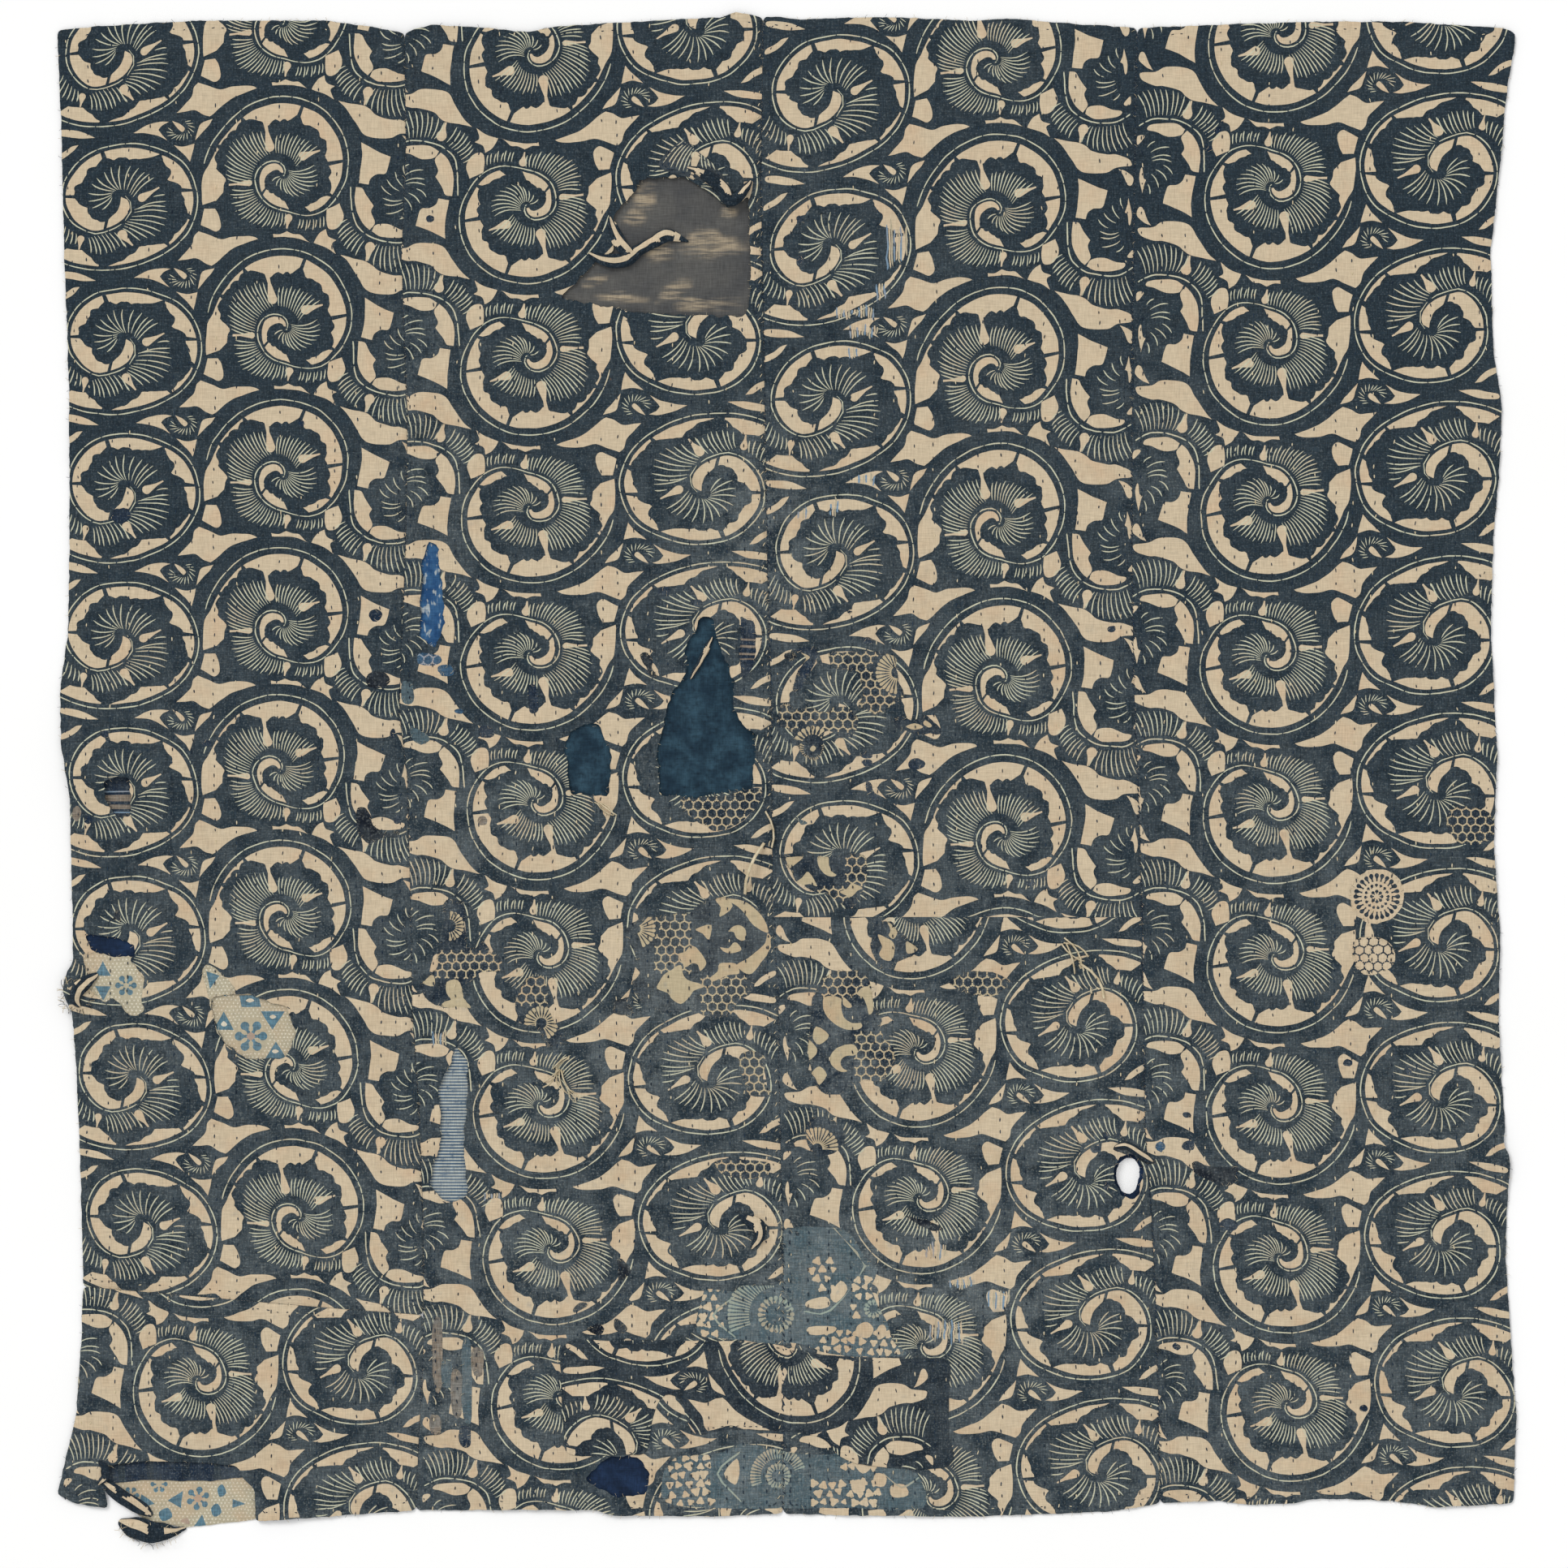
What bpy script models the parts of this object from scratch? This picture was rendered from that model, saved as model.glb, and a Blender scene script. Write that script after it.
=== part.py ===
"""Boro patched cloth: four loom widths of stencil-dyed cotton joined edge to edge, with its tears,
its pucker ridges, the patches sewn behind the tears and the rags of torn cloth that hang loose.

The cloth lies flat on its back with its face up. X runs across the loom widths, Y up the cloth,
and Z away from the floor. The tables are in millimetres and the solids in metres.
"""

from collections import namedtuple
import math

import bmesh
import bpy
from mathutils import Vector
from mathutils.geometry import delaunay_2d_cdt

MM = 0.001

# Driving sizes, in millimetres
HALF_WIDTH = 660.0  # from the middle to the straight line that each side wanders about
TOP_LINE = 698.25  # the straight line that the top hem wanders about
FOOT_LINE = -675.0  # the same for the bottom hem
CLOTH = 1.5  # thickness of the face cloth, whose worn layers are quilted together
PATCH = 1.0  # thickness of one patch behind it
CLEARANCE = 0.3  # gap between pieces that touch
LATTICE = 28.0  # distance between the points inside a sheet
EDGE_STEP = 26.0  # longest step along an edge
PATCH_MARGIN = 40.0  # the face cloth is level this far past a patch, more than a lattice diagonal
PATCH_RAMP = 34.0  # and comes down to the floor over this distance
FLAT_BELOW = 0.35  # ridges lower than this leave the underside flat on the floor
SHORTEST_STEP = 2.0  # turning points nearer than this to an edge's end are left out
EDGE_ROOM = 0.42  # share of the lattice distance that its points keep from every edge
FOOT_BAND = 40.0  # how far up the cloth the bottom hem's own points reach
RAG_SIDES = 8

EdgePoint = namedtuple("EdgePoint", "along out")
TearPoint = namedtuple("TearPoint", "x y")
Ridge = namedtuple("Ridge", "x0 y0 x1 y1 height reach")
Patch = namedtuple("Patch", "name x y width height turn colour")
RagPoint = namedtuple("RagPoint", "x y lies_on width thick")

# Each hem and seam is a row of points: how far along it, and how far out from its straight line
LEFT_HEM = [
    EdgePoint(693.0, 13.9), EdgePoint(602.0, 10.0), EdgePoint(506.0, 8.0), EdgePoint(361.0, 3.0),
    EdgePoint(218.0, 2.5), EdgePoint(134.0, 4.0), EdgePoint(86.0, 11.5), EdgePoint(32.0, 10.0),
    EdgePoint(-14.0, 2.0), EdgePoint(-118.0, 0.0), EdgePoint(-166.0, -1.0), EdgePoint(-182.0, 7.0),
    EdgePoint(-195.0, 8.5), EdgePoint(-214.0, 0.0), EdgePoint(-262.0, -3.5), EdgePoint(-343.0, -7.0),
    EdgePoint(-458.0, -10.0), EdgePoint(-511.0, -8.5), EdgePoint(-583.0, -4.0),
    EdgePoint(-635.0, 8.0), EdgePoint(-659.0, 13.9),
]
RIGHT_HEM = [
    EdgePoint(690.0, 13.9), EdgePoint(641.0, 5.5), EdgePoint(560.0, -2.0), EdgePoint(490.0, -10.0),
    EdgePoint(399.0, -7.5), EdgePoint(356.0, -1.0), EdgePoint(340.0, 0.5), EdgePoint(286.0, -2.0),
    EdgePoint(227.0, -7.0), EdgePoint(146.0, -10.0), EdgePoint(93.0, -7.5), EdgePoint(26.0, -4.0),
    EdgePoint(-60.0, -7.0), EdgePoint(-141.0, -1.0), EdgePoint(-227.0, -2.5),
    EdgePoint(-321.0, 3.5), EdgePoint(-335.0, 2.0), EdgePoint(-351.0, 8.5), EdgePoint(-396.0, 5.0),
    EdgePoint(-439.0, 4.0), EdgePoint(-535.0, 10.0), EdgePoint(-583.0, 13.9), EdgePoint(-666.0, 11.0),
]
TOP_HEM = [
    EdgePoint(-674.0, -5.0), EdgePoint(-630.0, -1.0), EdgePoint(-539.0, 4.0), EdgePoint(-425.0, 4.0),
    EdgePoint(-383.0, -2.0), EdgePoint(-353.0, -7.5), EdgePoint(-329.0, 0.0), EdgePoint(-276.0, -3.0),
    EdgePoint(-240.0, -7.0), EdgePoint(-214.0, -1.5), EdgePoint(-116.0, 4.5), EdgePoint(-59.0, 7.0),
    EdgePoint(-47.0, 12.0), EdgePoint(-25.0, 7.0), EdgePoint(-9.0, 8.0), EdgePoint(10.0, 5.0),
    EdgePoint(82.0, 7.5), EdgePoint(175.0, 4.0), EdgePoint(206.0, 6.0), EdgePoint(258.0, 1.5),
    EdgePoint(324.0, -3.0), EdgePoint(392.0, 0.0), EdgePoint(489.0, 3.0), EdgePoint(569.0, 3.0),
    EdgePoint(663.0, -3.0), EdgePoint(674.0, -8.0),
]
FOOT_HEM = [
    EdgePoint(-674.0, -16.0), EdgePoint(-658.0, -7.5), EdgePoint(-627.0, -2.5),
    EdgePoint(-491.0, 9.0), EdgePoint(-443.0, 6.0), EdgePoint(-388.0, 2.0), EdgePoint(-342.0, -1.0),
    EdgePoint(-272.0, -1.5), EdgePoint(-176.0, -1.5), EdgePoint(-162.0, 3.5), EdgePoint(-68.0, 4.5),
    EdgePoint(-3.0, 2.0), EdgePoint(55.0, 3.5), EdgePoint(163.0, 5.0), EdgePoint(254.0, 2.0),
    EdgePoint(300.0, 0.0), EdgePoint(345.0, -7.5), EdgePoint(396.0, -10.0), EdgePoint(427.0, -6.0),
    EdgePoint(468.0, -7.5), EdgePoint(492.0, -12.0), EdgePoint(558.0, -10.0), EdgePoint(600.0, -4.0),
    EdgePoint(674.0, -7.5),
]

# The straight lines of the three long seams, and how far each point lies to the right of its own
SEAM_LINES = (-350.0, -15.0, 325.0)
SEAMS = [
    [
        EdgePoint(700.0, -3.0), EdgePoint(585.0, -2.0), EdgePoint(482.0, -6.0), EdgePoint(337.0, -0.5),
        EdgePoint(218.0, -2.0), EdgePoint(122.0, -6.0), EdgePoint(62.0, -8.0), EdgePoint(3.0, -0.5),
        EdgePoint(-118.0, 2.5), EdgePoint(-214.0, 4.0), EdgePoint(-298.0, 10.0),
        EdgePoint(-415.0, 14.5), EdgePoint(-535.0, 14.0), EdgePoint(-607.0, 10.0),
        EdgePoint(-674.0, 7.5),
    ],
    [
        EdgePoint(700.0, -7.0), EdgePoint(554.0, -9.0), EdgePoint(387.0, -6.0), EdgePoint(194.0, -3.0),
        EdgePoint(74.0, 0.5), EdgePoint(-118.0, 2.0), EdgePoint(-190.0, 6.5), EdgePoint(-333.0, 9.0),
        EdgePoint(-439.0, 11.5), EdgePoint(-677.0, 11.5),
    ],
    [
        EdgePoint(700.0, -1.0), EdgePoint(614.0, -3.0), EdgePoint(399.0, -6.0), EdgePoint(200.0, -6.0),
        EdgePoint(93.0, -4.5), EdgePoint(-42.0, 1.0), EdgePoint(-160.0, 4.0), EdgePoint(-321.0, 6.0),
        EdgePoint(-391.0, 11.0), EdgePoint(-463.0, 15.0), EdgePoint(-559.0, 18.0),
        EdgePoint(-670.0, 20.0),
    ],
]
CROSS_SEAM_LINE = -480.0  # joins the foot piece to the first loom width
CROSS_SEAM = [EdgePoint(-660.0, 13.5), EdgePoint(-424.0, -7.0), EdgePoint(-330.0, -14.0)]

# Tears that go through the face cloth, each as the turning points of its edge
TEARS = {
    "grey": [
        TearPoint(-136, 556), TearPoint(-92, 557), TearPoint(-71, 544), TearPoint(-54, 528),
        TearPoint(-35, 540), TearPoint(-33, 492), TearPoint(-35, 440), TearPoint(-41, 428),
        TearPoint(-80, 430), TearPoint(-128, 431), TearPoint(-164, 437), TearPoint(-210, 446),
        TearPoint(-200, 454), TearPoint(-180, 477), TearPoint(-160, 490), TearPoint(-161, 520),
        TearPoint(-140, 544),
    ],
    "indigo": [
        TearPoint(-80, 150), TearPoint(-69, 151), TearPoint(-65, 132), TearPoint(-56, 112),
        TearPoint(-49, 91), TearPoint(-49, 65), TearPoint(-39, 50), TearPoint(-29, 45),
        TearPoint(-29, 27), TearPoint(-32, -7), TearPoint(-80, -15), TearPoint(-116, -14),
        TearPoint(-121, 27), TearPoint(-111, 62), TearPoint(-106, 80), TearPoint(-92, 100),
        TearPoint(-94, 122),
    ],
    "small_indigo": [
        TearPoint(-202, 44), TearPoint(-190, 52), TearPoint(-176, 53), TearPoint(-168, 39),
        TearPoint(-162, 27), TearPoint(-164, -13), TearPoint(-200, -12), TearPoint(-202, 15),
        TearPoint(-206, 31),
    ],
    "bright_blue": [
        TearPoint(-337, 199), TearPoint(-331, 222), TearPoint(-322, 216), TearPoint(-319, 178),
        TearPoint(-316, 146), TearPoint(-324, 122), TearPoint(-340, 134), TearPoint(-338, 168),
    ],
    "fine_stripe": [
        TearPoint(-305, -245), TearPoint(-295, -259), TearPoint(-295, -297), TearPoint(-298, -331),
        TearPoint(-295, -385), TearPoint(-314, -390), TearPoint(-331, -374), TearPoint(-326, -352),
        TearPoint(-319, -331), TearPoint(-322, -285),
    ],
    "foot_navy": [
        TearPoint(-162, -624), TearPoint(-138, -624), TearPoint(-127, -638), TearPoint(-129, -658),
        TearPoint(-158, -662), TearPoint(-171, -654), TearPoint(-186, -646), TearPoint(-176, -634),
    ],
    "striped_navy": [
        TearPoint(-631, -1), TearPoint(-618, 4), TearPoint(-606, 2), TearPoint(-605, -34),
        TearPoint(-619, -33), TearPoint(-628, -20),
    ],
    "left_navy": [
        TearPoint(-648, -142), TearPoint(-620, -144), TearPoint(-601, -151), TearPoint(-603, -163),
        TearPoint(-634, -161), TearPoint(-644, -155),
    ],
    "hexagon": [
        TearPoint(-531, -199), TearPoint(-498, -197), TearPoint(-462, -209), TearPoint(-453, -232),
        TearPoint(-462, -256), TearPoint(-497, -257), TearPoint(-519, -243), TearPoint(-529, -222),
    ],
    "through": [
        TearPoint(302, -354), TearPoint(309, -345), TearPoint(319, -345), TearPoint(328, -356),
        TearPoint(329, -364), TearPoint(326, -380), TearPoint(319, -387), TearPoint(310, -383),
        TearPoint(303, -372),
    ],
}
# The bottom hem is torn away here, so this tear is open to the foot of the cloth
FOOT_TEAR = [
    TearPoint(-627, -672), TearPoint(-630, -655), TearPoint(-634, -634), TearPoint(-598, -628),
    TearPoint(-548, -629), TearPoint(-507, -633), TearPoint(-502, -645), TearPoint(-491, -654),
]
TEARS_OF = {
    "loom_width_1": ("striped_navy", "left_navy", "hexagon"),
    "loom_width_1_foot": (),
    "loom_width_2": ("grey", "indigo", "small_indigo", "bright_blue", "fine_stripe", "foot_navy"),
    "loom_width_3": ("through",),
    "loom_width_4": (),
}

# Ridges and puckers that lift the face cloth off the floor: the line of each crest, its height
# there and how far to each side it reaches
RIDGES = [
    Ridge(-318, 676, -215, 672, 4.5, 30),  # top hem folded over to the face
    Ridge(-353, 690, -353, 660, 3.5, 26),
    Ridge(-47, 700, -40, 670, 4.0, 28),
    Ridge(-655, 2, -560, 12, 3.6, 34),  # drawn-up cloth beside the striped patch
    Ridge(-560, 12, -500, -6, 3.0, 30),
    Ridge(-655, -192, -590, -204, 5.0, 34),  # frayed bump on the left hem
    Ridge(-50, 118, -30, 50, 5.0, 34),  # loose strip beside the indigo tear
    Ridge(-82, 572, -36, 552, 3.6, 34),  # rolled lip above the grey tear
    Ridge(-190, -16, -168, -24, 4.0, 32),
    Ridge(-44, -410, -20, -396, 5.5, 36),  # gathered cloth beside the middle seam
    Ridge(296, -340, 334, -398, 4.5, 36),  # drawn-up edge of the hole
    Ridge(462, -52, 473, -172, 3.2, 32),  # mended split
    Ridge(560, -351, 664, -351, 4.0, 32),
    Ridge(-10, -420, 120, -455, 3.0, 34),
    Ridge(-150, -560, -40, -610, 2.6, 40),
    Ridge(-30, -640, 60, -620, 2.4, 36),
    Ridge(-640, -628, -560, -612, 3.0, 30),
    Ridge(-560, 330, -470, 250, 1.8, 46),
    Ridge(420, 470, 520, 300, 1.6, 50),
    Ridge(90, 250, 240, 90, 1.6, 50),
    Ridge(500, -470, 600, -600, 1.8, 46),
]

# Patches behind the tears, each a plain oblong with its middle, its size and how far it is turned
PATCHES = [
    Patch("patch_grey", -122, 493, 206, 150, 2.0, (0.16, 0.16, 0.16)),
    Patch("patch_indigo", -79, 69, 116, 190, -1.5, (0.03, 0.07, 0.12)),
    Patch("patch_small_indigo", -184, 20, 66, 90, 2.5, (0.03, 0.07, 0.12)),
    Patch("patch_bright_blue", -328, 172, 38, 124, 1.0, (0.04, 0.13, 0.25)),
    Patch("patch_fine_stripe", -311, -318, 46, 166, -1.5, (0.20, 0.27, 0.36)),
    Patch("patch_foot_navy", -154, -642, 84, 50, 0.0, (0.01, 0.03, 0.07)),
    Patch("patch_striped_navy", -616, -15, 50, 64, 1.5, (0.01, 0.02, 0.05)),
    Patch("patch_left_navy", -624, -152, 66, 44, -1.0, (0.02, 0.06, 0.12)),
    Patch("patch_hexagon", -492, -228, 104, 84, 1.5, (0.30, 0.36, 0.36)),
]
# Two patches show at the torn foot, so their own outlines are cut to the photograph's shape
CORNER_LIGHT = [
    TearPoint(-622, -652), TearPoint(-594, -650), TearPoint(-560, -652), TearPoint(-500, -648),
    TearPoint(-470, -644), TearPoint(-470, -664), TearPoint(-491, -683), TearPoint(-520, -686),
    TearPoint(-556, -690), TearPoint(-590, -684), TearPoint(-610, -670),
]
CORNER_NAVY = [
    TearPoint(-648, -606), TearPoint(-560, -602), TearPoint(-484, -608), TearPoint(-482, -640),
    TearPoint(-530, -647), TearPoint(-594, -646), TearPoint(-622, -649), TearPoint(-640, -640),
]
# The patch round the hole has a hole of its own, a little smaller than the one in the face cloth
RING_PATCH = Patch("patch_round_hole", 318, -366, 76, 84, 0.0, (0.02, 0.04, 0.08))
RING_HOLE = [
    TearPoint(304, -358), TearPoint(311, -349), TearPoint(319, -348), TearPoint(326, -357),
    TearPoint(326, -366), TearPoint(323, -378), TearPoint(317, -383), TearPoint(309, -379),
    TearPoint(305, -369),
]

# Rags: torn strips of the face cloth, lying twisted on the face cloth, a patch or the floor
RAGS = {
    "rag_over_grey": [
        RagPoint(-178, 481, "face", 7, 2.4), RagPoint(-166, 477, "face", 8, 3.2),
        RagPoint(-150, 480, "patch", 9, 4.2), RagPoint(-138, 490, "patch", 10, 4.6),
        RagPoint(-124, 495, "patch", 8, 3.8), RagPoint(-112, 501, "patch", 7, 3.2),
        RagPoint(-100, 504, "patch", 5, 2.4),
    ],
    "lip_over_grey": [
        RagPoint(-88, 566, "face", 8, 3.0), RagPoint(-76, 558, "face", 11, 5.0),
        RagPoint(-62, 546, "face", 13, 6.0), RagPoint(-52, 534, "face", 13, 6.0),
        RagPoint(-42, 541, "face", 12, 5.5), RagPoint(-36, 552, "face", 8, 4.0),
    ],
    "rag_at_corner": [
        RagPoint(-631, -681, "floor", 6, 2.4), RagPoint(-622, -690, "floor", 9, 3.6),
        RagPoint(-610, -697, "floor", 11, 4.6), RagPoint(-598, -702, "floor", 12, 5.2),
        RagPoint(-586, -705.25, "floor", 10, 5.0), RagPoint(-576, -702, "floor", 8, 3.6),
    ],
}


def height_of(table, along):
    """How far out a hem or seam is at one place along it, straight between its points."""
    rows = sorted(table)
    if along <= rows[0].along:
        return rows[0].out
    for before, after in zip(rows, rows[1:]):
        if along <= after.along:
            share = (along - before.along) / (after.along - before.along)
            return before.out + share * (after.out - before.out)
    return rows[-1].out


def seam_x(index, y):
    return SEAM_LINES[index] + height_of(SEAMS[index], y)


def hem_y(x, top):
    if top:
        return TOP_LINE + height_of(TOP_HEM, x)
    return FOOT_LINE - height_of(FOOT_HEM, x)


def cross_seam_y(x):
    return CROSS_SEAM_LINE + height_of(CROSS_SEAM, x)


def stations(low, high, turning):
    """Places from low to high that hold every turning point and leave no step over EDGE_STEP."""
    kept = [low] + sorted(
        t for t in turning if low + SHORTEST_STEP < t < high - SHORTEST_STEP
    ) + [high]
    places = []
    for before, after in zip(kept, kept[1:]):
        steps = max(1, math.ceil((after - before) / EDGE_STEP))
        places += [before + (after - before) * step / steps for step in range(steps)]
    return places + [high]


def side_line(kind, low, high):
    """Points up one side of a loom width, from low to high: a hem, or one edge of a seam."""
    edge, index, shift = kind
    table = {"left": LEFT_HEM, "right": RIGHT_HEM}.get(edge) or SEAMS[index]
    points = []
    for y in stations(low, high, [row.along for row in table]):
        if edge == "left":
            x = -HALF_WIDTH - height_of(LEFT_HEM, y)
        elif edge == "right":
            x = HALF_WIDTH + height_of(RIGHT_HEM, y)
        else:
            x = seam_x(index, y) + shift
        points.append(Vector((x, y)))
    return points


def cross_line(y_of, left, right, turning):
    """Points from left to right along a hem or the cross seam, without the two ends."""
    places = stations(left, right, turning)[1:-1]
    return [Vector((x, y_of(x))) for x in places]


def loom_width(left, right, foot=None, head=None):
    """The outline of one loom width, up its left side, across the head and down the right."""
    def along_foot(x):
        return foot(x) if foot else hem_y(x, top=False)

    def along_head(x):
        return head(x) if head else hem_y(x, top=True)

    left_x = {"left": -HALF_WIDTH, "right": HALF_WIDTH}.get(left[0])
    right_x = {"left": -HALF_WIDTH, "right": HALF_WIDTH}.get(right[0])

    def ends(kind, fixed, along, guess):
        x = fixed
        if x is None:
            x = seam_x(kind[1], guess) + kind[2]
        elif kind[0] == "left":
            x -= height_of(LEFT_HEM, guess)
        else:
            x += height_of(RIGHT_HEM, guess)
        return along(x)

    low_left = ends(left, left_x, along_foot, FOOT_LINE if not foot else CROSS_SEAM_LINE)
    low_right = ends(right, right_x, along_foot, FOOT_LINE if not foot else CROSS_SEAM_LINE)
    high_left = ends(left, left_x, along_head, TOP_LINE if not head else CROSS_SEAM_LINE)
    high_right = ends(right, right_x, along_head, TOP_LINE if not head else CROSS_SEAM_LINE)
    up = side_line(left, low_left, high_left)
    down = side_line(right, low_right, high_right)[::-1]
    head_turns = [row.along for row in (CROSS_SEAM if head else TOP_HEM)]
    foot_turns = [row.along for row in (CROSS_SEAM if foot else FOOT_HEM)]
    across = cross_line(along_head, up[-1].x, down[0].x, head_turns)
    back = cross_line(along_foot, up[0].x, down[-1].x, foot_turns)[::-1]
    return up + across + down + back


def beyond(patch, x, y):
    """How far a point lies outside a patch's oblong, in millimetres; negative inside."""
    turn = math.radians(patch.turn)
    dx = (x - patch.x) * math.cos(turn) + (y - patch.y) * math.sin(turn)
    dy = (y - patch.y) * math.cos(turn) - (x - patch.x) * math.sin(turn)
    past_x = abs(dx) - patch.width / 2
    past_y = abs(dy) - patch.height / 2
    if past_x > 0 and past_y > 0:
        return math.hypot(past_x, past_y)
    return max(past_x, past_y)


def corner_patch_box():
    """One oblong round both corner patches, for lifting the face cloth over them."""
    points = CORNER_LIGHT + CORNER_NAVY
    xs = [p.x for p in points]
    ys = [p.y for p in points]
    return Patch(
        "corner", (min(xs) + max(xs)) / 2, (min(ys) + max(ys)) / 2,
        max(xs) - min(xs), max(ys) - min(ys), 0.0, None,
    )


LIFTERS = PATCHES + [RING_PATCH, corner_patch_box()]


def eased(share):
    share = min(1.0, max(0.0, share))
    return share * share * (3 - 2 * share)


def ridge_height(ridge, x, y):
    """The height of one ridge at a point: full along its crest, eased to nothing at its reach."""
    run = Vector((ridge.x1 - ridge.x0, ridge.y1 - ridge.y0))
    to_point = Vector((x - ridge.x0, y - ridge.y0))
    share = min(1.0, max(0.0, to_point.dot(run) / run.length_squared))
    away = (to_point - run * share).length
    return ridge.height * eased(1 - away / ridge.reach)


def underside(x, y):
    """The height of the face cloth's underside above the floor, in millimetres."""
    over_patch = max(
        eased(1 - (beyond(patch, x, y) - PATCH_MARGIN) / PATCH_RAMP) for patch in LIFTERS
    )
    lifted = over_patch * (PATCH + CLEARANCE)
    ridges = sum(ridge_height(ridge, x, y) for ridge in RIDGES)
    return lifted + max(0.0, ridges - FLAT_BELOW)


def signed_area(points):
    following = points[1:] + points[:1]
    return sum(a.x * b.y - b.x * a.y for a, b in zip(points, following)) / 2


def inside(points, x, y):
    crossings = False
    for a, b in zip(points, points[1:] + points[:1]):
        if (a.y > y) != (b.y > y) and x < a.x + (y - a.y) * (b.x - a.x) / (b.y - a.y):
            crossings = not crossings
    return crossings


def edge_distance(points, x, y):
    """The distance from a point to the nearest edge of a ring of points."""
    place = Vector((x, y))
    nearest = math.inf
    for a, b in zip(points, points[1:] + points[:1]):
        run = b - a
        share = min(1.0, max(0.0, (place - a).dot(run) / max(run.length_squared, 1e-9)))
        nearest = min(nearest, (place - a - run * share).length)
    return nearest


def lattice_points(outline, holes, spacing):
    """Points inside the outline and outside the holes, none close to an edge."""
    rings = [outline] + holes
    xs = [p.x for p in outline]
    ys = [p.y for p in outline]
    columns = max(1, round((max(xs) - min(xs)) / spacing))
    rows = max(1, round((max(ys) - min(ys)) / spacing))
    found = []
    for column in range(1, columns):
        for row in range(1, rows):
            x = min(xs) + (max(xs) - min(xs)) * column / columns
            y = min(ys) + (max(ys) - min(ys)) * row / rows
            if not inside(outline, x, y) or any(inside(hole, x, y) for hole in holes):
                continue
            if min(edge_distance(ring, x, y) for ring in rings) > spacing * EDGE_ROOM:
                found.append(Vector((x, y)))
    return found


def triangulated(outline, holes, spacing):
    """Flat triangles that fill the outline and leave the holes open."""
    points, edges = [], []
    for ring in [outline] + holes:
        first = len(points)
        points += ring
        edges += [(first + i, first + (i + 1) % len(ring)) for i in range(len(ring))]
    if spacing:
        points += lattice_points(outline, holes, spacing)
    flat, _, triangles, *_ = delaunay_2d_cdt(points, edges, [], 1, 1e-4)
    kept = []
    for triangle in triangles:
        middle = sum((flat[i] for i in triangle), Vector((0.0, 0.0))) / len(triangle)
        if inside(outline, middle.x, middle.y):
            if not any(inside(hole, middle.x, middle.y) for hole in holes):
                kept.append(triangle)
    return flat, kept


def sheet(name, outline, holes, thickness, bottom_of, colour, spacing=LATTICE):
    """One closed solid of cloth: two like faces a thickness apart, with walls along each edge."""
    flat, triangles = triangulated(outline, holes, spacing)
    work = bmesh.new()
    low = [work.verts.new((p.x * MM, p.y * MM, bottom_of(p.x, p.y) * MM)) for p in flat]
    high = [
        work.verts.new((p.x * MM, p.y * MM, (bottom_of(p.x, p.y) + thickness) * MM)) for p in flat
    ]
    open_edges = []
    for triangle in triangles:
        a, b, c = triangle
        if signed_area([flat[a], flat[b], flat[c]]) < 0:
            a, b, c = a, c, b
        work.faces.new((high[a], high[b], high[c]))
        work.faces.new((low[c], low[b], low[a]))
        for start, end in ((a, b), (b, c), (c, a)):
            if (end, start) in open_edges:
                open_edges.remove((end, start))
            else:
                open_edges.append((start, end))
    for start, end in open_edges:
        work.faces.new((low[start], low[end], high[end]))
        work.faces.new((low[start], high[end], high[start]))
    bmesh.ops.delete(work, geom=[v for v in work.verts if not v.link_faces], context="VERTS")
    return finished(name, work, colour)


def finished(name, work, colour):
    """A mesh object from a bmesh, linked to the scene, with its own cloth material."""
    mesh = bpy.data.meshes.new(name)
    work.to_mesh(mesh)
    work.free()
    piece = bpy.data.objects.new(name, mesh)
    bpy.context.scene.collection.objects.link(piece)
    material = bpy.data.materials.new(name)
    material.use_nodes = True
    shader = material.node_tree.nodes["Principled BSDF"]
    shader.inputs["Base Color"].default_value = (*colour, 1.0)
    shader.inputs["Roughness"].default_value = 0.95
    shader.inputs["Metallic"].default_value = 0.0
    mesh.materials.append(material)
    return piece


def oblong(patch):
    """The four corners of a patch, with points between them no further apart than the lattice."""
    turn = math.radians(patch.turn)
    corners = [(-0.5, -0.5), (0.5, -0.5), (0.5, 0.5), (-0.5, 0.5)]
    ring = []
    for (u0, v0), (u1, v1) in zip(corners, corners[1:] + corners[:1]):
        side = abs(u1 - u0) * patch.width + abs(v1 - v0) * patch.height
        steps = max(1, round(side / LATTICE))
        for step in range(steps):
            dx = (u0 + (u1 - u0) * step / steps) * patch.width
            dy = (v0 + (v1 - v0) * step / steps) * patch.height
            ring.append(Vector((
                patch.x + dx * math.cos(turn) - dy * math.sin(turn),
                patch.y + dx * math.sin(turn) + dy * math.cos(turn),
            )))
    return ring


def rag_bottom(row):
    """The height of a rag's underside at one of its points, clear of what it lies on."""
    if row.lies_on == "floor":
        return 0.0
    if row.lies_on == "patch":
        return PATCH + CLEARANCE
    half = row.width / 2
    around = [(0.0, 0.0), (-half, 0.0), (half, 0.0), (0.0, -half), (0.0, half)]
    return max(underside(row.x + dx, row.y + dy) for dx, dy in around) + CLOTH + CLEARANCE


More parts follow.
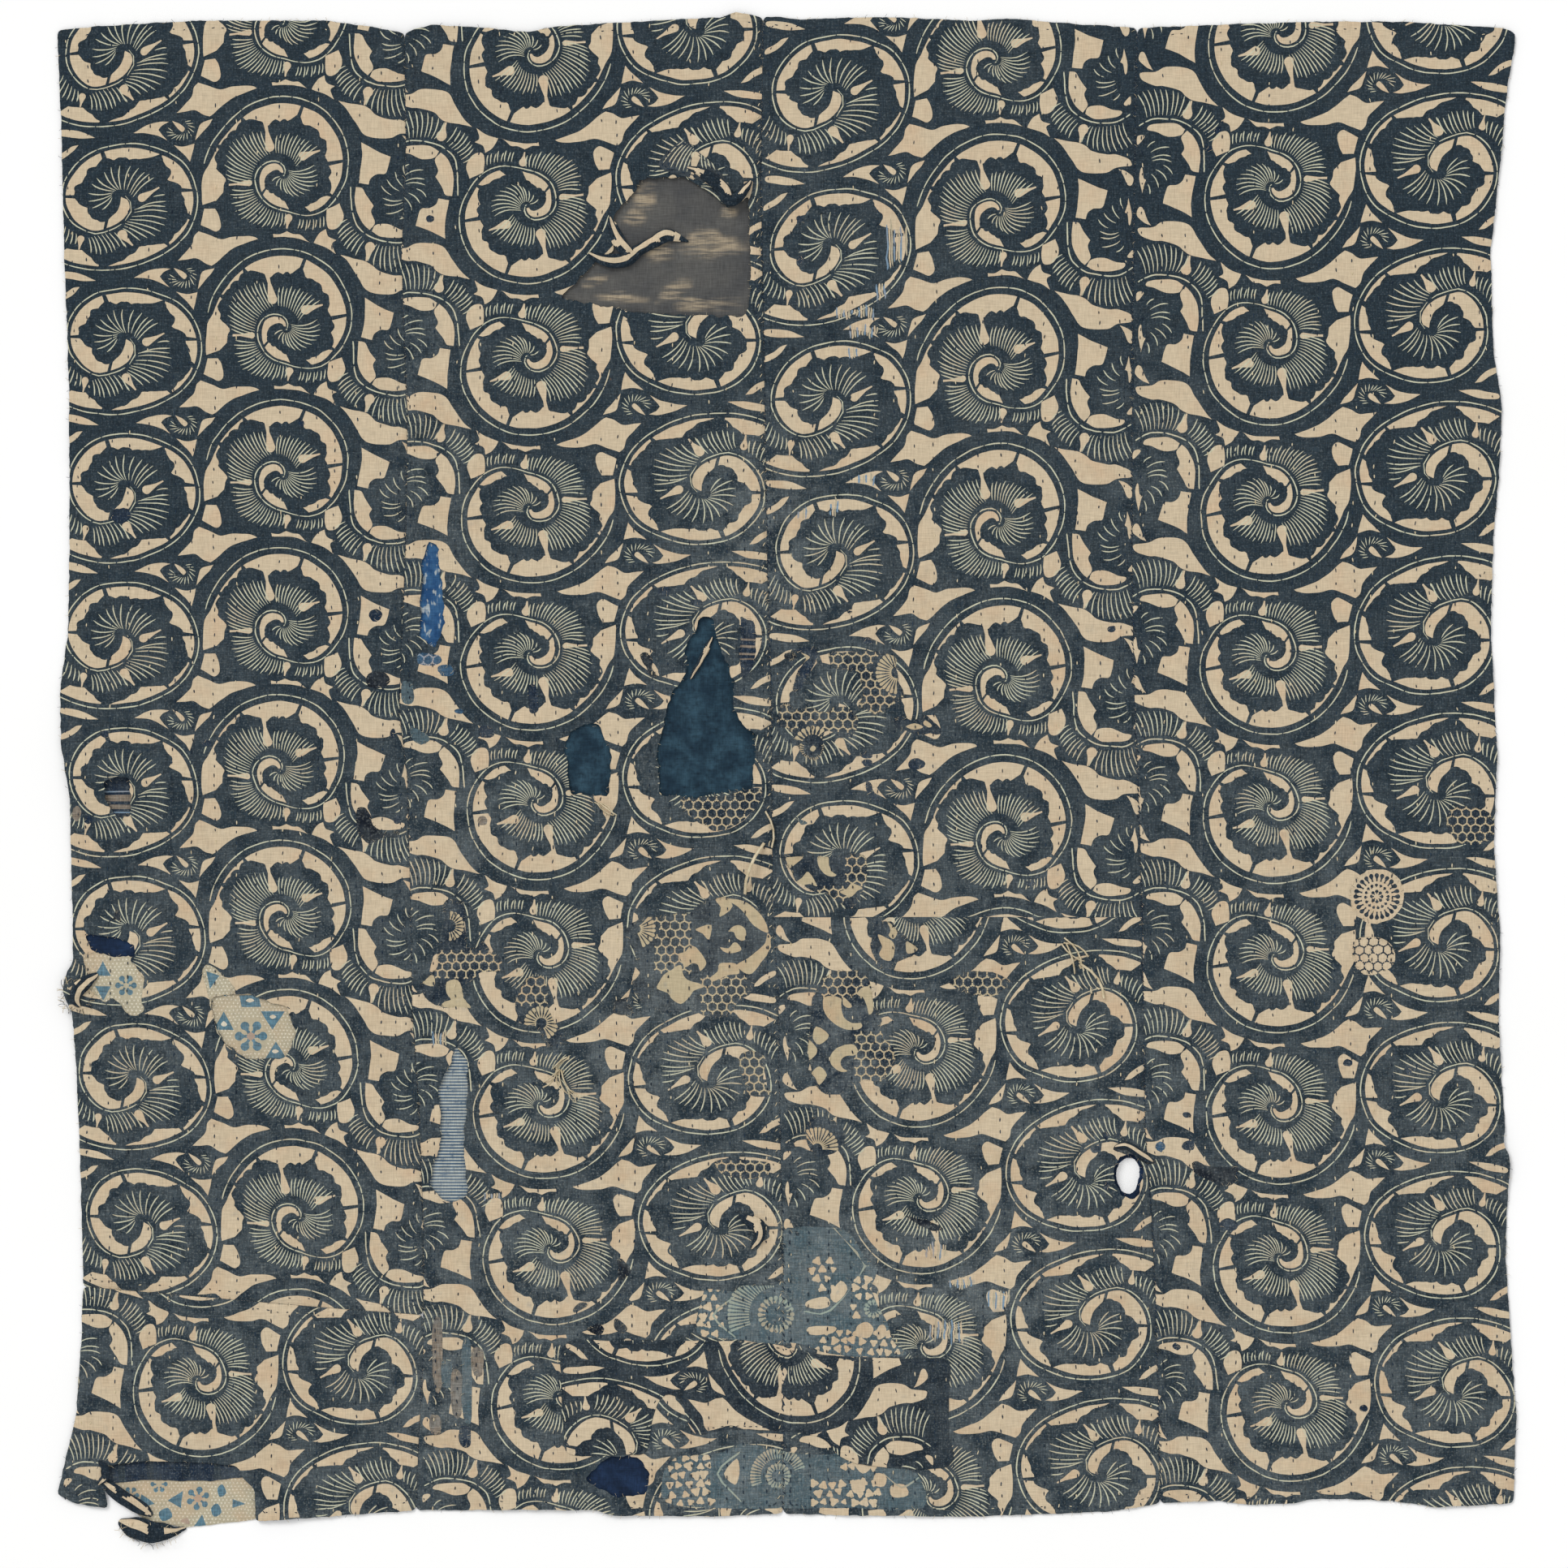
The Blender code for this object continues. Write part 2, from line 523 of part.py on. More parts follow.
def rag(name, rows, colour):
    """A twisted strip: flattened rings along its path, closed at both ends."""
    work = bmesh.new()
    rings = []
    for index, row in enumerate(rows):
        before = rows[max(0, index - 1)]
        after = rows[min(len(rows) - 1, index + 1)]
        run = Vector((after.x - before.x, after.y - before.y)).normalized()
        across = Vector((-run.y, run.x))
        bottom = rag_bottom(row)
        ring = []
        for side in range(RAG_SIDES):
            angle = math.tau * side / RAG_SIDES
            offset = across * (math.cos(angle) * row.width / 2)
            z = bottom + row.thick * (1 + math.sin(angle)) / 2
            ring.append(work.verts.new(((row.x + offset.x) * MM, (row.y + offset.y) * MM, z * MM)))
        rings.append(ring)
    for ring, following in zip(rings, rings[1:]):
        for side in range(RAG_SIDES):
            other = (side + 1) % RAG_SIDES
            work.faces.new((ring[side], ring[other], following[other], following[side]))
    work.faces.new(rings[0][::-1])
    work.faces.new(rings[-1])
    bmesh.ops.recalc_face_normals(work, faces=work.faces[:])
    bmesh.ops.triangulate(work, faces=work.faces[:])
    return finished(name, work, colour)


def rings_of(names):
    return [[Vector(point) for point in TEARS[name]] for name in names]


def foot_outline():
    """The foot piece of the first loom width, with the torn corner cut out of its hem."""
    half_gap = CLEARANCE / 2
    outline = loom_width(
        ("left", None, 0.0), ("seam", 0, -half_gap), head=lambda x: cross_seam_y(x) - half_gap
    )
    tear_low, tear_high = FOOT_TEAR[0].x, FOOT_TEAR[-1].x
    near_foot = FOOT_LINE + FOOT_BAND
    kept = [p for p in outline if p.y > near_foot or not tear_low <= p.x <= tear_high]
    lip = max(i for i, p in enumerate(kept) if p.y < near_foot and p.x > tear_high)
    right_lip = Vector((tear_high, hem_y(tear_high, top=False)))
    tear = [Vector(point) for point in FOOT_TEAR[::-1]]
    return kept[: lip + 1] + [right_lip] + tear + kept[lip + 1:]


def floor_level(x, y):
    return 0.0


def build():
    """Clears the scene and makes every piece of the cloth."""
    for old in list(bpy.data.objects):
        bpy.data.objects.remove(old)
    half_gap = CLEARANCE / 2
    dyed = (0.06, 0.10, 0.15)
    outlines = {
        "loom_width_1": loom_width(
            ("left", None, 0.0), ("seam", 0, -half_gap), foot=lambda x: cross_seam_y(x) + half_gap
        ),
        "loom_width_1_foot": foot_outline(),
        "loom_width_2": loom_width(("seam", 0, half_gap), ("seam", 1, -half_gap)),
        "loom_width_3": loom_width(("seam", 1, half_gap), ("seam", 2, -half_gap)),
        "loom_width_4": loom_width(("seam", 2, half_gap), ("right", None, 0.0)),
    }
    for name, outline in outlines.items():
        sheet(name, outline, rings_of(TEARS_OF[name]), CLOTH, underside, dyed)
    for patch in PATCHES:
        sheet(patch.name, oblong(patch), [], PATCH, floor_level, patch.colour)
    ring_hole = [Vector(point) for point in RING_HOLE]
    sheet(RING_PATCH.name, oblong(RING_PATCH), [ring_hole], PATCH, floor_level, RING_PATCH.colour)
    light = [Vector(point) for point in CORNER_LIGHT]
    navy = [Vector(point) for point in CORNER_NAVY]
    sheet("patch_corner_light", light, [], PATCH, floor_level, (0.40, 0.45, 0.42))
    sheet("patch_corner_navy", navy, [], PATCH, floor_level, (0.02, 0.05, 0.10))
    for name, rows in RAGS.items():
        rag(name, rows, dyed)


build()
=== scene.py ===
"""Boro patched cloth: four loom widths of stencil resist-dyed indigo cotton sewn edge to edge, torn
open over older patches, darned, quilted with running stitches and frayed, laid flat face up.

The tables are in millimetres on the cloth: x to the right, y up the cloth and z off the floor.
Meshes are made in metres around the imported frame. The file is laid out as an add-on with one
operator for each group of pieces, and is run as a script.
"""

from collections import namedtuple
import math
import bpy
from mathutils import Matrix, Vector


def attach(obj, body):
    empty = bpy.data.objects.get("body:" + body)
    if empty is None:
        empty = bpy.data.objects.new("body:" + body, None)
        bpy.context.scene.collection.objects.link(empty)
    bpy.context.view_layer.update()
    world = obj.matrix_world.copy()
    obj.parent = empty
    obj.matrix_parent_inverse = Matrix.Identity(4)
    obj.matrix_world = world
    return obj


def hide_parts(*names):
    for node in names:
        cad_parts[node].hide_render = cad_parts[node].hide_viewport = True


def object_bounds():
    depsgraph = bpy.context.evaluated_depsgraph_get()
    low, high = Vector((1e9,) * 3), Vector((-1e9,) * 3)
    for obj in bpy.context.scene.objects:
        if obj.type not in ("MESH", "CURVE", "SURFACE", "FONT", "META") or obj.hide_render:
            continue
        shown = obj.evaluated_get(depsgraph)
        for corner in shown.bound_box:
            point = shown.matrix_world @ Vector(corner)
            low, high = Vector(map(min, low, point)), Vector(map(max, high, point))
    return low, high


bl_info = {
    "name": "Boro Patched Cloth",
    "version": (1, 0, 0),
    "blender": (4, 5, 0),
    "location": "View3D > Sidebar > Boro",
    "description": "Makes the printed loom widths, the patches, the sewing and the frays",
    "category": "Object",
}

import bmesh
import bpy
import numpy as np
from mathutils import Vector
from mathutils.bvhtree import BVHTree
from mathutils.geometry import delaunay_2d_cdt
from mathutils.kdtree import KDTree

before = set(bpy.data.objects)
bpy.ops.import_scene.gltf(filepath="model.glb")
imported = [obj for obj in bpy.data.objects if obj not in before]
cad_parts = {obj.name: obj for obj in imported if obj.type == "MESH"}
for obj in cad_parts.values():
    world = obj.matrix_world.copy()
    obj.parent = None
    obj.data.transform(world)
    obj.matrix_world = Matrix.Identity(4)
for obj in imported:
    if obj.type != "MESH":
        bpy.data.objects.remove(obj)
CAD_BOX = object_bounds()

MM = 0.001
ROOT = "root"
PIXEL = 0.75  # millimetres of cloth to one pixel of the 1932 pixel photograph
IMAGE = 1932
CAMERA_X, CAMERA_Y = -2.6, -3.0  # where the photograph's middle falls on the cloth

WIDTHS = ("loom_width_1", "loom_width_1_foot", "loom_width_2", "loom_width_3", "loom_width_4")

# Sizes of the fine cloth
EDGE_STEP = 3.2  # between the points along an edge
GRID = 4.6  # between the points inside a printed sheet
UNDER_GRID = 15.0  # between the points of its underside, which is never seen from near by
PATCH_GRID = 5.0
THICK = 1.1  # the face cloth, thinner than its solid by what the soft relief needs
PATCH_THICK = 0.8
RELIEF_CELL = 7.0  # step of the height grid that is read from the solids

# The katazome stencil. Its frame has the big scroll's eye at the origin, and it repeats upwards.
REPEAT = 138.0
SMALL_EYE = (-141.0, -6.8)
HALF_TURN = 180.0
FULL_TURN = 360.0

Scroll = namedtuple("Scroll", "eye turn line leaf lobes gap scallop crescents dashes")
Fan = namedtuple(
    "Fan", "start end count swirl_start swirl_end reach_start reach_end root_start root_end")
Drop = namedtuple("Drop", "x y radius tip_x tip_y mouth")
Stroke = namedtuple("Stroke", "x0 y0 x1 y1")
Crescent = namedtuple("Crescent", "inner_start outer_start inner_end outer_end")
ScrollRow = namedtuple("ScrollRow", "big_x big_y small_x small_y")
Print = namedtuple("Print", "way low high rows")
Shape = namedtuple("Shape", "ring dye region")
Crease = namedtuple("Crease", "x0 y0 x1 y1 height reach")
OldCloth = namedtuple("OldCloth", "ground mark filling")
Worn = namedtuple("Worn", "cloth outline nets daisies marks")
Daisy = namedtuple("Daisy", "x y inner outer start end petals")
FrontPatch = namedtuple("FrontPatch", "outline print ground")
RagRow = namedtuple("RagRow", "x y base width thick")

# Angles run clockwise from the west, and go on past a full turn as the spiral winds in.
# Each row of a line, a leaf or a gap is (angle, radius).
BIG_SCROLL = Scroll(
    eye=(0.0, 0.0),
    turn=-FULL_TURN,
    line=[
        (-60, 72), (-30, 71), (-19, 70.2), (-10, 67.6), (0, 65.8), (20, 66.3), (45, 67.5),
        (70, 70.5), (90, 72.2), (112, 73), (135, 72), (160, 69), (180, 65), (195, 60.4),
        (208, 56.8), (218, 53.5), (230, 47.4), (240, 41), (248, 36.4), (257, 32.4), (275, 28.6),
        (293, 25.4), (319, 21.6), (335, 20.2), (360, 19), (395, 17), (430, 14.8), (465, 12.8),
        (495, 10.8), (520, 9), (545, 6.5),
    ],
    leaf=[
        (334, 62), (338, 58.5), (341, 56), (345.5, 49.5), (350, 47), (354, 46.2), (360, 45),
        (366, 48), (371, 54), (375, 54.6), (380, 58.2), (384, 59), (388, 58.2), (396, 61),
        (400, 58.4), (406, 60.4), (411, 57.8), (416, 59.8), (420, 60), (424, 59.2), (428, 56.8),
        (432, 54.6), (437, 50.6), (441, 47), (446, 49.2), (450, 51), (455, 50), (459, 51.8),
        (463, 51.2), (467, 54.2), (471, 59), (474, 57), (478, 52.6), (482, 52.8), (489, 54.6),
        (496, 54.6), (501, 52.4), (507, 54), (513, 51.8), (519, 48.2), (526, 48), (532, 49),
        (538, 49.6), (544, 48.2), (550, 50), (557, 52), (561, 51), (566, 46.6), (575, 42.5),
        (587, 38), (598, 31), (606, 25.5), (613, 23), (617, 22), (633, 16.8), (664, 14.6),
        (690, 12.2), (720, 9.2), (760, 6.2), (844, 5.4), (880, 5),
    ],
    lobes=[
        334, 345.5, 360, 375, 390, 400, 411, 422, 432, 441, 455, 463, 472, 480, 489, 501, 511,
        520, 532, 544, 558, 569, 580, 594, 607, 622, 640, 660, 690,
    ],
    gap=[
        (340, 0.6), (365, 0.6), (374, 4.5), (388, 6), (450, 6.2), (520, 5.4), (570, 4.6),
        (590, 4.2), (606, 3), (660, 3), (720, 4.2), (760, 2.9), (880, 2.2),
    ],
    scallop=1.6,
    crescents=[
        Crescent(341, 341, 388.5, 389.5), Crescent(393, 392, 419, 420), Crescent(423, 422, 470, 470.5),
        Crescent(473.5, 473, 526.5, 528), Crescent(531, 530.5, 559, 560),
        Crescent(563, 562.5, 588, 587), Crescent(612, 610, 668, 667), Crescent(675, 674, 870, 878),
    ],
    dashes=[(14, 160), (161, 545)],
)
SMALL_SCROLL = Scroll(
    eye=SMALL_EYE,
    turn=FULL_TURN,
    line=[
        (180, 3), (190, 6.5), (211, 12.4), (227, 17.5), (241, 21), (260, 26.2), (286.5, 34.6),
        (302, 41.5), (320, 45.6), (343, 49), (360, 50.5), (377.6, 51.2), (403.6, 50.7),
        (422.8, 49.8), (444.5, 48.4), (463.7, 49.4), (491.8, 54.2), (512, 62), (524.6, 66),
        (548, 71.6), (565, 73), (583, 72.4), (602.8, 70), (621, 70), (643.6, 73.2),
        (665, 79.4), (690, 88),
    ],
    leaf=[
        (-210, 3), (-150, 3.2), (-121, 4.5), (-98, 9), (-85, 15), (-71, 21.5), (-66, 26),
        (-56, 29), (-45, 30.4), (-33, 31.2), (-19, 30), (-11, 34), (-3, 37.6), (4, 39.4), (9, 40),
        (16, 40.2), (24, 36.4), (35, 36), (45, 38.4), (55, 36.6), (63, 37.6), (69, 39.6),
        (73, 37.6), (82, 34.4), (94, 36), (105, 34.6), (118, 37.6), (127, 40.6), (132, 45.4),
        (138, 50.6), (144, 49.6), (149, 48.4), (156, 50.6), (162, 49), (167, 45.8), (171, 50),
        (176, 55.6), (181, 57), (184.4, 56.4), (189, 59.4), (195, 61.8), (200, 65.4), (205, 67.6),
        (211, 66.4), (218, 65.2), (226, 65), (230, 64.8), (236, 59.4), (243, 56.4), (250, 53.4),
        (255, 56.6), (262, 59), (267, 62.4), (272, 64.4), (281, 67), (286, 67.6), (290, 66),
        (294, 64), (302, 61.6), (309, 64), (316, 69),
    ],
    lobes=[
        -66, -50, -33, -19, -4, 9, 24, 38, 55, 70, 82, 94, 105, 118, 131, 144, 153, 167, 182, 192,
        201, 211, 220, 231, 243, 252, 262, 272, 283, 294, 304, 316,
    ],
    gap=[
        (-210, 2.5), (-130, 3), (-100, 3.2), (-63, 3.6), (-50, 2.6), (-20, 3.5), (0, 3.5),
        (40, 4.4), (90, 3.8), (130, 4.6), (200, 4), (240, 4.2), (300, 4.2),
    ],
    scallop=1.4,
    crescents=[
        Crescent(5, 4, 67, 68), Crescent(73, 72.5, 134, 136), Crescent(139.5, 138.5, 178.5, 180),
        Crescent(182.5, 182, 199.5, 200.5), Crescent(204, 204, 228, 228.5),
        Crescent(231, 230.5, 276, 279), Crescent(286, 286, 314, 316), Crescent(-63, -66, 0, 1),
        Crescent(-148, -150, -68, -70),
    ],
    dashes=[(190, 360), (361, 690)],
)
BIG_FANS = [
    Fan(228, 248.5, 8, 6.5, 6.5, 63, 51.5, 57, 44.8), Fan(262, 311, 11, 5, 10, 45.5, 48, 34.8, 27.4),
    Fan(316, 346, 7, 11, 14, 48, 41, 26.8, 23.8), Fan(361, 396, 8, 16, 9, 43.5, 51.5, 22.2, 21),
    Fan(401, 432, 8, 7, -4, 51.5, 44, 21, 21.4), Fan(452, 506, 11, 1, -10, 37, 44, 21.2, 20),
]
BIG_DROPS = [
    Drop(-5.5, 27, 4.4, -9.5, 50, 1.9), Drop(24.5, 17, 4.1, 40, 21.5, 0),
    Drop(-24.5, -5, 2.9, -42, -5, 1), Drop(10.5, -38.5, 3.7, 9, -48, 0),
    Drop(84, 72, 4.6, 80.5, 60, 0),
]
BIG_HEART = [
    Stroke(3.4, -1, -3.7, -4.6), Stroke(4.2, -2.4, 0, -9.2), Stroke(5.4, -3, 4.6, -13.2),
    Stroke(6.6, -3.2, 10.5, -16.8), Stroke(7.8, -3, 15.5, -19.4), Stroke(9, -2.6, 20.5, -19.4),
    Stroke(10, -2, 25.5, -17.2), Stroke(10.8, -1.2, 30.3, -14.2), Stroke(11.4, -0.3, 34.6, -10.2),
    Stroke(11.8, 0.7, 37.6, -5.6), Stroke(12, 1.9, 38, -0.6), Stroke(11.8, 3.2, 37.2, 4.2),
    Stroke(11.2, 4.6, 35, 8.4),
]
# Drops and fan strokes of the small scroll, from its own eye
SMALL_DROPS = [
    Drop(21.5, -4, 4, 37, 4, 0), Drop(3, -37.5, 4.4, 12, -49, 0),
    Drop(-34.5, -40, 3.2, -36.5, -50.5, 0),
]
SMALL_HEART = [
    (-14.5, -13), (-23.5, -10.5), (-26, -3.5), (-26.5, 4), (-24, 13), (-19.5, 18.5), (-13, 23.5),
    (-7, 27.5), (1, 28.5), (10.5, 27), (18, 24), (23.5, 20), (28, 18), (32, 14),
]
SMALL_STROKES = [
    Stroke(31, -4.5, 41.5, -3.5), Stroke(17, -13.5, 42, -9.5), Stroke(14, -14.5, 41.5, -14),
    Stroke(14, -17, 43.5, -19), Stroke(11.5, -21, 42.5, -26), Stroke(9.5, -24, 41, -32),
    Stroke(7, -26, 36.5, -37.5), Stroke(5.5, -27.5, 31.5, -41.5), Stroke(4.5, -30, 24.5, -42.5),
    Stroke(3.5, -32, 18.5, -44.5), Stroke(1.5, -43.5, 6, -50), Stroke(-4, -35, 4.5, -49),
    Stroke(-8.5, -35, 0, -49), Stroke(-12.5, -35, -4, -52.5), Stroke(-16, -36, -7, -54.5),
    Stroke(-19.5, -37, -11.5, -55), Stroke(-22.5, -37.5, -17, -56), Stroke(-25, -38.5, -21, -55),
    Stroke(-27.5, -39.5, -26, -54), Stroke(-38.5, -34.5, -39.5, -45),
    Stroke(-41.5, -32.5, -44, -44.5), Stroke(-44.5, -29.5, -48.5, -42.5),
    Stroke(-47.5, -26.5, -53, -40), Stroke(-50, -22.5, -57, -36), Stroke(-52.5, -18, -60, -31),
]
# The half scroll that meets the next width at the seam
SEAM_LEAF_LINE = [
    (67.5, -12), (68, -24), (69, -35), (72.5, -46.5), (82, -55.5), (91, -59.5), (101, -61.5),
    (112, -62), (120, -59.5), (127, -55.5),
]
SEAM_LEAF_FAN = [
    Stroke(64, -41, 54, -48), Stroke(66, -44, 55, -53.5), Stroke(68, -47.5, 56, -57),
    Stroke(70, -50, 58, -60), Stroke(72.5, -52.5, 60.5, -64.5), Stroke(74.5, -54.5, 63, -67.5),
    Stroke(77, -56.5, 67, -69.5), Stroke(79, -60, 70.5, -73), Stroke(90.5, -63.5, 82, -78),
    Stroke(93, -64, 87, -82), Stroke(96, -65, 93, -85), Stroke(99, -65, 97.5, -87),
    Stroke(102.5, -65, 103.5, -88), Stroke(106, -65, 108.5, -88.5), Stroke(109.5, -65, 114, -88.5),
    Stroke(113, -64.5, 119.5, -87.5), Stroke(116.5, -64, 124, -86), Stroke(120, -63, 128, -83),
]
SEAM_LEAF_HEART = [
    Stroke(118.1, -3.1, 115.9, 5.9), Stroke(115.1, -12.1, 108.4, -0.1),
    Stroke(111.4, -15.9, 100.9, -6.1), Stroke(104.6, -19.6, 95.6, -11.4),
    Stroke(114.4, -24.1, 97.1, -22.6), Stroke(115.1, -26.4, 97.9, -27.9),
    Stroke(115.9, -31.6, 99.4, -36.1), Stroke(118.9, -36.1, 112.1, -41.4),
]
# Undyed ground between the scrolls; a third value of 1 marks a sharp corner
GROUND = [
    [(-68, -40.5, 1), (-64.5, -26, 1), (-55, -26, 1), (-51.5, -33), (-50, -43), (-54.5, -47.5),
     (-61, -44.5)],
    [(-89.5, 65.5, 1), (-82.5, 72.5), (-76.5, 79.5), (-74.5, 87.5), (-70.5, 91.5, 1), (-61, 87.5),
     (-50.5, 83), (-40, 85), (-27.5, 85), (-20.5, 83.5), (-17, 81.5, 1), (-27.5, 78.5),
     (-38.5, 74.5), (-47.5, 68.5), (-55, 62), (-59.5, 59, 1), (-66, 61.5), (-73.5, 66.5),
     (-82, 66)],
    [(-3.5, 85.5, 1), (3, 85), (9.5, 87.5, 1), (15.5, 85), (21.5, 84.5), (27.5, 79),
     (30, 77.5, 1), (20, 81), (7.5, 82.5), (-3, 82.5, 1)],
    [(39, 86), (44.5, 89, 1), (46.5, 82.5), (54, 79, 1), (50, 75.5), (53, 66.5, 1), (44.5, 72.5),
     (33, 77, 1), (35, 81)],
    [(57, 65.5, 1), (68.5, 62.2), (79.5, 59.8), (86, 56), (91.5, 51), (105, 46.8), (113, 46.6),
     (123.5, 42.4), (127, 38), (125.5, 35), (113, 34.3), (104, 30.3), (88, 31), (79, 35),
     (73, 45), (64, 58.5)],
    [(78, 27, 1), (90.5, 20), (104.5, 14, 1), (102.5, 6), (99.5, -1), (92, -1.5), (86.5, -5),
     (84.5, -10.5, 1), (75, -8.5, 1), (77, 3), (78.5, 15.5)],
    [(72.5, -12, 1), (78.5, -13.5), (82, -20), (88.5, -29.5, 1), (86, -35), (89, -44.5),
     (84, -51, 1), (78, -45), (73, -35), (71.5, -24.5)],
    [(85.9, -52.2, 1), (89.6, -46.5), (100.9, -45.6), (112.1, -50.3), (119.6, -52.2),
     (116.8, -56.4), (104.6, -57.8), (93.4, -56.9)],
    [(128.1, -39.1), (121.9, -45.1), (123.4, -47.4), (128.1, -45.9)],
    [(123.1, 5.2, 1), (124.6, -1.6), (126.1, -9.1), (125.2, -16.6), (123.4, -18.1), (122.2, -9.1),
     (119.6, -6.9, 1), (121.6, -1.6)],
    [(45.5, -31.5, 1), (57.5, -26.5, 1), (61, -37.5), (57.5, -46), (51.5, -49.5), (46.5, -48),
     (45, -40.5)],
    [(115.1, 32.9, 1), (121.9, 29.9), (128, 23.9), (126.4, 17.1), (122.6, 17.9), (118.9, 26.9)],
    [(-129, 51.5, 1), (-117, 57), (-104.5, 59), (-96.5, 58, 1), (-102.5, 55.5), (-106, 51.5, 1),
     (-102.5, 46.5), (-97.5, 40.5, 1), (-106.5, 46), (-118, 50)],
    [(-93.5, 58.5, 1), (-86.5, 55), (-82, 50.5), (-84, 47.5), (-87.5, 50), (-91, 54.5)],
    [(-67.5, 53.5), (-57, 56.5, 1), (-60.5, 51), (-65, 46.5), (-72.5, 38, 1), (-70.5, 46.5)],
    [(-92, 36, 1), (-82.5, 33.5), (-73, 35, 1), (-74.5, 28), (-77, 19, 1), (-81.5, 25.5),
     (-86, 30)],
    [(-197, 60.5), (-186, 59.5), (-175, 56.5), (-163, 50, 1), (-175, 50.5), (-186, 52.5),
     (-197, 56)],
    [(-178, 44.5, 1), (-183.5, 38), (-190, 33.5), (-198, 31), (-198, 35.5), (-190, 39.5),
     (-184, 43.5)],
]
FLORET_MIDDLE = (-85.5, 50.5)
# Petal strokes of the small floret: angle, outer reach, inner reach
FLORET_STROKES = [
    (38, 10.9, 6.9), (20, 11.5, 6.3), (0, 12.4, 6.9), (340, 12.6, 6.9), (320, 12.9, 6.7),
    (300, 12.4, 6.9), (282, 11.5, 5.7), (262, 10.9, 5.5), (245, 10.9, 5.2), (225, 12.1, 5.7),
    (205, 13.5, 6.3), (188, 13.2, 6.9), (170, 12.1, 7.5),
]

# A print's way is the sign of its x and its y. A turned one hangs upside down on its width, as
# the cloth was folded and joined. A reversed one is a scrap sewn on with its back to the front.
UPRIGHT, TURNED, REVERSED = (1.0, 1.0), (-1.0, -1.0), (1.0, -1.0)
# Where the eyes of each printed repeat lie on the cloth, from the top down
PRINTS = {
    "loom_width_1": [Print(UPRIGHT, -800, 800, [
        ScrollRow(-472, 699, -615, 675), ScrollRow(-472, 558, -618, 541),
        ScrollRow(-469, 417, -613, 409), ScrollRow(-472, 280, -613, 273),
        ScrollRow(-472, 144, -616, 136), ScrollRow(-475, 10, -613, 2),
        ScrollRow(-468, -125, -609, -137), ScrollRow(-462, -266, -603, -272),
        ScrollRow(-457, -404, -597, -406), ScrollRow(-453, -543, -592, -546),
    ])],
    "loom_width_1_foot": [Print(TURNED, -800, 800, [
        ScrollRow(-537, -413, -393, -408), ScrollRow(-537, -552, -393, -547),
        ScrollRow(-537, -691, -393, -682),
    ])],
    "loom_width_2": [Print(TURNED, -800, 800, [
        ScrollRow(-230, 812, -82, 826), ScrollRow(-230, 674, -81, 692),
        ScrollRow(-234, 532, -82, 553), ScrollRow(-233, 392, -80, 407),
        ScrollRow(-231, 254, -76, 266), ScrollRow(-231, 118, -75, 133),
        ScrollRow(-227, -17, -74, -4), ScrollRow(-222, -159, -72, -142),
        ScrollRow(-222, -297, -70, -279), ScrollRow(-212, -431, -59, -414),
        ScrollRow(-204, -566, -53, -548), ScrollRow(-202, -700, -50, -685),
    ])],
    "loom_width_3": [
        Print(UPRIGHT, -126, 800, [
            ScrollRow(186, 800, 40, 778), ScrollRow(186, 663, 40, 639),
            ScrollRow(189, 524, 39, 496), ScrollRow(189, 380, 39, 356),
            ScrollRow(189, 237, 43, 214), ScrollRow(195, 92, 45, 73),
            ScrollRow(195, -52, 47, -68), ScrollRow(195, -190, 48, -208),
        ]),
        Print(TURNED, -800, -126, [
            ScrollRow(120, -111, 267, -92), ScrollRow(126, -248, 271, -228),
            ScrollRow(129, -384, 278, -368), ScrollRow(133, -520, 282, -504),
            ScrollRow(138, -659, 290, -643), ScrollRow(141, -798, 294, -782),
        ]),
    ],
    "loom_width_4": [Print(TURNED, -800, 800, [
        ScrollRow(459, 842, 606, 844), ScrollRow(459, 692, 612, 703),
        ScrollRow(455, 550, 603, 562), ScrollRow(452, 404, 596, 417),
        ScrollRow(451, 260, 601, 278), ScrollRow(450, 116, 599, 130),
        ScrollRow(453, -22, 603, -12), ScrollRow(456, -160, 604, -154),
        ScrollRow(456, -300, 606, -297), ScrollRow(461, -439, 606, -429),
        ScrollRow(469, -575, 618, -568), ScrollRow(473, -712, 623, -705),
    ])],
}
# Printed cloth that lies over the face: a fresher patch sewn on low in the middle, and a flap of
# the face folded down above the grey tear
FRONT_PATCHES = {
    "front_patch": FrontPatch(
        [(-205, -520), (-160, -517), (-78, -517), (-44, -518), (-8, -521), (20, -527), (40, -531),
         (108, -534), (148, -535), (150, -560), (149, -600), (150, -633), (90, -634), (52, -626),
         (30, -606), (-16, -600), (-60, -599), (-82, -604), (-92, -592), (-96, -574), (-112, -566),
         (-124, -588), (-130, -620), (-150, -622), (-200, -622), (-206, -600), (-208, -560)],
        Print(REVERSED, -800, 800, [
            ScrollRow(1, -380, -141, -355), ScrollRow(1, -518, -141, -493),
            ScrollRow(4, -661, -151, -623),
        ]), "deep"),
    "front_flap": FrontPatch(
        [(-119, 568), (-113, 578), (-100, 590), (-92, 590), (-82, 581), (-67, 568), (-56, 554),
         (-51, 542), (-58, 546), (-72, 550), (-86, 556), (-106, 561)],
        Print(REVERSED, -800, 800, [
            ScrollRow(-78, 740, -219, 765), ScrollRow(-78, 602, -219, 627),
            ScrollRow(-78, 464, -219, 489),
        ]), "smoky"),
}

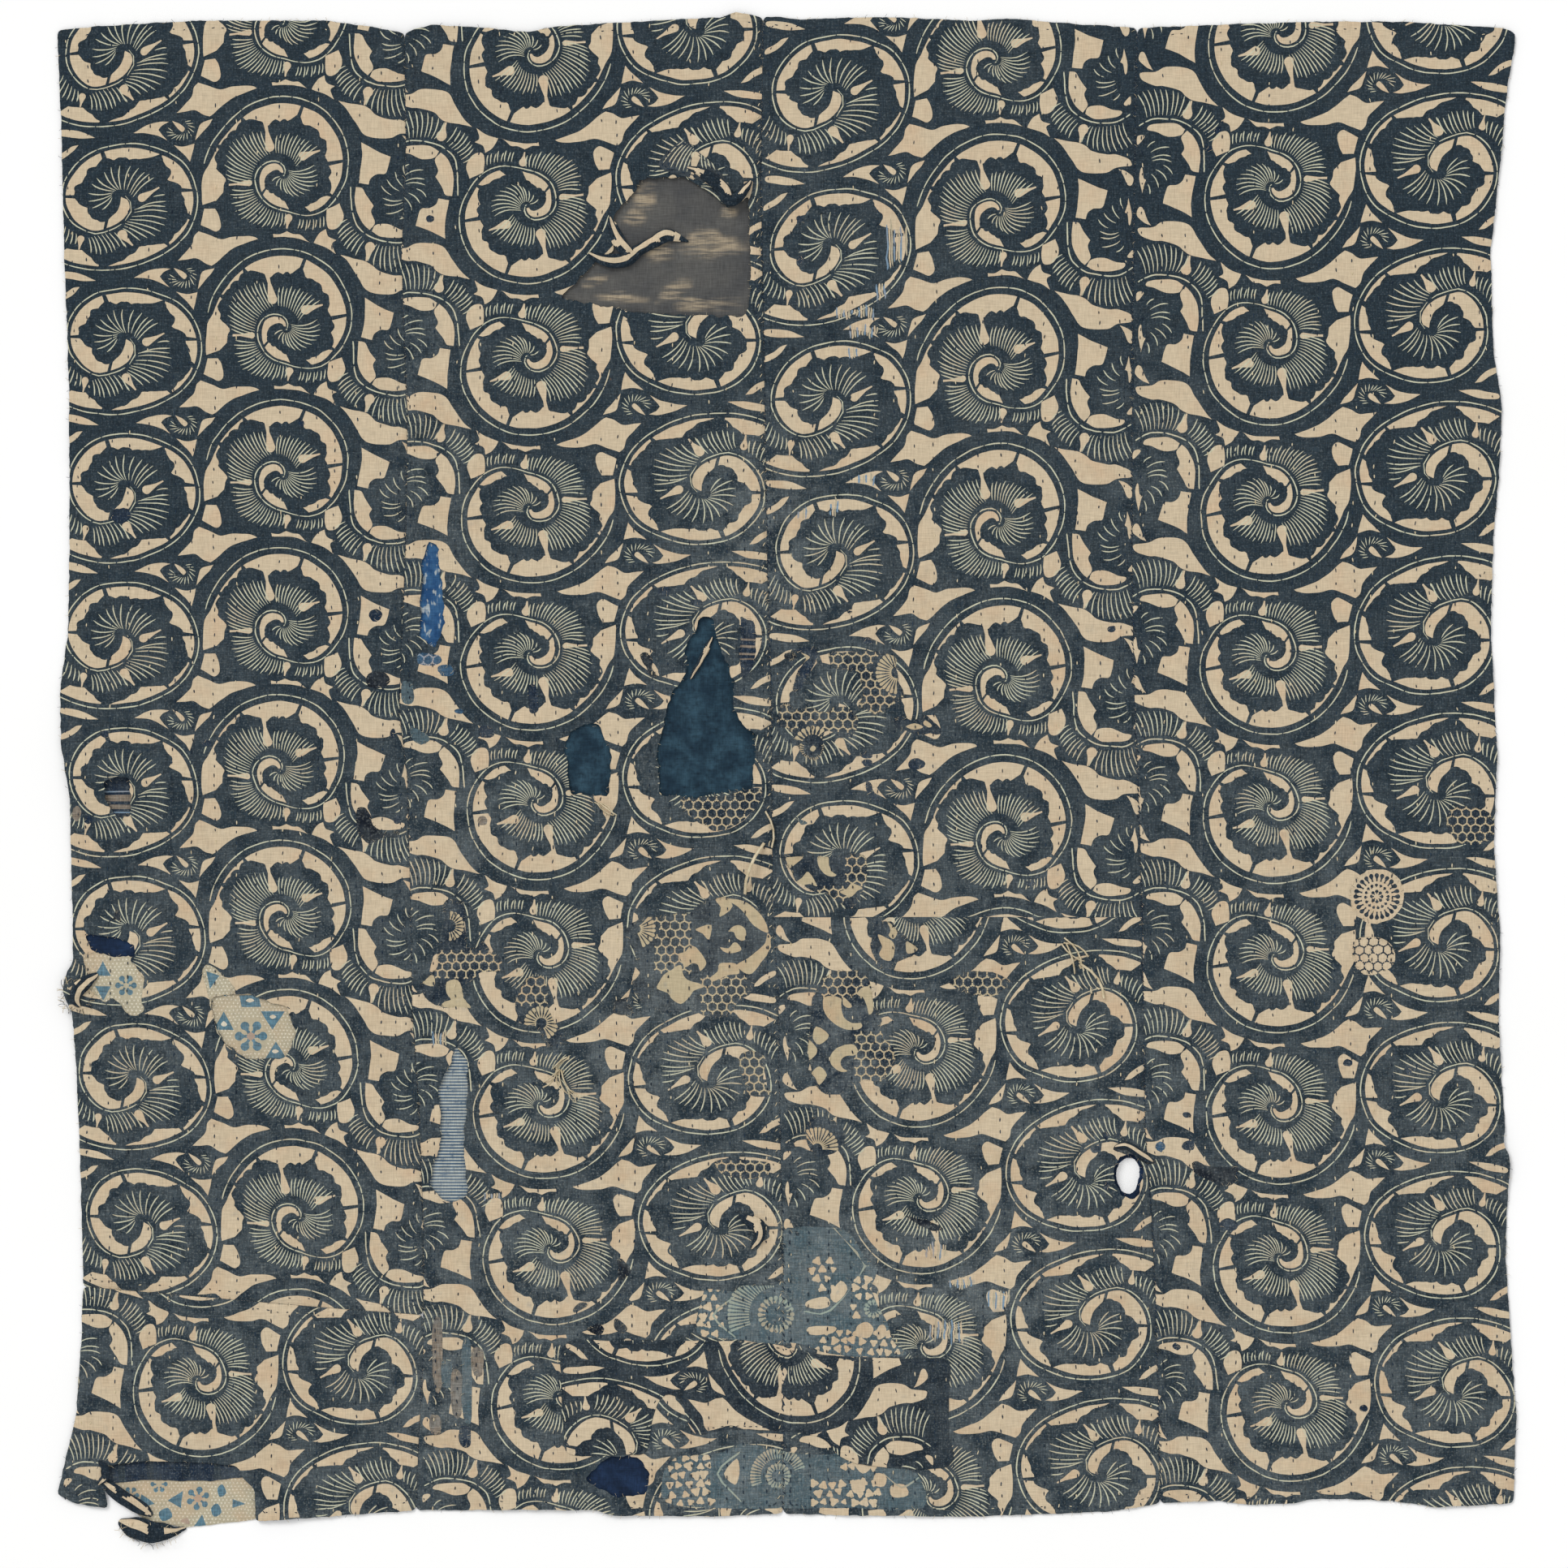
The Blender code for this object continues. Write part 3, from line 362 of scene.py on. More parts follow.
# Dyes and fibres, as sRGB
DYES = {
    "indigo": "#243038",
    "deep": "#1b262f",
    "undyed": "#cab99d",
    "pale": "#b9ab8c",
    "fine_line": "#c3c3aa",
    "navy": "#172638",
    "kikko_navy": "#1b2733",
    "teal": "#4b5d64",
    "teal_line": "#95a195",
    "brown": "#86796a",
    "sky": "#7791a6",
    "rust": "#b08a62",
    "smoky": "#3a4146",
    # shadow is no dye: it is painted shadow, near black, for the depth of torn gaps over dark cloth
    "shadow": "#0f151f",
    "hex_cream": "#b3ab93",
    "hex_blue": "#587b8b",
    "hex_white": "#d6cfbc",
    "hex_rose": "#a39184",
    "strong_blue": "#31536f",
}
LIGHT_DYES = ("undyed", "pale", "fine_line", "sky", "teal_line", "hex_cream", "hex_white", "hex_rose", "rust")

# The older cloths behind the worn-through places: their ground, the marks on it, and what fills
# the boxes of a place. The dark gap is no cloth: its ground is painted shadow.
OLD_CLOTHS = {
    "honeycomb": OldCloth("kikko_navy", "pale", "corners"),
    "smoky_honeycomb": OldCloth("smoky", "pale", "corners"),
    "teal": OldCloth("teal", "teal_line", "sprigs"),
    "light": OldCloth("hex_cream", "hex_blue", "dots"),
    "undyed": OldCloth("undyed", "kikko_navy", "corners"),
    "striped_darn": OldCloth("sky", "indigo", "corners"),
    "brown": OldCloth("brown", "rust", "corners"),
    "blue": OldCloth("strong_blue", "sky", "corners"),
    "navy": OldCloth("navy", "brown", "corners"),
    # Painted shadow in torn gaps, not an older cloth
    "dark_gap": OldCloth("shadow", "navy", "corners"),
}


def linear(code):
    """A linear colour from an sRGB hex value."""
    channels = [int(code[i:i + 2], 16) / 255 for i in (1, 3, 5)]
    return tuple(c / 12.92 if c <= 0.04045 else ((c + 0.055) / 1.055) ** 2.4 for c in channels)


# Curves and shapes of the stencil


def along_rows(rows, at):
    """The value at one place on a smooth line through rows of (place, value)."""
    if at <= rows[0][0]:
        return rows[0][1]
    for k, ((a0, r0), (a1, r1)) in enumerate(zip(rows, rows[1:])):
        if at <= a1:
            before = rows[k - 1] if k else rows[0]
            after = rows[k + 2] if k + 2 < len(rows) else rows[-1]
            s0 = (r1 - before[1]) / (a1 - before[0])
            s1 = (after[1] - r0) / (after[0] - a0)
            width = a1 - a0
            t = (at - a0) / width
            return (
                (2 * t**3 - 3 * t**2 + 1) * r0 + (t**3 - 2 * t**2 + t) * s0 * width
                + (3 * t**2 - 2 * t**3) * r1 + (t**3 - t**2) * s1 * width
            )
    return rows[-1][1]


def polar(eye, angle, radius):
    turned = math.radians(HALF_TURN - angle)
    return (eye[0] + math.cos(turned) * radius, eye[1] + math.sin(turned) * radius)


def smooth_ring(points, steps=4):
    """A closed smooth outline through the points; a point with a third value is a sharp corner."""
    found = []
    count = len(points)
    for i, p1 in enumerate(points):
        p0, p2, p3 = points[i - 1], points[(i + 1) % count], points[(i + 2) % count]
        chord = (p2[0] - p1[0], p2[1] - p1[1])
        m1 = chord if len(p1) > 2 else ((p2[0] - p0[0]) / 2, (p2[1] - p0[1]) / 2)
        m2 = chord if len(p2) > 2 else ((p3[0] - p1[0]) / 2, (p3[1] - p1[1]) / 2)
        for step in range(steps):
            t = step / steps
            found.append(tuple(
                (2 * t**3 - 3 * t**2 + 1) * p1[k] + (t**3 - 2 * t**2 + t) * m1[k]
                + (3 * t**2 - 2 * t**3) * p2[k] + (t**3 - t**2) * m2[k] for k in (0, 1)
            ))
    return found


def stroke_shape(stroke, width, bend, steps=5):
    """A thin stroke that swells from its root, bowed to one side by a share of its length."""
    dx, dy = stroke.x1 - stroke.x0, stroke.y1 - stroke.y0
    length = math.hypot(dx, dy)
    nx, ny = -dy / length, dx / length
    left, right = [], []
    for step in range(steps + 1):
        t = step / steps
        bow = 4 * t * (1 - t) * bend * length
        half = width / 2 * (0.3 if step in (0, steps) else 0.62 + 0.5 * t)
        x, y = stroke.x0 + dx * t + nx * bow, stroke.y0 + dy * t + ny * bow
        left.append((x + nx * half, y + ny * half))
        right.append((x - nx * half, y - ny * half))
    return left + right[::-1]


def drop_shape(drop):
    """A teardrop: a round head drawn out to its tip."""
    dx, dy = drop.tip_x - drop.x, drop.tip_y - drop.y
    base = math.atan2(dy, dx)
    nx, ny = -math.sin(base), math.cos(base)
    tip = max(drop.mouth, drop.radius * 0.16)
    ring = []
    for step in range(9):
        angle = base + math.radians(62 + 236 * step / 8)
        ring.append((drop.x + math.cos(angle) * drop.radius, drop.y + math.sin(angle) * drop.radius))
    neck = [(0.3, 0.66), (0.62, 0.3)]
    for along, half in neck:
        ring.append((drop.x + dx * along - nx * drop.radius * half,
                     drop.y + dy * along - ny * drop.radius * half))
    ring.append((drop.tip_x - nx * tip, drop.tip_y - ny * tip))
    ring.append((drop.tip_x + nx * tip, drop.tip_y + ny * tip))
    for along, half in neck[::-1]:
        ring.append((drop.x + dx * along + nx * drop.radius * half,
                     drop.y + dy * along + ny * drop.radius * half))
    return ring


def leaf_edge(scroll, angle):
    """The leaf's scalloped edge: its own outline, swollen between one notch and the next."""
    base = along_rows(scroll.leaf, angle)
    for low, high in zip(scroll.lobes, scroll.lobes[1:]):
        if low <= angle <= high:
            swell = math.sin(math.pi * (angle - low) / (high - low)) ** 0.6
            return base + scroll.scallop * (swell - 0.55)
    return base


def ring_inside(scroll, angle):
    """The inner edge of the dyed ring that the spiral's next turn makes outside the leaf."""
    return along_rows(scroll.line, angle + scroll.turn) - along_rows(scroll.gap, angle)


def crescent_shape(scroll, row, step=3.0):
    """Undyed cloth between the leaf and the ring round it."""
    count = max(6, int((row.outer_end - row.outer_start) / step))
    outer = []
    for k in range(count + 1):
        angle = row.outer_start + (row.outer_end - row.outer_start) * k / count
        outer.append(polar(scroll.eye, angle, ring_inside(scroll, angle)))
    count = max(8, int((row.inner_end - row.inner_start) / (step * 0.8)))
    inner = []
    for k in range(count + 1):
        angle = row.inner_end + (row.inner_start - row.inner_end) * k / count
        radius = min(leaf_edge(scroll, angle), ring_inside(scroll, angle) - 1.5)
        inner.append(polar(scroll.eye, angle, radius))
    return outer + inner


def fan_shapes(scroll, fans, width):
    shapes = []
    for fan in fans:
        for k in range(fan.count):
            t = k / (fan.count - 1)
            out = fan.start + (fan.end - fan.start) * t
            start = out - (fan.swirl_start + (fan.swirl_end - fan.swirl_start) * t)
            reach = fan.reach_start + (fan.reach_end - fan.reach_start) * t
            reach += 1.2 * math.sin(k * 2.7)
            root = fan.root_start + (fan.root_end - fan.root_start) * t
            x0, y0 = polar(scroll.eye, start, root)
            x1, y1 = polar(scroll.eye, out, reach)
            shapes.append(stroke_shape(Stroke(x0, y0, x1, y1), width, 0.05))
    return shapes


def spiral_dashes(scroll, start, end, width=1.15, long=22.0, gap=1.0):
    """The spiral's fine line, broken into dashes by the stencil's ties."""
    shapes = []
    angle, index = start, 0
    while angle < end:
        radius = along_rows(scroll.line, angle)
        run = long * (0.7 + 0.5 * ((index * 0.618) % 1.0)) * min(1.0, radius / 45 + 0.35)
        stop = min(end, angle + math.degrees(run / radius))
        count = max(3, int(run / 4))
        outer, inner = [], []
        for k in range(count + 1):
            at = angle + (stop - angle) * k / count
            half = width / 2 * (0.6 if k in (0, count) else 1)
            outer.append(polar(scroll.eye, at, along_rows(scroll.line, at) + half))
            inner.append(polar(scroll.eye, at, along_rows(scroll.line, at) - half))
        shapes.append(outer + inner[::-1])
        angle = stop + math.degrees(gap / radius)
        index += 1
    return shapes


def smooth_path(points, steps=6):
    """An open smooth path through the points."""
    count = len(points)
    path = []
    for i in range(count - 1):
        p0, p1, p2 = points[max(0, i - 1)], points[i], points[i + 1]
        p3 = points[min(count - 1, i + 2)]
        for step in range(steps):
            t = step / steps
            path.append(tuple(
                0.5 * (2 * p1[k] + (p2[k] - p0[k]) * t
                       + (2 * p0[k] - 5 * p1[k] + 4 * p2[k] - p3[k]) * t**2
                       + (3 * p1[k] - p0[k] - 3 * p2[k] + p3[k]) * t**3)
                for k in range(len(p1))
            ))
    return path + [tuple(points[-1])]


def band_shape(path, width, ends=0.5):
    """A band of one width along a path, narrower at its two ends."""
    left, right = [], []
    last = len(path) - 1
    for i, here in enumerate(path):
        after, before = path[min(i + 1, last)], path[max(i - 1, 0)]
        dx, dy = after[0] - before[0], after[1] - before[1]
        length = math.hypot(dx, dy) or 1.0
        half = width / 2 * (ends if i in (0, last) else 1)
        left.append((here[0] - dy / length * half, here[1] + dx / length * half))
        right.append((here[0] + dy / length * half, here[1] - dx / length * half))
    return left + right[::-1]


def dashed_band(points, width, long, gap):
    """A band cut into dashes of about one length."""
    path = smooth_path(points)
    shapes, dash, run, skip = [], [path[0]], 0.0, 0.0
    for before, here in zip(path, path[1:]):
        step = math.dist(before, here)
        if skip > 0:
            skip -= step
            dash, run = [here], 0.0
            continue
        run += step
        dash.append(here)
        if run > long:
            shapes.append(band_shape(dash, width))
            dash, run, skip = [], 0.0, gap
    if len(dash) > 2:
        shapes.append(band_shape(dash, width))
    return shapes


def floret_shapes():
    shapes = []
    for angle, far, near in FLORET_STROKES:
        outer, inner = math.radians(angle), math.radians(angle + 22)
        stroke = Stroke(
            FLORET_MIDDLE[0] + math.cos(inner) * near, FLORET_MIDDLE[1] + math.sin(inner) * near,
            FLORET_MIDDLE[0] + math.cos(outer) * far, FLORET_MIDDLE[1] + math.sin(outer) * far,
        )
        shapes.append(stroke_shape(stroke, 1.0, 0.0, steps=2))
    return shapes


def small_scroll_shapes():
    eye = SMALL_SCROLL.eye
    shapes = [crescent_shape(SMALL_SCROLL, row) for row in SMALL_SCROLL.crescents]
    shapes += [
        drop_shape(Drop(d.x + eye[0], d.y + eye[1], d.radius, d.tip_x + eye[0], d.tip_y + eye[1], 0))
        for d in SMALL_DROPS
    ]
    for k, (x, y) in enumerate(SMALL_HEART):
        angle = HALF_TURN - math.degrees(math.atan2(y, x))
        root = polar(eye, angle + (24 if k < 11 else 34), 5.5 + max(0, k - 8) * 1.6)
        stroke = Stroke(root[0], root[1], x + eye[0], y + eye[1])
        shapes.append(stroke_shape(stroke, 1.15, 0.07))
    for s in SMALL_STROKES:
        stroke = Stroke(s.x0 + eye[0], s.y0 + eye[1], s.x1 + eye[0], s.y1 + eye[1])
        shapes.append(stroke_shape(stroke, 1.15, 0.05))
    for start, end in SMALL_SCROLL.dashes:
        shapes += spiral_dashes(SMALL_SCROLL, start, end)
    return shapes


def karakusa_repeat():
    """Every hole of the stencil in one repeat, in the stencil's own frame."""
    shapes = [crescent_shape(BIG_SCROLL, row) for row in BIG_SCROLL.crescents]
    shapes += [drop_shape(drop) for drop in BIG_DROPS]
    shapes += fan_shapes(BIG_SCROLL, BIG_FANS, 1.1)
    shapes += [stroke_shape(stroke, 1.05, -0.12) for stroke in BIG_HEART]
    for start, end in BIG_SCROLL.dashes:
        shapes += spiral_dashes(BIG_SCROLL, start, end)
    shapes += small_scroll_shapes()
    shapes += [smooth_ring(points) for points in GROUND]
    shapes += floret_shapes()
    shapes += dashed_band(SEAM_LEAF_LINE, 1.15, 20.0, 1.0)
    shapes += [stroke_shape(stroke, 1.15, -0.06) for stroke in SEAM_LEAF_FAN]
    shapes += [stroke_shape(stroke, 1.1, 0.1) for stroke in SEAM_LEAF_HEART]
    return [np.array(shape) for shape in shapes]


def area_of(ring):
    x, y = ring[:, 0], ring[:, 1]
    return float(np.sum(x * np.roll(y, -1) - np.roll(x, -1) * y) / 2)


class Noise:
    """Smooth random heights from -1 to 1 with bumps about `size` millimetres apart."""

    def __init__(self, size, seed):
        self.size = size
        self.grid = np.random.default_rng(seed).uniform(-1, 1, (128, 128))

    def __call__(self, x, y):
        u, v = np.asarray(x) / self.size + 40.0, np.asarray(y) / self.size + 40.0
        i, j = np.floor(u).astype(int), np.floor(v).astype(int)
        s, t = u - i, v - j
        s, t = s * s * (3 - 2 * s), t * t * (3 - 2 * t)
        g = self.grid
        i0, i1, j0, j1 = i % 128, (i + 1) % 128, j % 128, (j + 1) % 128
        low = g[i0, j0] * (1 - s) + g[i1, j0] * s
        high = g[i0, j1] * (1 - s) + g[i1, j1] * s
        return low * (1 - t) + high * t


BROAD = Noise(78.0, 11)
MIDDLING = Noise(31.0, 12)
FINE = Noise(12.0, 13)
RAGGED = Noise(7.0, 14)
FRAYED = Noise(2.6, 15)
DRIFT = Noise(22.0, 16)

KARAKUSA = karakusa_repeat()


def extended(places, values, at):
    """Straight-line interpolation that goes on past both ends."""
    found = np.interp(at, places, values)
    first = (values[1] - values[0]) * (at - places[0])
    last = (values[-1] - values[-2]) * (at - places[-1])
    return found + np.where(at < places[0], first, 0.0) + np.where(at > places[-1], last, 0.0)


def printed(pattern, repeat, ring):
    """One hole of the stencil, moved to where repeat number `repeat` was printed on the cloth.

    The two columns of scrolls give the cloth's drift from the stencil's own sizes. Past the big
    scroll, towards the seam, only half of that drift goes on.
    """
    way_x, way_y = pattern.way
    across = ring[:, 0] / SMALL_EYE[0]
    row = repeat - way_y * (ring[:, 1] - SMALL_EYE[1] * across) / REPEAT
    places = np.arange(len(pattern.rows))
    columns = np.array(pattern.rows, float)
    big_x, big_y, small_x, small_y = (extended(places, columns[:, k], row) for k in range(4))
    drift_x = small_x - big_x - way_x * SMALL_EYE[0]
    drift_y = small_y - big_y - way_y * SMALL_EYE[1]
    share = np.where(across < 0, across * 0.5, across)
    x = big_x + way_x * SMALL_EYE[0] * across + drift_x * share
    y = big_y + way_y * SMALL_EYE[1] * across + drift_y * share
    wobble_x = 0.9 * BROAD(x, y) + 0.45 * FINE(x, y) + 0.16 * FRAYED(x, y)
    wobble_y = 0.9 * BROAD(y, x) + 0.45 * FINE(y, x) + 0.16 * FRAYED(y, x)
    return np.stack([x + wobble_x, y + wobble_y], 1)


def is_fine(ring):
    """Whether a hole is a fine line, into which the dye crept from both sides."""
    around = np.linalg.norm(ring - np.roll(ring, 1, 0), axis=1).sum()
    return abs(area_of(ring)) / around < 0.6


def print_shapes(pattern, box):
    """All the undyed shapes of one print that touch a box of the cloth."""
    shapes = []
    for repeat in range(-1, len(pattern.rows) + 1):
        for hole in KARAKUSA:
            ring = printed(pattern, repeat, hole)
            low, high = ring.min(0), ring.max(0)
            if high[0] < box[0] or low[0] > box[2] or high[1] < box[1] or low[1] > box[3]:
                continue
            if high[1] > pattern.low and low[1] < pattern.high:
                ring[:, 1] = np.clip(ring[:, 1], pattern.low + 0.2, pattern.high - 0.2)
                shapes.append(Shape(ring, "fine_line" if is_fine(hole) else "undyed", None))
    return shapes


# Places where the face cloth is worn through to an older cloth. Each has that cloth, its outline,
# the boxes (x0, y0, x1, y1) that the honeycomb fills, its daisies, and its other marks by dye.
WORN_THROUGH = [
    Worn("honeycomb",
         [(40, 118), (50, 119), (80, 119), (95, 117), (101, 112), (102, 100), (103, 92), (107, 84),
          (108, 78), (100, 72), (92, 66), (86, 62), (82, 62), (78, 64), (70, 68), (66, 68), (68, 74),
          (70, 80), (70, 86), (68, 92), (66, 98), (60, 102), (50, 103), (44, 104), (40, 110)],
         [(38, 60, 110, 121)], [Daisy(102, 100, 5.5, 20, 95, 265, 15)], {}),
    Worn("navy",
         [(7, 120.7), (18.3, 124), (26.3, 122.7), (28.3, 118), (27, 110), (22.3, 102), (18.3, 95.4),
          (15, 88.8), (11.7, 84.8), (7.7, 82.1), (4.4, 84.8), (6.4, 91.4), (9, 98), (12.4, 104.7),
          (18.3, 112.7), (13, 119.3), (10.4, 119.3)],
         [], [], {"pale": [[(9.7, 119.3), (21, 114.7), (17, 110), (11, 104.7), (7, 114)]]}),
    Worn("honeycomb",
         [(-8, 60), (-5, 68), (-1, 71), (4, 69), (8, 66), (14, 66), (20, 68), (27, 67), (30, 64),
          (38, 64), (44, 68), (52, 69), (58, 66), (62, 62), (66, 56), (64, 48), (60, 42), (54, 40),
          (48, 40), (40, 46), (34, 44), (33, 38), (34, 30), (30, 22), (24, 19), (17, 22), (12, 28),
          (10, 34), (6, 42), (2, 47), (-4, 50), (-8, 54)],
         [(-10, 44, 68, 72)],
         [Daisy(24, 33, 10, 18, 25, 155, 9), Daisy(24, 29.6, 8.4, 12.5, 160, 380, 20)],
         {"pale": [[(21.5, 29), (24, 32.5), (26.8, 30), (24.5, 27)]]}),
    Worn("honeycomb",
         [(100.7, 58.2), (107.4, 59.5), (116.7, 55.5), (127.3, 60.9), (133.3, 55.5), (141.3, 48.9),
          (141.9, 43.6), (132.6, 43.6), (122, 42.2), (108.7, 46.2), (100.7, 48.9)],
         [], [], {"pale": [[(110, 50), (118, 53), (126, 50), (118, 47)],
                           [(128, 56), (134, 51), (131, 49), (126, 53)]]}),
    Worn("honeycomb",
         [(-5, -70), (5, -69), (14, -69), (30, -69.5), (45, -70), (55, -68), (66, -68), (72, -70),
          (74, -76), (74, -86), (73, -94), (70, -102), (66, -110), (62, -116), (55, -118), (50, -113),
          (44, -110), (38, -104), (30, -104), (24, -102), (16, -98), (10, -94), (6, -88), (2, -82),
          (-2, -76)],
         [(52, -95, 76, -66), (30, -112, 56, -96)], [],
         {"pale": [
             [(29, -70), (38, -70), (39, -78), (42, -84), (46, -87), (42, -88.5), (36, -87),
              (31, -82), (28.5, -76)],
             [(0, -71), (15, -70), (8, -77), (2, -81), (0, -76)],
             [(20, -84), (28, -97), (21, -95.5), (14, -97), (8, -94), (14, -90)],
             [(59, -95), (64, -96), (70, -99), (65, -102), (60, -107), (55, -106), (49, -103),
              (55, -100)]]}),
    Worn("honeycomb",
         [(78, -128), (88, -130), (98, -131), (101, -138), (108, -143), (116, -150), (122, -157),
          (116, -162), (108, -165), (100, -168), (96, -174), (88, -175), (84, -170), (80, -162),
          (78, -154), (78, -146), (80, -138)],
         [], [], {"pale": [
             [(93, -131), (97, -133), (102, -140), (99, -146), (94, -143), (96, -138)],
             [(84, -142), (92, -145), (99, -150), (99, -160), (96, -166), (89, -165), (85, -160),
              (88, -154), (86, -148)],
             [(111, -148), (121, -156), (112, -160), (110, -154)]]}),
    Worn("honeycomb",
         [(38, -180), (45, -176), (55, -175), (66, -176), (72, -180), (78, -188), (79, -198),
          (80, -208), (84, -214), (88, -222), (86, -228), (90, -238), (98, -246), (100, -254),
          (99, -262), (95, -270), (88, -277), (80, -278), (72, -276), (66, -280), (56, -284),
          (50, -290), (36, -290), (28, -284), (24, -276), (22, -266), (20, -256), (19, -246),
          (20, -236), (22, -226), (23, -214), (23, -204), (26, -196), (28, -190), (32, -184)],
         [(32, -200, 78, -176), (64, -280, 100, -232)], [],
         {"pale": [
             [(34, -201), (42, -199), (50, -201), (50, -206), (51, -214), (54, -220), (60, -224),
              (68, -224), (70, -227), (66, -230), (56, -230), (46, -226), (38, -219), (34, -211)],
             [(52, -200), (56, -203), (60, -208), (57, -210), (52, -207)],
             [(54, -244), (62, -244), (66, -250), (62, -254), (56, -254), (51, -257), (50, -262),
              (52, -266), (56, -268), (52, -269), (46, -267), (41, -262), (40, -256), (43, -250),
              (48, -246)],
             [(27, -227), (39, -235), (30, -244), (24, -238)],
             [(20, -240), (26, -245), (28, -250), (24, -256), (20, -258), (18, -250)],
             [(30, -264), (37, -272), (30, -281), (26, -274), (23, -270)],
             [(65, -196), (72, -190), (78, -192), (79, -200), (80, -212), (76, -216), (74, -208),
              (70, -200)]]}),
    Worn("honeycomb",
         [(150, -186), (158, -180), (166, -177), (178, -176), (190, -177), (198, -180), (206, -184),
          (203, -190), (196, -196), (188, -199), (176, -198), (166, -195), (156, -192)],
         [(148, -200, 208, -175)], [], {}),
    Worn("honeycomb",
         [(-314, -110), (-306, -111), (-299, -112), (-297, -122), (-298, -134), (-296, -146),
          (-296, -152), (-290, -156), (-284, -151), (-280, -148), (-276, -154), (-272, -160),
          (-266, -160), (-263, -168), (-266, -176), (-274, -176), (-284, -178), (-292, -186),
          (-298, -188), (-300, -196), (-296, -204), (-292, -210), (-300, -210), (-312, -209),
          (-320, -209), (-328, -206), (-334, -200), (-338, -190), (-336, -186), (-328, -178),
          (-322, -170), (-324, -162), (-320, -154), (-318, -140), (-316, -124), (-318, -116)],
         [(-330, -182, -260, -156)], [Daisy(-312, -134, 6, 14, -85, 80, 11)],
         {"pale": [
             [(-314, -186), (-304, -184), (-299, -194), (-294, -206), (-292, -210), (-318, -209),
              (-316, -204), (-310, -202), (-314, -196)],
             [(-333, -181), (-326, -180), (-326, -190), (-336, -187)]]}),
    Worn("honeycomb",
         [(-238, -182), (-226, -181), (-222, -190), (-220, -200), (-221, -208), (-218, -216),
          (-214, -224), (-208, -232), (-206, -243), (-214, -245), (-222, -246), (-224, -238),
          (-228, -232), (-232, -226), (-240, -226), (-248, -222), (-250, -214), (-250, -204),
          (-248, -196), (-244, -188)],
         [(-252, -208, -212, -180)], [Daisy(-227, -224, 5, 16, -60, 200, 17)], {}),
    Worn("smoky_honeycomb",
         [(-116, -125), (-106, -124), (-98, -120), (-90, -122), (-84, -116), (-78, -112), (-70, -110),
          (-62, -108), (-50, -107), (-38, -110), (-28, -117), (-20, -127), (-15, -139), (-15, -150),
          (-18, -162), (-26, -176), (-30, -188), (-36, -198), (-46, -204), (-50, -214), (-58, -218),
          (-70, -219), (-82, -214), (-92, -212), (-108, -213), (-122, -212), (-132, -206),
          (-140, -196), (-143, -186), (-136, -178), (-138, -168), (-140, -158), (-146, -148),
          (-148, -138), (-140, -130), (-128, -126)],
         [(-122, -180, -86, -124), (-80, -215, -38, -178)],
         [Daisy(-139, -137, 4, 18, -65, 40, 8)],
         {"pale": [
             [(-58, -106), (-50, -116), (-62, -126), (-61, -117), (-66, -110)],
             [(-56, -109), (-40, -111), (-30, -118), (-21, -128), (-17, -140), (-24, -138),
              (-32, -132), (-38, -124), (-46, -116)],
             [(-54, -139), (-48, -134), (-42, -134), (-38, -138), (-38, -146), (-42, -148),
              (-47, -145), (-49, -140)],
             [(-62, -154), (-54, -155), (-50, -150), (-46, -150), (-42, -156), (-48, -159),
              (-56, -159)],
             [(-18, -141), (-14, -146), (-16, -158), (-24, -168), (-32, -178), (-40, -177),
              (-46, -170), (-36, -164), (-26, -156), (-20, -150)],
             [(-62, -169), (-52, -168), (-46, -170), (-44, -178), (-52, -179), (-60, -182),
              (-68, -185), (-71, -182), (-64, -176)],
             [(-84, -137), (-70, -133), (-72, -147), (-78, -141)],
             [(-90, -153), (-84, -154), (-76, -164), (-75, -170), (-80, -176), (-82, -170),
              (-88, -169), (-94, -172), (-98, -165), (-100, -160), (-94, -158)],
             [(-114, -180), (-106, -174), (-98, -170), (-96, -178), (-92, -184), (-82, -187),
              (-76, -190), (-86, -194), (-90, -200), (-98, -206), (-106, -202), (-110, -196),
              (-120, -192), (-118, -186)]]}),
    Worn("smoky_honeycomb",
         [(-42, -252), (-30, -250), (-20, -258), (-22, -275), (-14, -290), (-34, -290), (-40, -276),
          (-44, -262)],
         [(-44, -292, -14, -250)], [], {}),
    Worn("honeycomb",
         [(-97, -15.5), (-72, -14.5), (-52, -12.5), (-31, -7.4), (-23, -9.4), (-25, -19.7), (-35, -32),
          (-52, -44), (-68, -46), (-80, -38), (-95, -28)],
         [(-99, -48, -22, -6)], [], {}),
    Worn("honeycomb",
         [(22, -312), (34, -310), (46, -316), (54, -326), (50, -338), (40, -345), (28, -346),
          (20, -336), (18, -322)],
         [], [Daisy(28, -340, 5, 20, 0, 130, 12)], {}),
    Worn("honeycomb",
         [(-66, -352), (-50, -349), (-30, -351), (-16, -354), (-18, -364), (-34, -368), (-50, -366),
          (-62, -362)],
         [(-68, -370, -14, -348)], [], {}),
    Worn("undyed",
         [(545, -82), (556, -84), (566, -92), (570, -106), (566, -119), (556, -128), (545, -132),
          (533, -129), (523, -120), (520, -106), (524, -93), (533, -85)],
         [], [Daisy(545, -107, 14, 21.5, 0, 345, 24), Daisy(545, -107, 8.6, 11.8, 0, 345, 16),
              Daisy(545, -107, 2.5, 6.2, 0, 315, 8)], {}),
    Worn("undyed",
         [(524, -148), (538, -144), (552, -147), (561, -156), (560, -170), (548, -178), (533, -179),
          (524, -168)],
         [(522, -180, 562, -144)], [], {}),
    Worn("honeycomb",
         [(612, -27), (628, -24), (646, -28), (654, -40), (650, -54), (634, -59), (618, -55),
          (610, -42)],
         [(610, -60, 656, -24)], [], {}),
    Worn("teal",
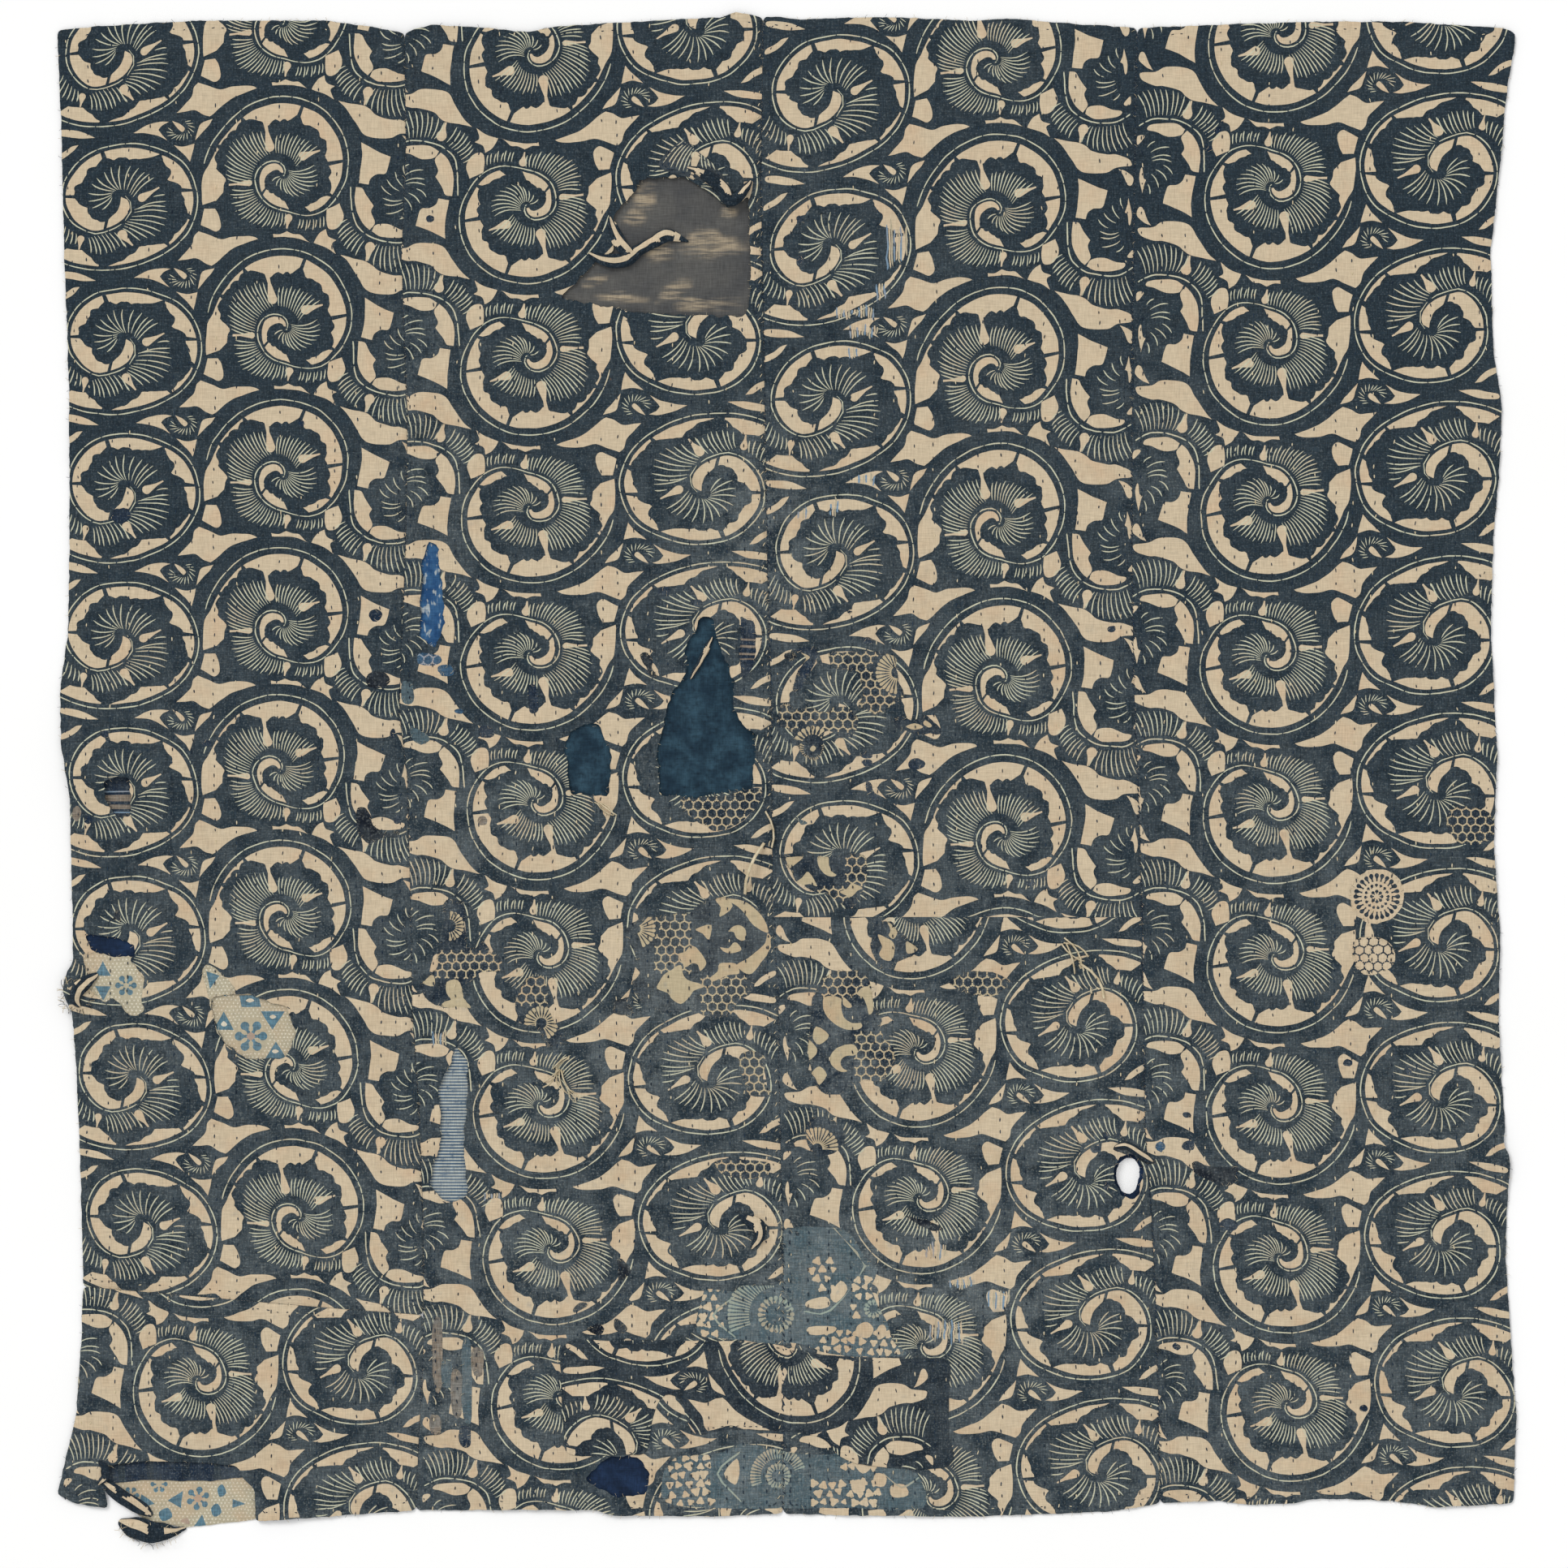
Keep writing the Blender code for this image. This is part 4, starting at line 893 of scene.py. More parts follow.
         [(-4, -418), (20, -412), (44, -413), (60, -420), (72, -440), (84, -452), (78, -470),
          (92, -500), (100, -520), (110, -530), (70, -532), (40, -530), (10, -520), (-20, -520),
          (-50, -516), (-64, -515), (-80, -512), (-84, -500), (-78, -480), (-74, -470), (-50, -472),
          (-40, -466), (-4, -462)],
         [(-84, -516, -58, -468), (24, -532, 108, -502), (58, -500, 84, -460), (20, -470, 44, -440)],
         [Daisy(-10, -493, 10, 17, 0, 345, 20), Daisy(-10, -493, 25, 45, 95, 200, 22),
              Daisy(80, -488, 4, 9, 0, 330, 12)],
         {"undyed": [
             [(20, -480), (36, -477), (40, -484), (32, -488), (18, -486)],
             [(40, -475), (50, -462), (56, -470), (46, -482)],
             [(20, -505), (44, -504), (42, -510), (22, -512)],
             [(66, -503), (74, -500), (80, -506), (76, -514), (68, -514), (64, -508)],
             [(84, -505), (90, -503), (92, -512), (84, -516)]],
          "teal_line": [
              [(45, -414), (72, -447), (73, -449), (41, -490), (18, -491), (18, -489.6), (39, -489),
               (71, -448), (44, -415)],
              [(-50, -477), (-69, -494), (-50, -513), (-49, -512), (-67, -494), (-49, -478)]]}),
    Worn("teal",
         [(-104, -626), (-60, -620), (-40, -612), (0, -620), (40, -622), (70, -618), (90, -632),
          (120, -640), (126, -671), (60, -672), (0, -672), (-100, -670), (-116, -650)],
         [(-114, -672, -68, -624), (20, -672, 88, -646), (50, -640, 90, -620)],
         [Daisy(-8, -642, 6, 12, 0, 340, 18), Daisy(-8, -642, 16, 26, 20, 200, 26)],
         {"undyed": [
             [(-46, -626), (-58, -640), (-48, -650), (-44, -640)],
             [(62, -630), (72, -626), (78, -634), (70, -640)],
             [(82, -640), (92, -642), (90, -652), (80, -650)],
             [(60, -648), (70, -646), (72, -656), (62, -658)],
             [(96, -652), (108, -650), (112, -660), (98, -662)]],
          "teal_line": [
              [(-46, -621), (-65, -640), (-45, -664), (-43.6, -663.5), (-63, -640), (-44.6, -622)],
              [(90, -640), (106, -652), (122, -643), (122.6, -644.4), (106, -653.8), (91, -641.6)]]}),
    Worn("light",
         [(-649, -161), (-636, -159), (-621, -161), (-606, -161), (-605, -167), (-599, -175),
          (-593, -181), (-594, -193), (-595, -203), (-594, -212), (-602, -217), (-609, -214),
          (-615, -206), (-623, -200), (-629, -204), (-636, -200), (-642, -194), (-646, -188),
          (-645, -181), (-648, -172)],
         [(-650, -218, -594, -160)], [Daisy(-610, -189, 2.5, 10, 0, 300, 6)],
         {"hex_blue": [
             [(-639, -180, 1), (-631.5, -166.5, 1), (-624, -180, 1)],
             [(-638.5, -189.5, 1), (-623.5, -189.5, 1), (-631, -203, 1)]]}),
    Worn("light",
         [(-538, -172), (-532, -170), (-523, -178), (-515, -185), (-509, -194), (-512, -198),
          (-528, -199), (-531, -205), (-529, -222), (-519, -243), (-512, -249), (-518, -243),
          (-524, -236), (-528, -226), (-530, -215), (-533, -203), (-536, -191), (-539, -181)],
         [(-540, -250, -505, -170)], [],
         {"hex_blue": [[(-536, -176, 1), (-524, -180, 1), (-533, -192, 1)]]}),
    Worn("navy",
         [(-43, 151), (-36, 149), (-30, 146), (-29, 130), (-30, 110), (-36, 98), (-41, 95),
          (-42, 104), (-44, 120), (-42, 136)],
         [], [], {"brown": [
             [(-44, 131.5, 1), (-28, 131, 1), (-28, 129, 1), (-44, 129.5, 1)],
             [(-44, 125, 1), (-28, 124.6, 1), (-28, 122.4, 1), (-44, 123, 1)],
             [(-44, 118, 1), (-28, 118, 1), (-28, 116, 1), (-44, 116, 1)],
             [(-44, 113, 1), (-28, 113, 1), (-28, 111.6, 1), (-44, 111.8, 1)]]}),
    Worn("blue",
         [(-340, 117), (-322, 116), (-321, 108), (-340, 107)],
         [(-341, 106, -320, 118)], [], {}),
    Worn("teal", [(-356, 91), (-346, 90), (-345, 74), (-355, 73)], [], [], {}),
    Worn("blue", [(-321, 106), (-310, 107), (-309, 98), (-320, 97)], [], [], {}),
    Worn("navy", [(-238, 87), (-231, 86), (-230, 65), (-237, 64)], [], [], {}),
    Worn("navy", [(-284, 50), (-272, 49), (-271, 41), (-283, 40)], [], [], {}),
    Worn("teal",
         [(-348, 50), (-340, 48), (-331, 41), (-330, 36), (-338, 34), (-345, 38)], [], [], {}),
    Worn("teal", [(10, -34), (14, -36), (19, -39), (13, -40)], [], [], {}),
    Worn("navy", [(73, -1), (78, -3), (80, -8), (85, -18), (79, -18), (75, -12), (73, -6)], [], [], {}),
    Worn("brown", [(-327, -501), (-319, -502), (-319, -558), (-326, -559)], [], [], {}),
    Worn("teal", [(-319, -537), (-310, -538), (-310, -559), (-318, -558)], [], [], {}),
    Worn("brown", [(-310, -547), (-301, -548), (-300, -585), (-309, -584)], [], [], {}),
    Worn("teal", [(-300, -521), (-292, -522), (-291, -587), (-299, -586)], [], [], {}),
    Worn("brown", [(-291, -525), (-281, -526), (-281, -549), (-290, -548)], [], [], {}),
    Worn("brown", [(-330, -587), (-320, -588), (-320, -603), (-329, -602)], [], [], {}),
    Worn("navy", [(-302, -597), (-293, -598), (-293, -615), (-301, -614)], [], [], {}),
]
# Small torn gaps that show only shadow and dark cloth
GAPS = [
    [(110, -403), (120, -405), (130, -406), (140, -411), (144, -415), (134, -416), (122, -411)],
    [(-157, -444), (-152, -442), (-144, -452), (-148, -458), (-156, -462), (-156, -452)],
    [(-198, -488), (-190, -482), (-184, -482), (-186, -487), (-196, -491)],
    [(-184, -506), (-174, -502), (-168, -506), (-172, -512), (-182, -509)],
    [(-160, -498), (-156, -498), (-148, -505), (-150, -510), (-158, -507)],
    [(-160, -204), (-150, -201), (-145, -200), (-147, -205), (-142, -212), (-143, -217), (-152, -216),
     (-160, -214)],
    [(-628, -131), (-622, -127), (-620, -119), (-616, -122), (-615, -131), (-620, -128)],
    [(-397, -26), (-390, -24), (-384, -32), (-382, -42), (-370, -48), (-359, -46), (-360, -51),
     (-372, -52), (-386, -58), (-396, -48), (-398, -36)],
    [(-136, 116), (-129, 118), (-124, 112), (-125, 104), (-120, 98), (-124, 95), (-130, 104)],
    [(303, -342), (302, -338), (308, -333), (306, -326), (314, -333), (320, -340), (338, -349),
     (341, -353), (330, -353), (322, -347)],
    [(375, -352), (383, -353), (395, -357), (405, -357), (416, -356), (416, -364), (414, -372),
     (402, -374), (394, -371), (383, -366), (376, -361)],
    [(-2, 117), (4, 119), (8, 117), (7, 112), (3, 111), (-1, 113)],
]
# Small worn spots: middle, width, height and the cloth that shows
SPOTS = [
    (-656, -30, 8, 14, "brown"), (-645, -36, 8, 8, "navy"), (-380, 153, 11, 11, "navy"),
    # A dark_gap spot shows painted shadow rather than cloth
    (-378, 93, 23, 16, "dark_gap"), (-364, 44, 6, 8, "navy"), (-360, -36, 7, 8, "navy"),
    (-84, 165, 11, 6, "navy"), (-113, 175, 11, 9, "navy"), (-281, -37, 8, 9, "brown"),
    (-146, -482, 6, 6, "navy"), (-152, -571, 8, 8, "navy"), (295, -328, 6, 8, "navy"),
    (285, -340, 10, 8, "navy"), (295, -374, 5, 7, "navy"), (408, -410, 17, 12, "navy"),
    (371, -337, 11, 10, "navy"), (370, -309, 8, 5, "navy"), (345, -338, 9, 10, "blue"),
    (-330, 519, 8, 7, "navy"), (-615, 245, 18, 14, "navy"), (-630, 43, 8, 7, "navy"),
    (-536, 35, 8, 6, "navy"), (12, 519, 7, 6, "navy"), (12, 481, 6, 8, "navy"),
    (398, 601, 7, 6, "navy"), (390, 583, 6, 6, "navy"), (300, 140, 8, 6, "navy"),
    (518, -261, 9, 7, "navy"), (574, -268, 7, 8, "navy"), (533, -580, 8, 7, "navy"),
    (360, -523, 8, 7, "navy"), (120, 15.6, 16, 10, "navy"), (74, 24, 10, 7, "navy"),
    (74, 16.5, 10, 7, "navy"), (75, 129.5, 8, 7, "navy"), (58, 156, 4, 2.5, "navy"),
    (-303, 64, 7, 5, "blue"), (225, -95, 9, 6, "navy"), (-448, 330, 6, 5, "navy"),
]
# Darned places, where upright blue and white threads show: left, foot, right and top
DARNS = [
    (128, -444, 146, -426), (132, -520, 162, -496), (186, -488, 205, -470), (92, 474, 110, 520),
    (83, 443, 91, 460), (46, 426, 80, 440), (57, 388, 68, 403), (58, 409, 83, 422),
    (66, 272, 80, 285), (10, 238, 21, 254), (40, 244, 49, 262), (-327, -246, -315, -230),
    (-280, -388, -266, -378), (150, -470, 172, -458),
]
DARN_PITCH = 2.2


def roughened(ring, amount):
    """A worn outline: the ring's points pushed about unevenly."""
    ring = np.asarray(ring, float)
    x, y = ring[:, 0], ring[:, 1]
    return ring + amount * np.stack([
        0.7 * RAGGED(x, y) + 0.5 * FRAYED(x, y), 0.7 * RAGGED(y, x) + 0.5 * FRAYED(y, x),
    ], 1)


def corner_mark(x, y, turn, reach, half):
    """The three-armed mark where three scales of the honeycomb meet."""
    ring = []
    for arm in (90, 210, 330):
        angle = math.radians(arm + turn)
        side_x, side_y = -math.sin(angle) * half, math.cos(angle) * half
        tip_x, tip_y = x + math.cos(angle) * reach, y + math.sin(angle) * reach
        between = angle + math.radians(60)
        ring += [
            (tip_x - side_x, tip_y - side_y), (tip_x + side_x, tip_y + side_y),
            (x + math.cos(between) * half * 1.15, y + math.sin(between) * half * 1.15),
        ]
    return ring


def lobed_ring(x, y, radius, lobes, count):
    """A small rounded mark with lobes, such as a flower or a leaf."""
    ring = []
    for k in range(count):
        angle = math.tau * k / count
        reach = radius * (1 + 0.28 * math.cos(lobes * angle + x))
        ring.append((x + math.cos(angle) * reach, y + math.sin(angle) * reach))
    return ring


# What fills the older cloths: how far apart the marks lie and how far they stray
FILLINGS = {"corners": (8.6, 0.7), "sprigs": (9.5, 2.4), "dots": (3.6, 0.9)}


def filling_marks(kind, box, daisies):
    """The small marks inside a box, laid as a honeycomb and kept clear of the daisies."""
    x0, y0, x1, y1 = box
    pitch, stray = FILLINGS[kind]
    rise, edge = pitch * math.sqrt(3) / 2, pitch / math.sqrt(3)
    rings = []
    for row in range(math.floor(y0 / rise), math.ceil(y1 / rise) + 1):
        for column in range(math.floor(x0 / pitch), math.ceil(x1 / pitch) + 1):
            middle = (column + 0.5 * (row % 2)) * pitch
            for turn, offset in ((0, edge), (HALF_TURN, -edge)) if kind == "corners" else ((0, 0),):
                x, y = middle, row * rise + offset
                clear = all(math.dist((x, y), (d.x, d.y)) > d.outer + 1.5 for d in daisies)
                if not (x0 < x < x1 and y0 < y < y1 and clear):
                    continue
                x, y = x + stray * float(FINE(x, y)), y + stray * float(FINE(y, x))
                if kind == "corners":
                    rings.append(corner_mark(x, y, turn, 2.35 + 0.4 * float(FRAYED(x, y)), 0.68))
                elif kind == "sprigs":
                    rings.append(lobed_ring(x, y, 3.3 + 0.9 * float(FINE(x * 2, y * 2)), 3, 11))
                else:
                    rings.append(lobed_ring(x, y, 0.85, 4, 6))
    return rings


FILLING_DYES = {"sprigs": "undyed", "dots": "hex_white"}


def daisy_marks(daisy):
    """Petals round a hub, each a drop with its tip to the middle."""
    step = (daisy.end - daisy.start) / (daisy.petals - 1)
    fat = min(0.36 * math.radians(step) * daisy.outer, 0.3 * (daisy.outer - daisy.inner) + 0.5)
    rings = []
    for k in range(daisy.petals):
        angle = math.radians(daisy.start + step * k)
        away, near = daisy.outer - fat, daisy.inner
        rings.append(drop_shape(Drop(
            daisy.x + math.cos(angle) * away, daisy.y + math.sin(angle) * away, fat,
            daisy.x + math.cos(angle) * near, daisy.y + math.sin(angle) * near, fat * 0.4)))
    return rings


def marks_of(place, number):
    """Everything printed on the older cloth of one place, kept to its region number."""
    cloth = OLD_CLOTHS[place.cloth]
    shapes = []
    for box in place.nets:
        dye = FILLING_DYES.get(cloth.filling, cloth.mark)
        for ring in filling_marks(cloth.filling, box, place.daisies):
            shapes.append(Shape(roughened(ring, 0.3), dye, number))
    for daisy in place.daisies:
        for ring in daisy_marks(daisy):
            shapes.append(Shape(roughened(ring, 0.3), cloth.mark, number))
    for dye, outlines in place.marks.items():
        for ring in outlines:
            shapes.append(Shape(roughened(smooth_ring(ring, 3), 0.4), dye, number))
    return shapes


def worn_shapes(box):
    """The older cloths, gaps and darns that show inside a box, as shapes for a sheet."""
    clothes = list(OLD_CLOTHS)
    rows = list(WORN_THROUGH)
    rows += [Worn("dark_gap", outline, [], [], {}) for outline in GAPS]
    for x, y, width, height, cloth in SPOTS:
        outline = [
            (x + math.cos(a) * width / 2, y + math.sin(a) * height / 2)
            for a in np.linspace(0, math.tau, 8, endpoint=False)
        ]
        rows.append(Worn(cloth, outline, [], [], {}))
    for x0, y0, x1, y1 in DARNS:
        for k, x in enumerate(np.arange(x0, x1, DARN_PITCH)):
            low = y0 + (y1 - y0) * 0.22 * (1 + float(FINE(x * 3, y0)))
            high = y1 - (y1 - y0) * 0.22 * (1 + float(FINE(y1, x * 3)))
            middle = x + 0.8 * float(FINE(x, (low + high)))
            cloth = ("striped_darn", "undyed", "light")[k % 3]
            outline = [(x, low), (x + DARN_PITCH * 0.6, low), (middle + DARN_PITCH * 0.6, high),
                       (middle, high)]
            rows.append(Worn(cloth, outline, [], [], {}))
    shapes = []
    for row in rows:
        xs, ys = [p[0] for p in row.outline], [p[1] for p in row.outline]
        if min(xs) > box[2] or max(xs) < box[0] or min(ys) > box[3] or max(ys) < box[1]:
            continue
        number = clothes.index(row.cloth)
        shapes.append(Shape(roughened(smooth_ring(row.outline, 4), 1.1), number, None))
        shapes += marks_of(row, number)
    return shapes



# Heights and soft relief of the cloth


# Soft creases and troughs of the laid cloth; a negative height is a trough
CREASES = [
    Crease(-655, 10, -470, -16, 1.6, 9), Crease(-620, -34, -520, -30, 1.1, 8),
    Crease(-640, -600, -500, -560, 1.2, 14), Crease(-560, 640, -440, 560, -0.8, 16),
    Crease(-318, 664, -215, 662, -1.6, 5), Crease(-330, 520, -300, 380, 0.9, 12),
    Crease(-60, 140, -20, 30, 1.2, 6), Crease(-200, -300, -120, -330, 0.9, 9),
    Crease(-310, -330, -250, -420, 0.8, 10), Crease(40, 300, 160, 210, 0.9, 12),
    Crease(120, 640, 230, 560, 0.7, 14), Crease(240, -150, 330, -210, 0.9, 9),
    Crease(420, 120, 560, 60, 0.9, 12), Crease(461, -52, 473, -172, -1.5, 4),
    Crease(560, -351, 668, -349, 1.4, 5), Crease(560, -346, 668, -343, -0.9, 4),
    Crease(580, -150, 660, -158, 1.1, 6), Crease(-10, -420, 120, -455, 1.3, 5),
    Crease(-40, -396, 30, -430, -0.9, 6), Crease(-120, -620, 40, -655, 0.9, 8),
    Crease(340, -560, 420, -640, 0.8, 12), Crease(520, 600, 640, 560, 0.7, 16),
    Crease(-500, -80, -440, -30, 0.8, 9), Crease(-260, 90, -200, 60, 0.9, 7),
    Crease(150, -300, 210, -380, 0.7, 12), Crease(-80, 350, -20, 320, 0.9, 6),
]


def segment_distance(x, y, x0, y0, x1, y1):
    run_x, run_y = x1 - x0, y1 - y0
    share = np.clip(((x - x0) * run_x + (y - y0) * run_y) / (run_x**2 + run_y**2), 0, 1)
    return np.hypot(x - x0 - run_x * share, y - y0 - run_y * share), share


def crease_heights(x, y):
    total = np.zeros(len(x))
    for crease in CREASES:
        away, share = segment_distance(x, y, crease.x0, crease.y0, crease.x1, crease.y1)
        fade = np.sin(np.pi * np.clip(share, 0.06, 0.94)) ** 0.5
        total += crease.height * fade * np.exp(-((away / crease.reach) ** 2))
    return total


def merged_copy(node):
    """A bmesh of a CAD node with its loose triangles joined."""
    work = bmesh.new()
    work.from_mesh(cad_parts[node].data)
    bmesh.ops.remove_doubles(work, verts=work.verts[:], dist=1e-6)
    work.normal_update()
    return work


def top_loops(node):
    """The edge loops round a sheet's upper face, in millimetres, the widest first."""
    work = merged_copy(node)
    following = {}
    top = [face for face in work.faces if face.normal.z > 0.5]
    marked = set(top)
    for face in top:
        for loop in face.loops:
            other = [f for f in loop.edge.link_faces if f is not face]
            if not other or other[0] not in marked:
                following[loop.vert.index] = loop.link_loop_next.vert.index
    places = {v.index: (v.co.x / MM, v.co.y / MM) for v in work.verts}
    loops = []
    while following:
        start, here = next(iter(following.items()))
        ring = [places[start]]
        del following[start]
        while here != start:
            ring.append(places[here])
            here = following.pop(here)
        loops.append(np.array(ring))
    work.free()
    return sorted(loops, key=lambda ring: abs(area_of(ring)), reverse=True)


OUTLINES = {name: top_loops(name) for name in WIDTHS}


def seam_between(left, right):
    """The line where two widths meet, from the bottom up."""
    tree = KDTree(len(OUTLINES[right][0]))
    for index, point in enumerate(OUTLINES[right][0]):
        tree.insert((*point, 0), index)
    tree.balance()
    met = [tuple(p) for p in OUTLINES[left][0] if tree.find((*p, 0))[2] < 1.0]
    return sorted(met, key=lambda p: p[1])


SEAMS = [
    seam_between("loom_width_1_foot", "loom_width_2") + seam_between("loom_width_1", "loom_width_2"),
    seam_between("loom_width_2", "loom_width_3"),
    seam_between("loom_width_3", "loom_width_4"),
]
CROSS_SEAM = sorted(
    p for p in (tuple(q) for q in OUTLINES["loom_width_1_foot"][0]) if -500 < p[1] < -455
)


class Relief:
    """Heights of the solids' upper faces on a grid, smoothed so that their facets don't show."""

    def __init__(self):
        low, high = CAD_BOX
        self.x0, self.y0 = low[0] / MM - 20, low[1] / MM - 20
        self.columns = int((high[0] - low[0]) / MM / RELIEF_CELL) + 8
        self.rows = int((high[1] - low[1]) / MM / RELIEF_CELL) + 8
        trees = []
        for name in WIDTHS:
            work = merged_copy(name)
            trees.append(BVHTree.FromBMesh(work))
            work.free()
        heights = np.full((self.columns, self.rows), np.nan)
        down = Vector((0, 0, -1))
        for i in range(self.columns):
            for j in range(self.rows):
                start = Vector(((self.x0 + i * RELIEF_CELL) * MM, (self.y0 + j * RELIEF_CELL) * MM, 0.1))
                for tree in trees:
                    place = tree.ray_cast(start, down)[0]
                    if place:
                        heights[i, j] = place.z / MM
                        break
        known = ~np.isnan(heights)
        values = np.where(known, heights, 0.0)
        weights = known.astype(float)
        spread_values, spread_weights = values.copy(), weights.copy()
        for _ in range(30):
            spread_values, spread_weights = self.blurred(spread_values), self.blurred(spread_weights)
            filled = spread_values / np.maximum(spread_weights, 1e-9)
            spread_values = np.where(known, values, filled * np.minimum(spread_weights, 1.0))
            spread_weights = np.where(known, 1.0, np.minimum(spread_weights, 1.0))
        self.heights = np.where(known, values, spread_values / np.maximum(spread_weights, 1e-9))
        for _ in range(3):
            self.heights = self.blurred(self.heights)

    @staticmethod
    def blurred(grid):
        padded = np.pad(grid, 1, mode="edge")
        rows = (padded[:-2] + 2 * padded[1:-1] + padded[2:]) / 4
        return (rows[:, :-2] + 2 * rows[:, 1:-1] + rows[:, 2:]) / 4

    def __call__(self, x, y):
        u = np.clip((np.asarray(x) - self.x0) / RELIEF_CELL, 0, self.columns - 1.001)
        v = np.clip((np.asarray(y) - self.y0) / RELIEF_CELL, 0, self.rows - 1.001)
        i, j = u.astype(int), v.astype(int)
        s, t = u - i, v - j
        h = self.heights
        return (
            (h[i, j] * (1 - s) + h[i + 1, j] * s) * (1 - t)
            + (h[i, j + 1] * (1 - s) + h[i + 1, j + 1] * s) * t
        )


SOLID_TOP = Relief()
SEAM_DIP, SEAM_RISE = 0.9, 0.7
FACE_LIFT = 0.25  # keeps the fine relief's troughs off the solid's underside


def seam_relief(x, y):
    """Each seam is a narrow dip between two soft rises, where the allowances lie underneath."""
    total = np.zeros(len(x))
    lines = SEAMS + [CROSS_SEAM]
    for line in lines:
        near = np.full(len(x), 1e3)
        for before, after in zip(line, line[1:]):
            if math.dist(before, after) > 0.01:
                near = np.minimum(near, segment_distance(x, y, *before, *after)[0])
        pull = 0.6 + 0.4 * DRIFT(x * 2.2, y * 2.2)
        total -= SEAM_DIP * np.exp(-((near / 1.8) ** 2))
        total += SEAM_RISE * pull * np.exp(-(((near - 6.0) / 3.6) ** 2))
    return total


def fine_relief(x, y):
    """What the soft cloth adds to the solid: unevenness, creases, seams and the stitches' pull."""
    worn = 0.55 * BROAD(x, y) + 0.42 * MIDDLING(x, y) + 0.26 * FINE(x, y)
    lower = np.clip((150 - y) / 500, 0, 1)
    return worn * (0.7 + 0.6 * lower) + crease_heights(x, y) + seam_relief(x, y)


def face_height(x, y):
    """The height of the face cloth's upper side, in millimetres."""
    x, y = np.asarray(x, float), np.asarray(y, float)
    flat_x, flat_y = x.ravel(), y.ravel()
    top = SOLID_TOP(flat_x, flat_y) + FACE_LIFT + fine_relief(flat_x, flat_y)
    return np.maximum(top, THICK + 0.1).reshape(x.shape)


# Sheets: flat outlines, printed shapes cut in, two faces and walls


def finely_stepped(ring, step, ragged, seams=()):
    """A CAD edge with points a few millimetres apart, worn unevenly but left true at a seam."""
    points = []
    following = np.roll(ring, -1, 0)
    for (x0, y0), (x1, y1) in zip(ring, following):
        count = max(1, round(math.hypot(x1 - x0, y1 - y0) / step))
        for k in range(count):
            points.append((x0 + (x1 - x0) * k / count, y0 + (y1 - y0) * k / count))
    points = np.array(points)
    before, after = np.roll(points, 1, 0), np.roll(points, -1, 0)
    for _ in range(2):
        points = (before + 2 * points + after) / 4
        before, after = np.roll(points, 1, 0), np.roll(points, -1, 0)
    tangent = after - before
    normal = np.stack([tangent[:, 1], -tangent[:, 0]], 1)
    normal /= np.maximum(np.linalg.norm(normal, axis=1), 1e-6)[:, None]
    x, y = points[:, 0], points[:, 1]
    worn = 0.65 * RAGGED(x, y) + 0.45 * FRAYED(x, y)
    free = np.full(len(points), ragged)
    for line in seams:
        for a, b in zip(line, line[1:]):
            if math.dist(a, b) > 0.01:
                near = segment_distance(x, y, *a, *b)[0]
                free = np.where(near < 2.0, 0.0, free)
    return points + normal * (worn * free)[:, None]


def within(ring, points):
    """Which of the points lie inside a ring."""
    x, y = points[:, 0], points[:, 1]
    odd = np.zeros(len(points), bool)
    for (x0, y0), (x1, y1) in zip(ring, np.roll(ring, -1, 0)):
        crossed = (y0 > y) != (y1 > y)
        if crossed.any():
            odd[crossed] ^= x[crossed] < x0 + (y[crossed] - y0) * (x1 - x0) / (y1 - y0)
    return odd


def grid_inside(outline, holes, spacing):
    low, high = outline.min(0), outline.max(0)
    columns = max(2, int((high[0] - low[0]) / spacing))
    rows = max(2, int((high[1] - low[1]) / spacing))
    u, v = np.meshgrid(np.arange(1, columns), np.arange(1, rows), indexing="ij")
    x = low[0] + (high[0] - low[0]) * (u + 0.25 * (v % 2)) / columns
    y = low[1] + (high[1] - low[1]) * v / rows
    points = np.stack([x.ravel(), y.ravel()], 1)
    keep = within(outline, points)
    for hole in holes:
        keep &= ~within(hole, points)
    return points[keep]


def triangulate(rings, extra, outline, holes):
    """Triangles that fill the outline, with every ring's edge kept as an edge."""
    points, edges = [], []
    for ring in rings:
        first = len(points)
        points += [Vector(p) for p in ring]
        edges += [(first + k, first + (k + 1) % len(ring)) for k in range(len(ring))]
    points += [Vector(p) for p in extra]
    flat, _, faces, *_ = delaunay_2d_cdt(points, edges, [], 0, 1e-4)
    flat = np.array([tuple(p) for p in flat])
    faces = np.array([face[:3] for face in faces])
    a, b, c = flat[faces[:, 0]], flat[faces[:, 1]], flat[faces[:, 2]]
    turned = (b[:, 0] - a[:, 0]) * (c[:, 1] - a[:, 1]) - (b[:, 1] - a[:, 1]) * (c[:, 0] - a[:, 0])
    faces[turned < 0] = faces[turned < 0][:, ::-1]
    faces = faces[np.abs(turned) > 1e-7]
    middles = flat[faces].mean(1)
    keep = within(outline, middles)
    for hole in holes:
        keep &= ~within(hole, middles)
    return flat, faces[keep], middles[keep]


def boundary_loops(faces):
    """The open edges of a set of triangles, as ordered rings of point numbers."""
    edges = np.concatenate([faces[:, [0, 1]], faces[:, [1, 2]], faces[:, [2, 0]]])
    both = set(map(tuple, edges.tolist()))
    following = {a: b for a, b in both if (b, a) not in both}
    loops = []
    while following:
        start, here = next(iter(following.items()))
        loop = [start]
        del following[start]
        while here != start and here in following:
            loop.append(here)
            here = following.pop(here)
        loops.append(loop)
    return loops


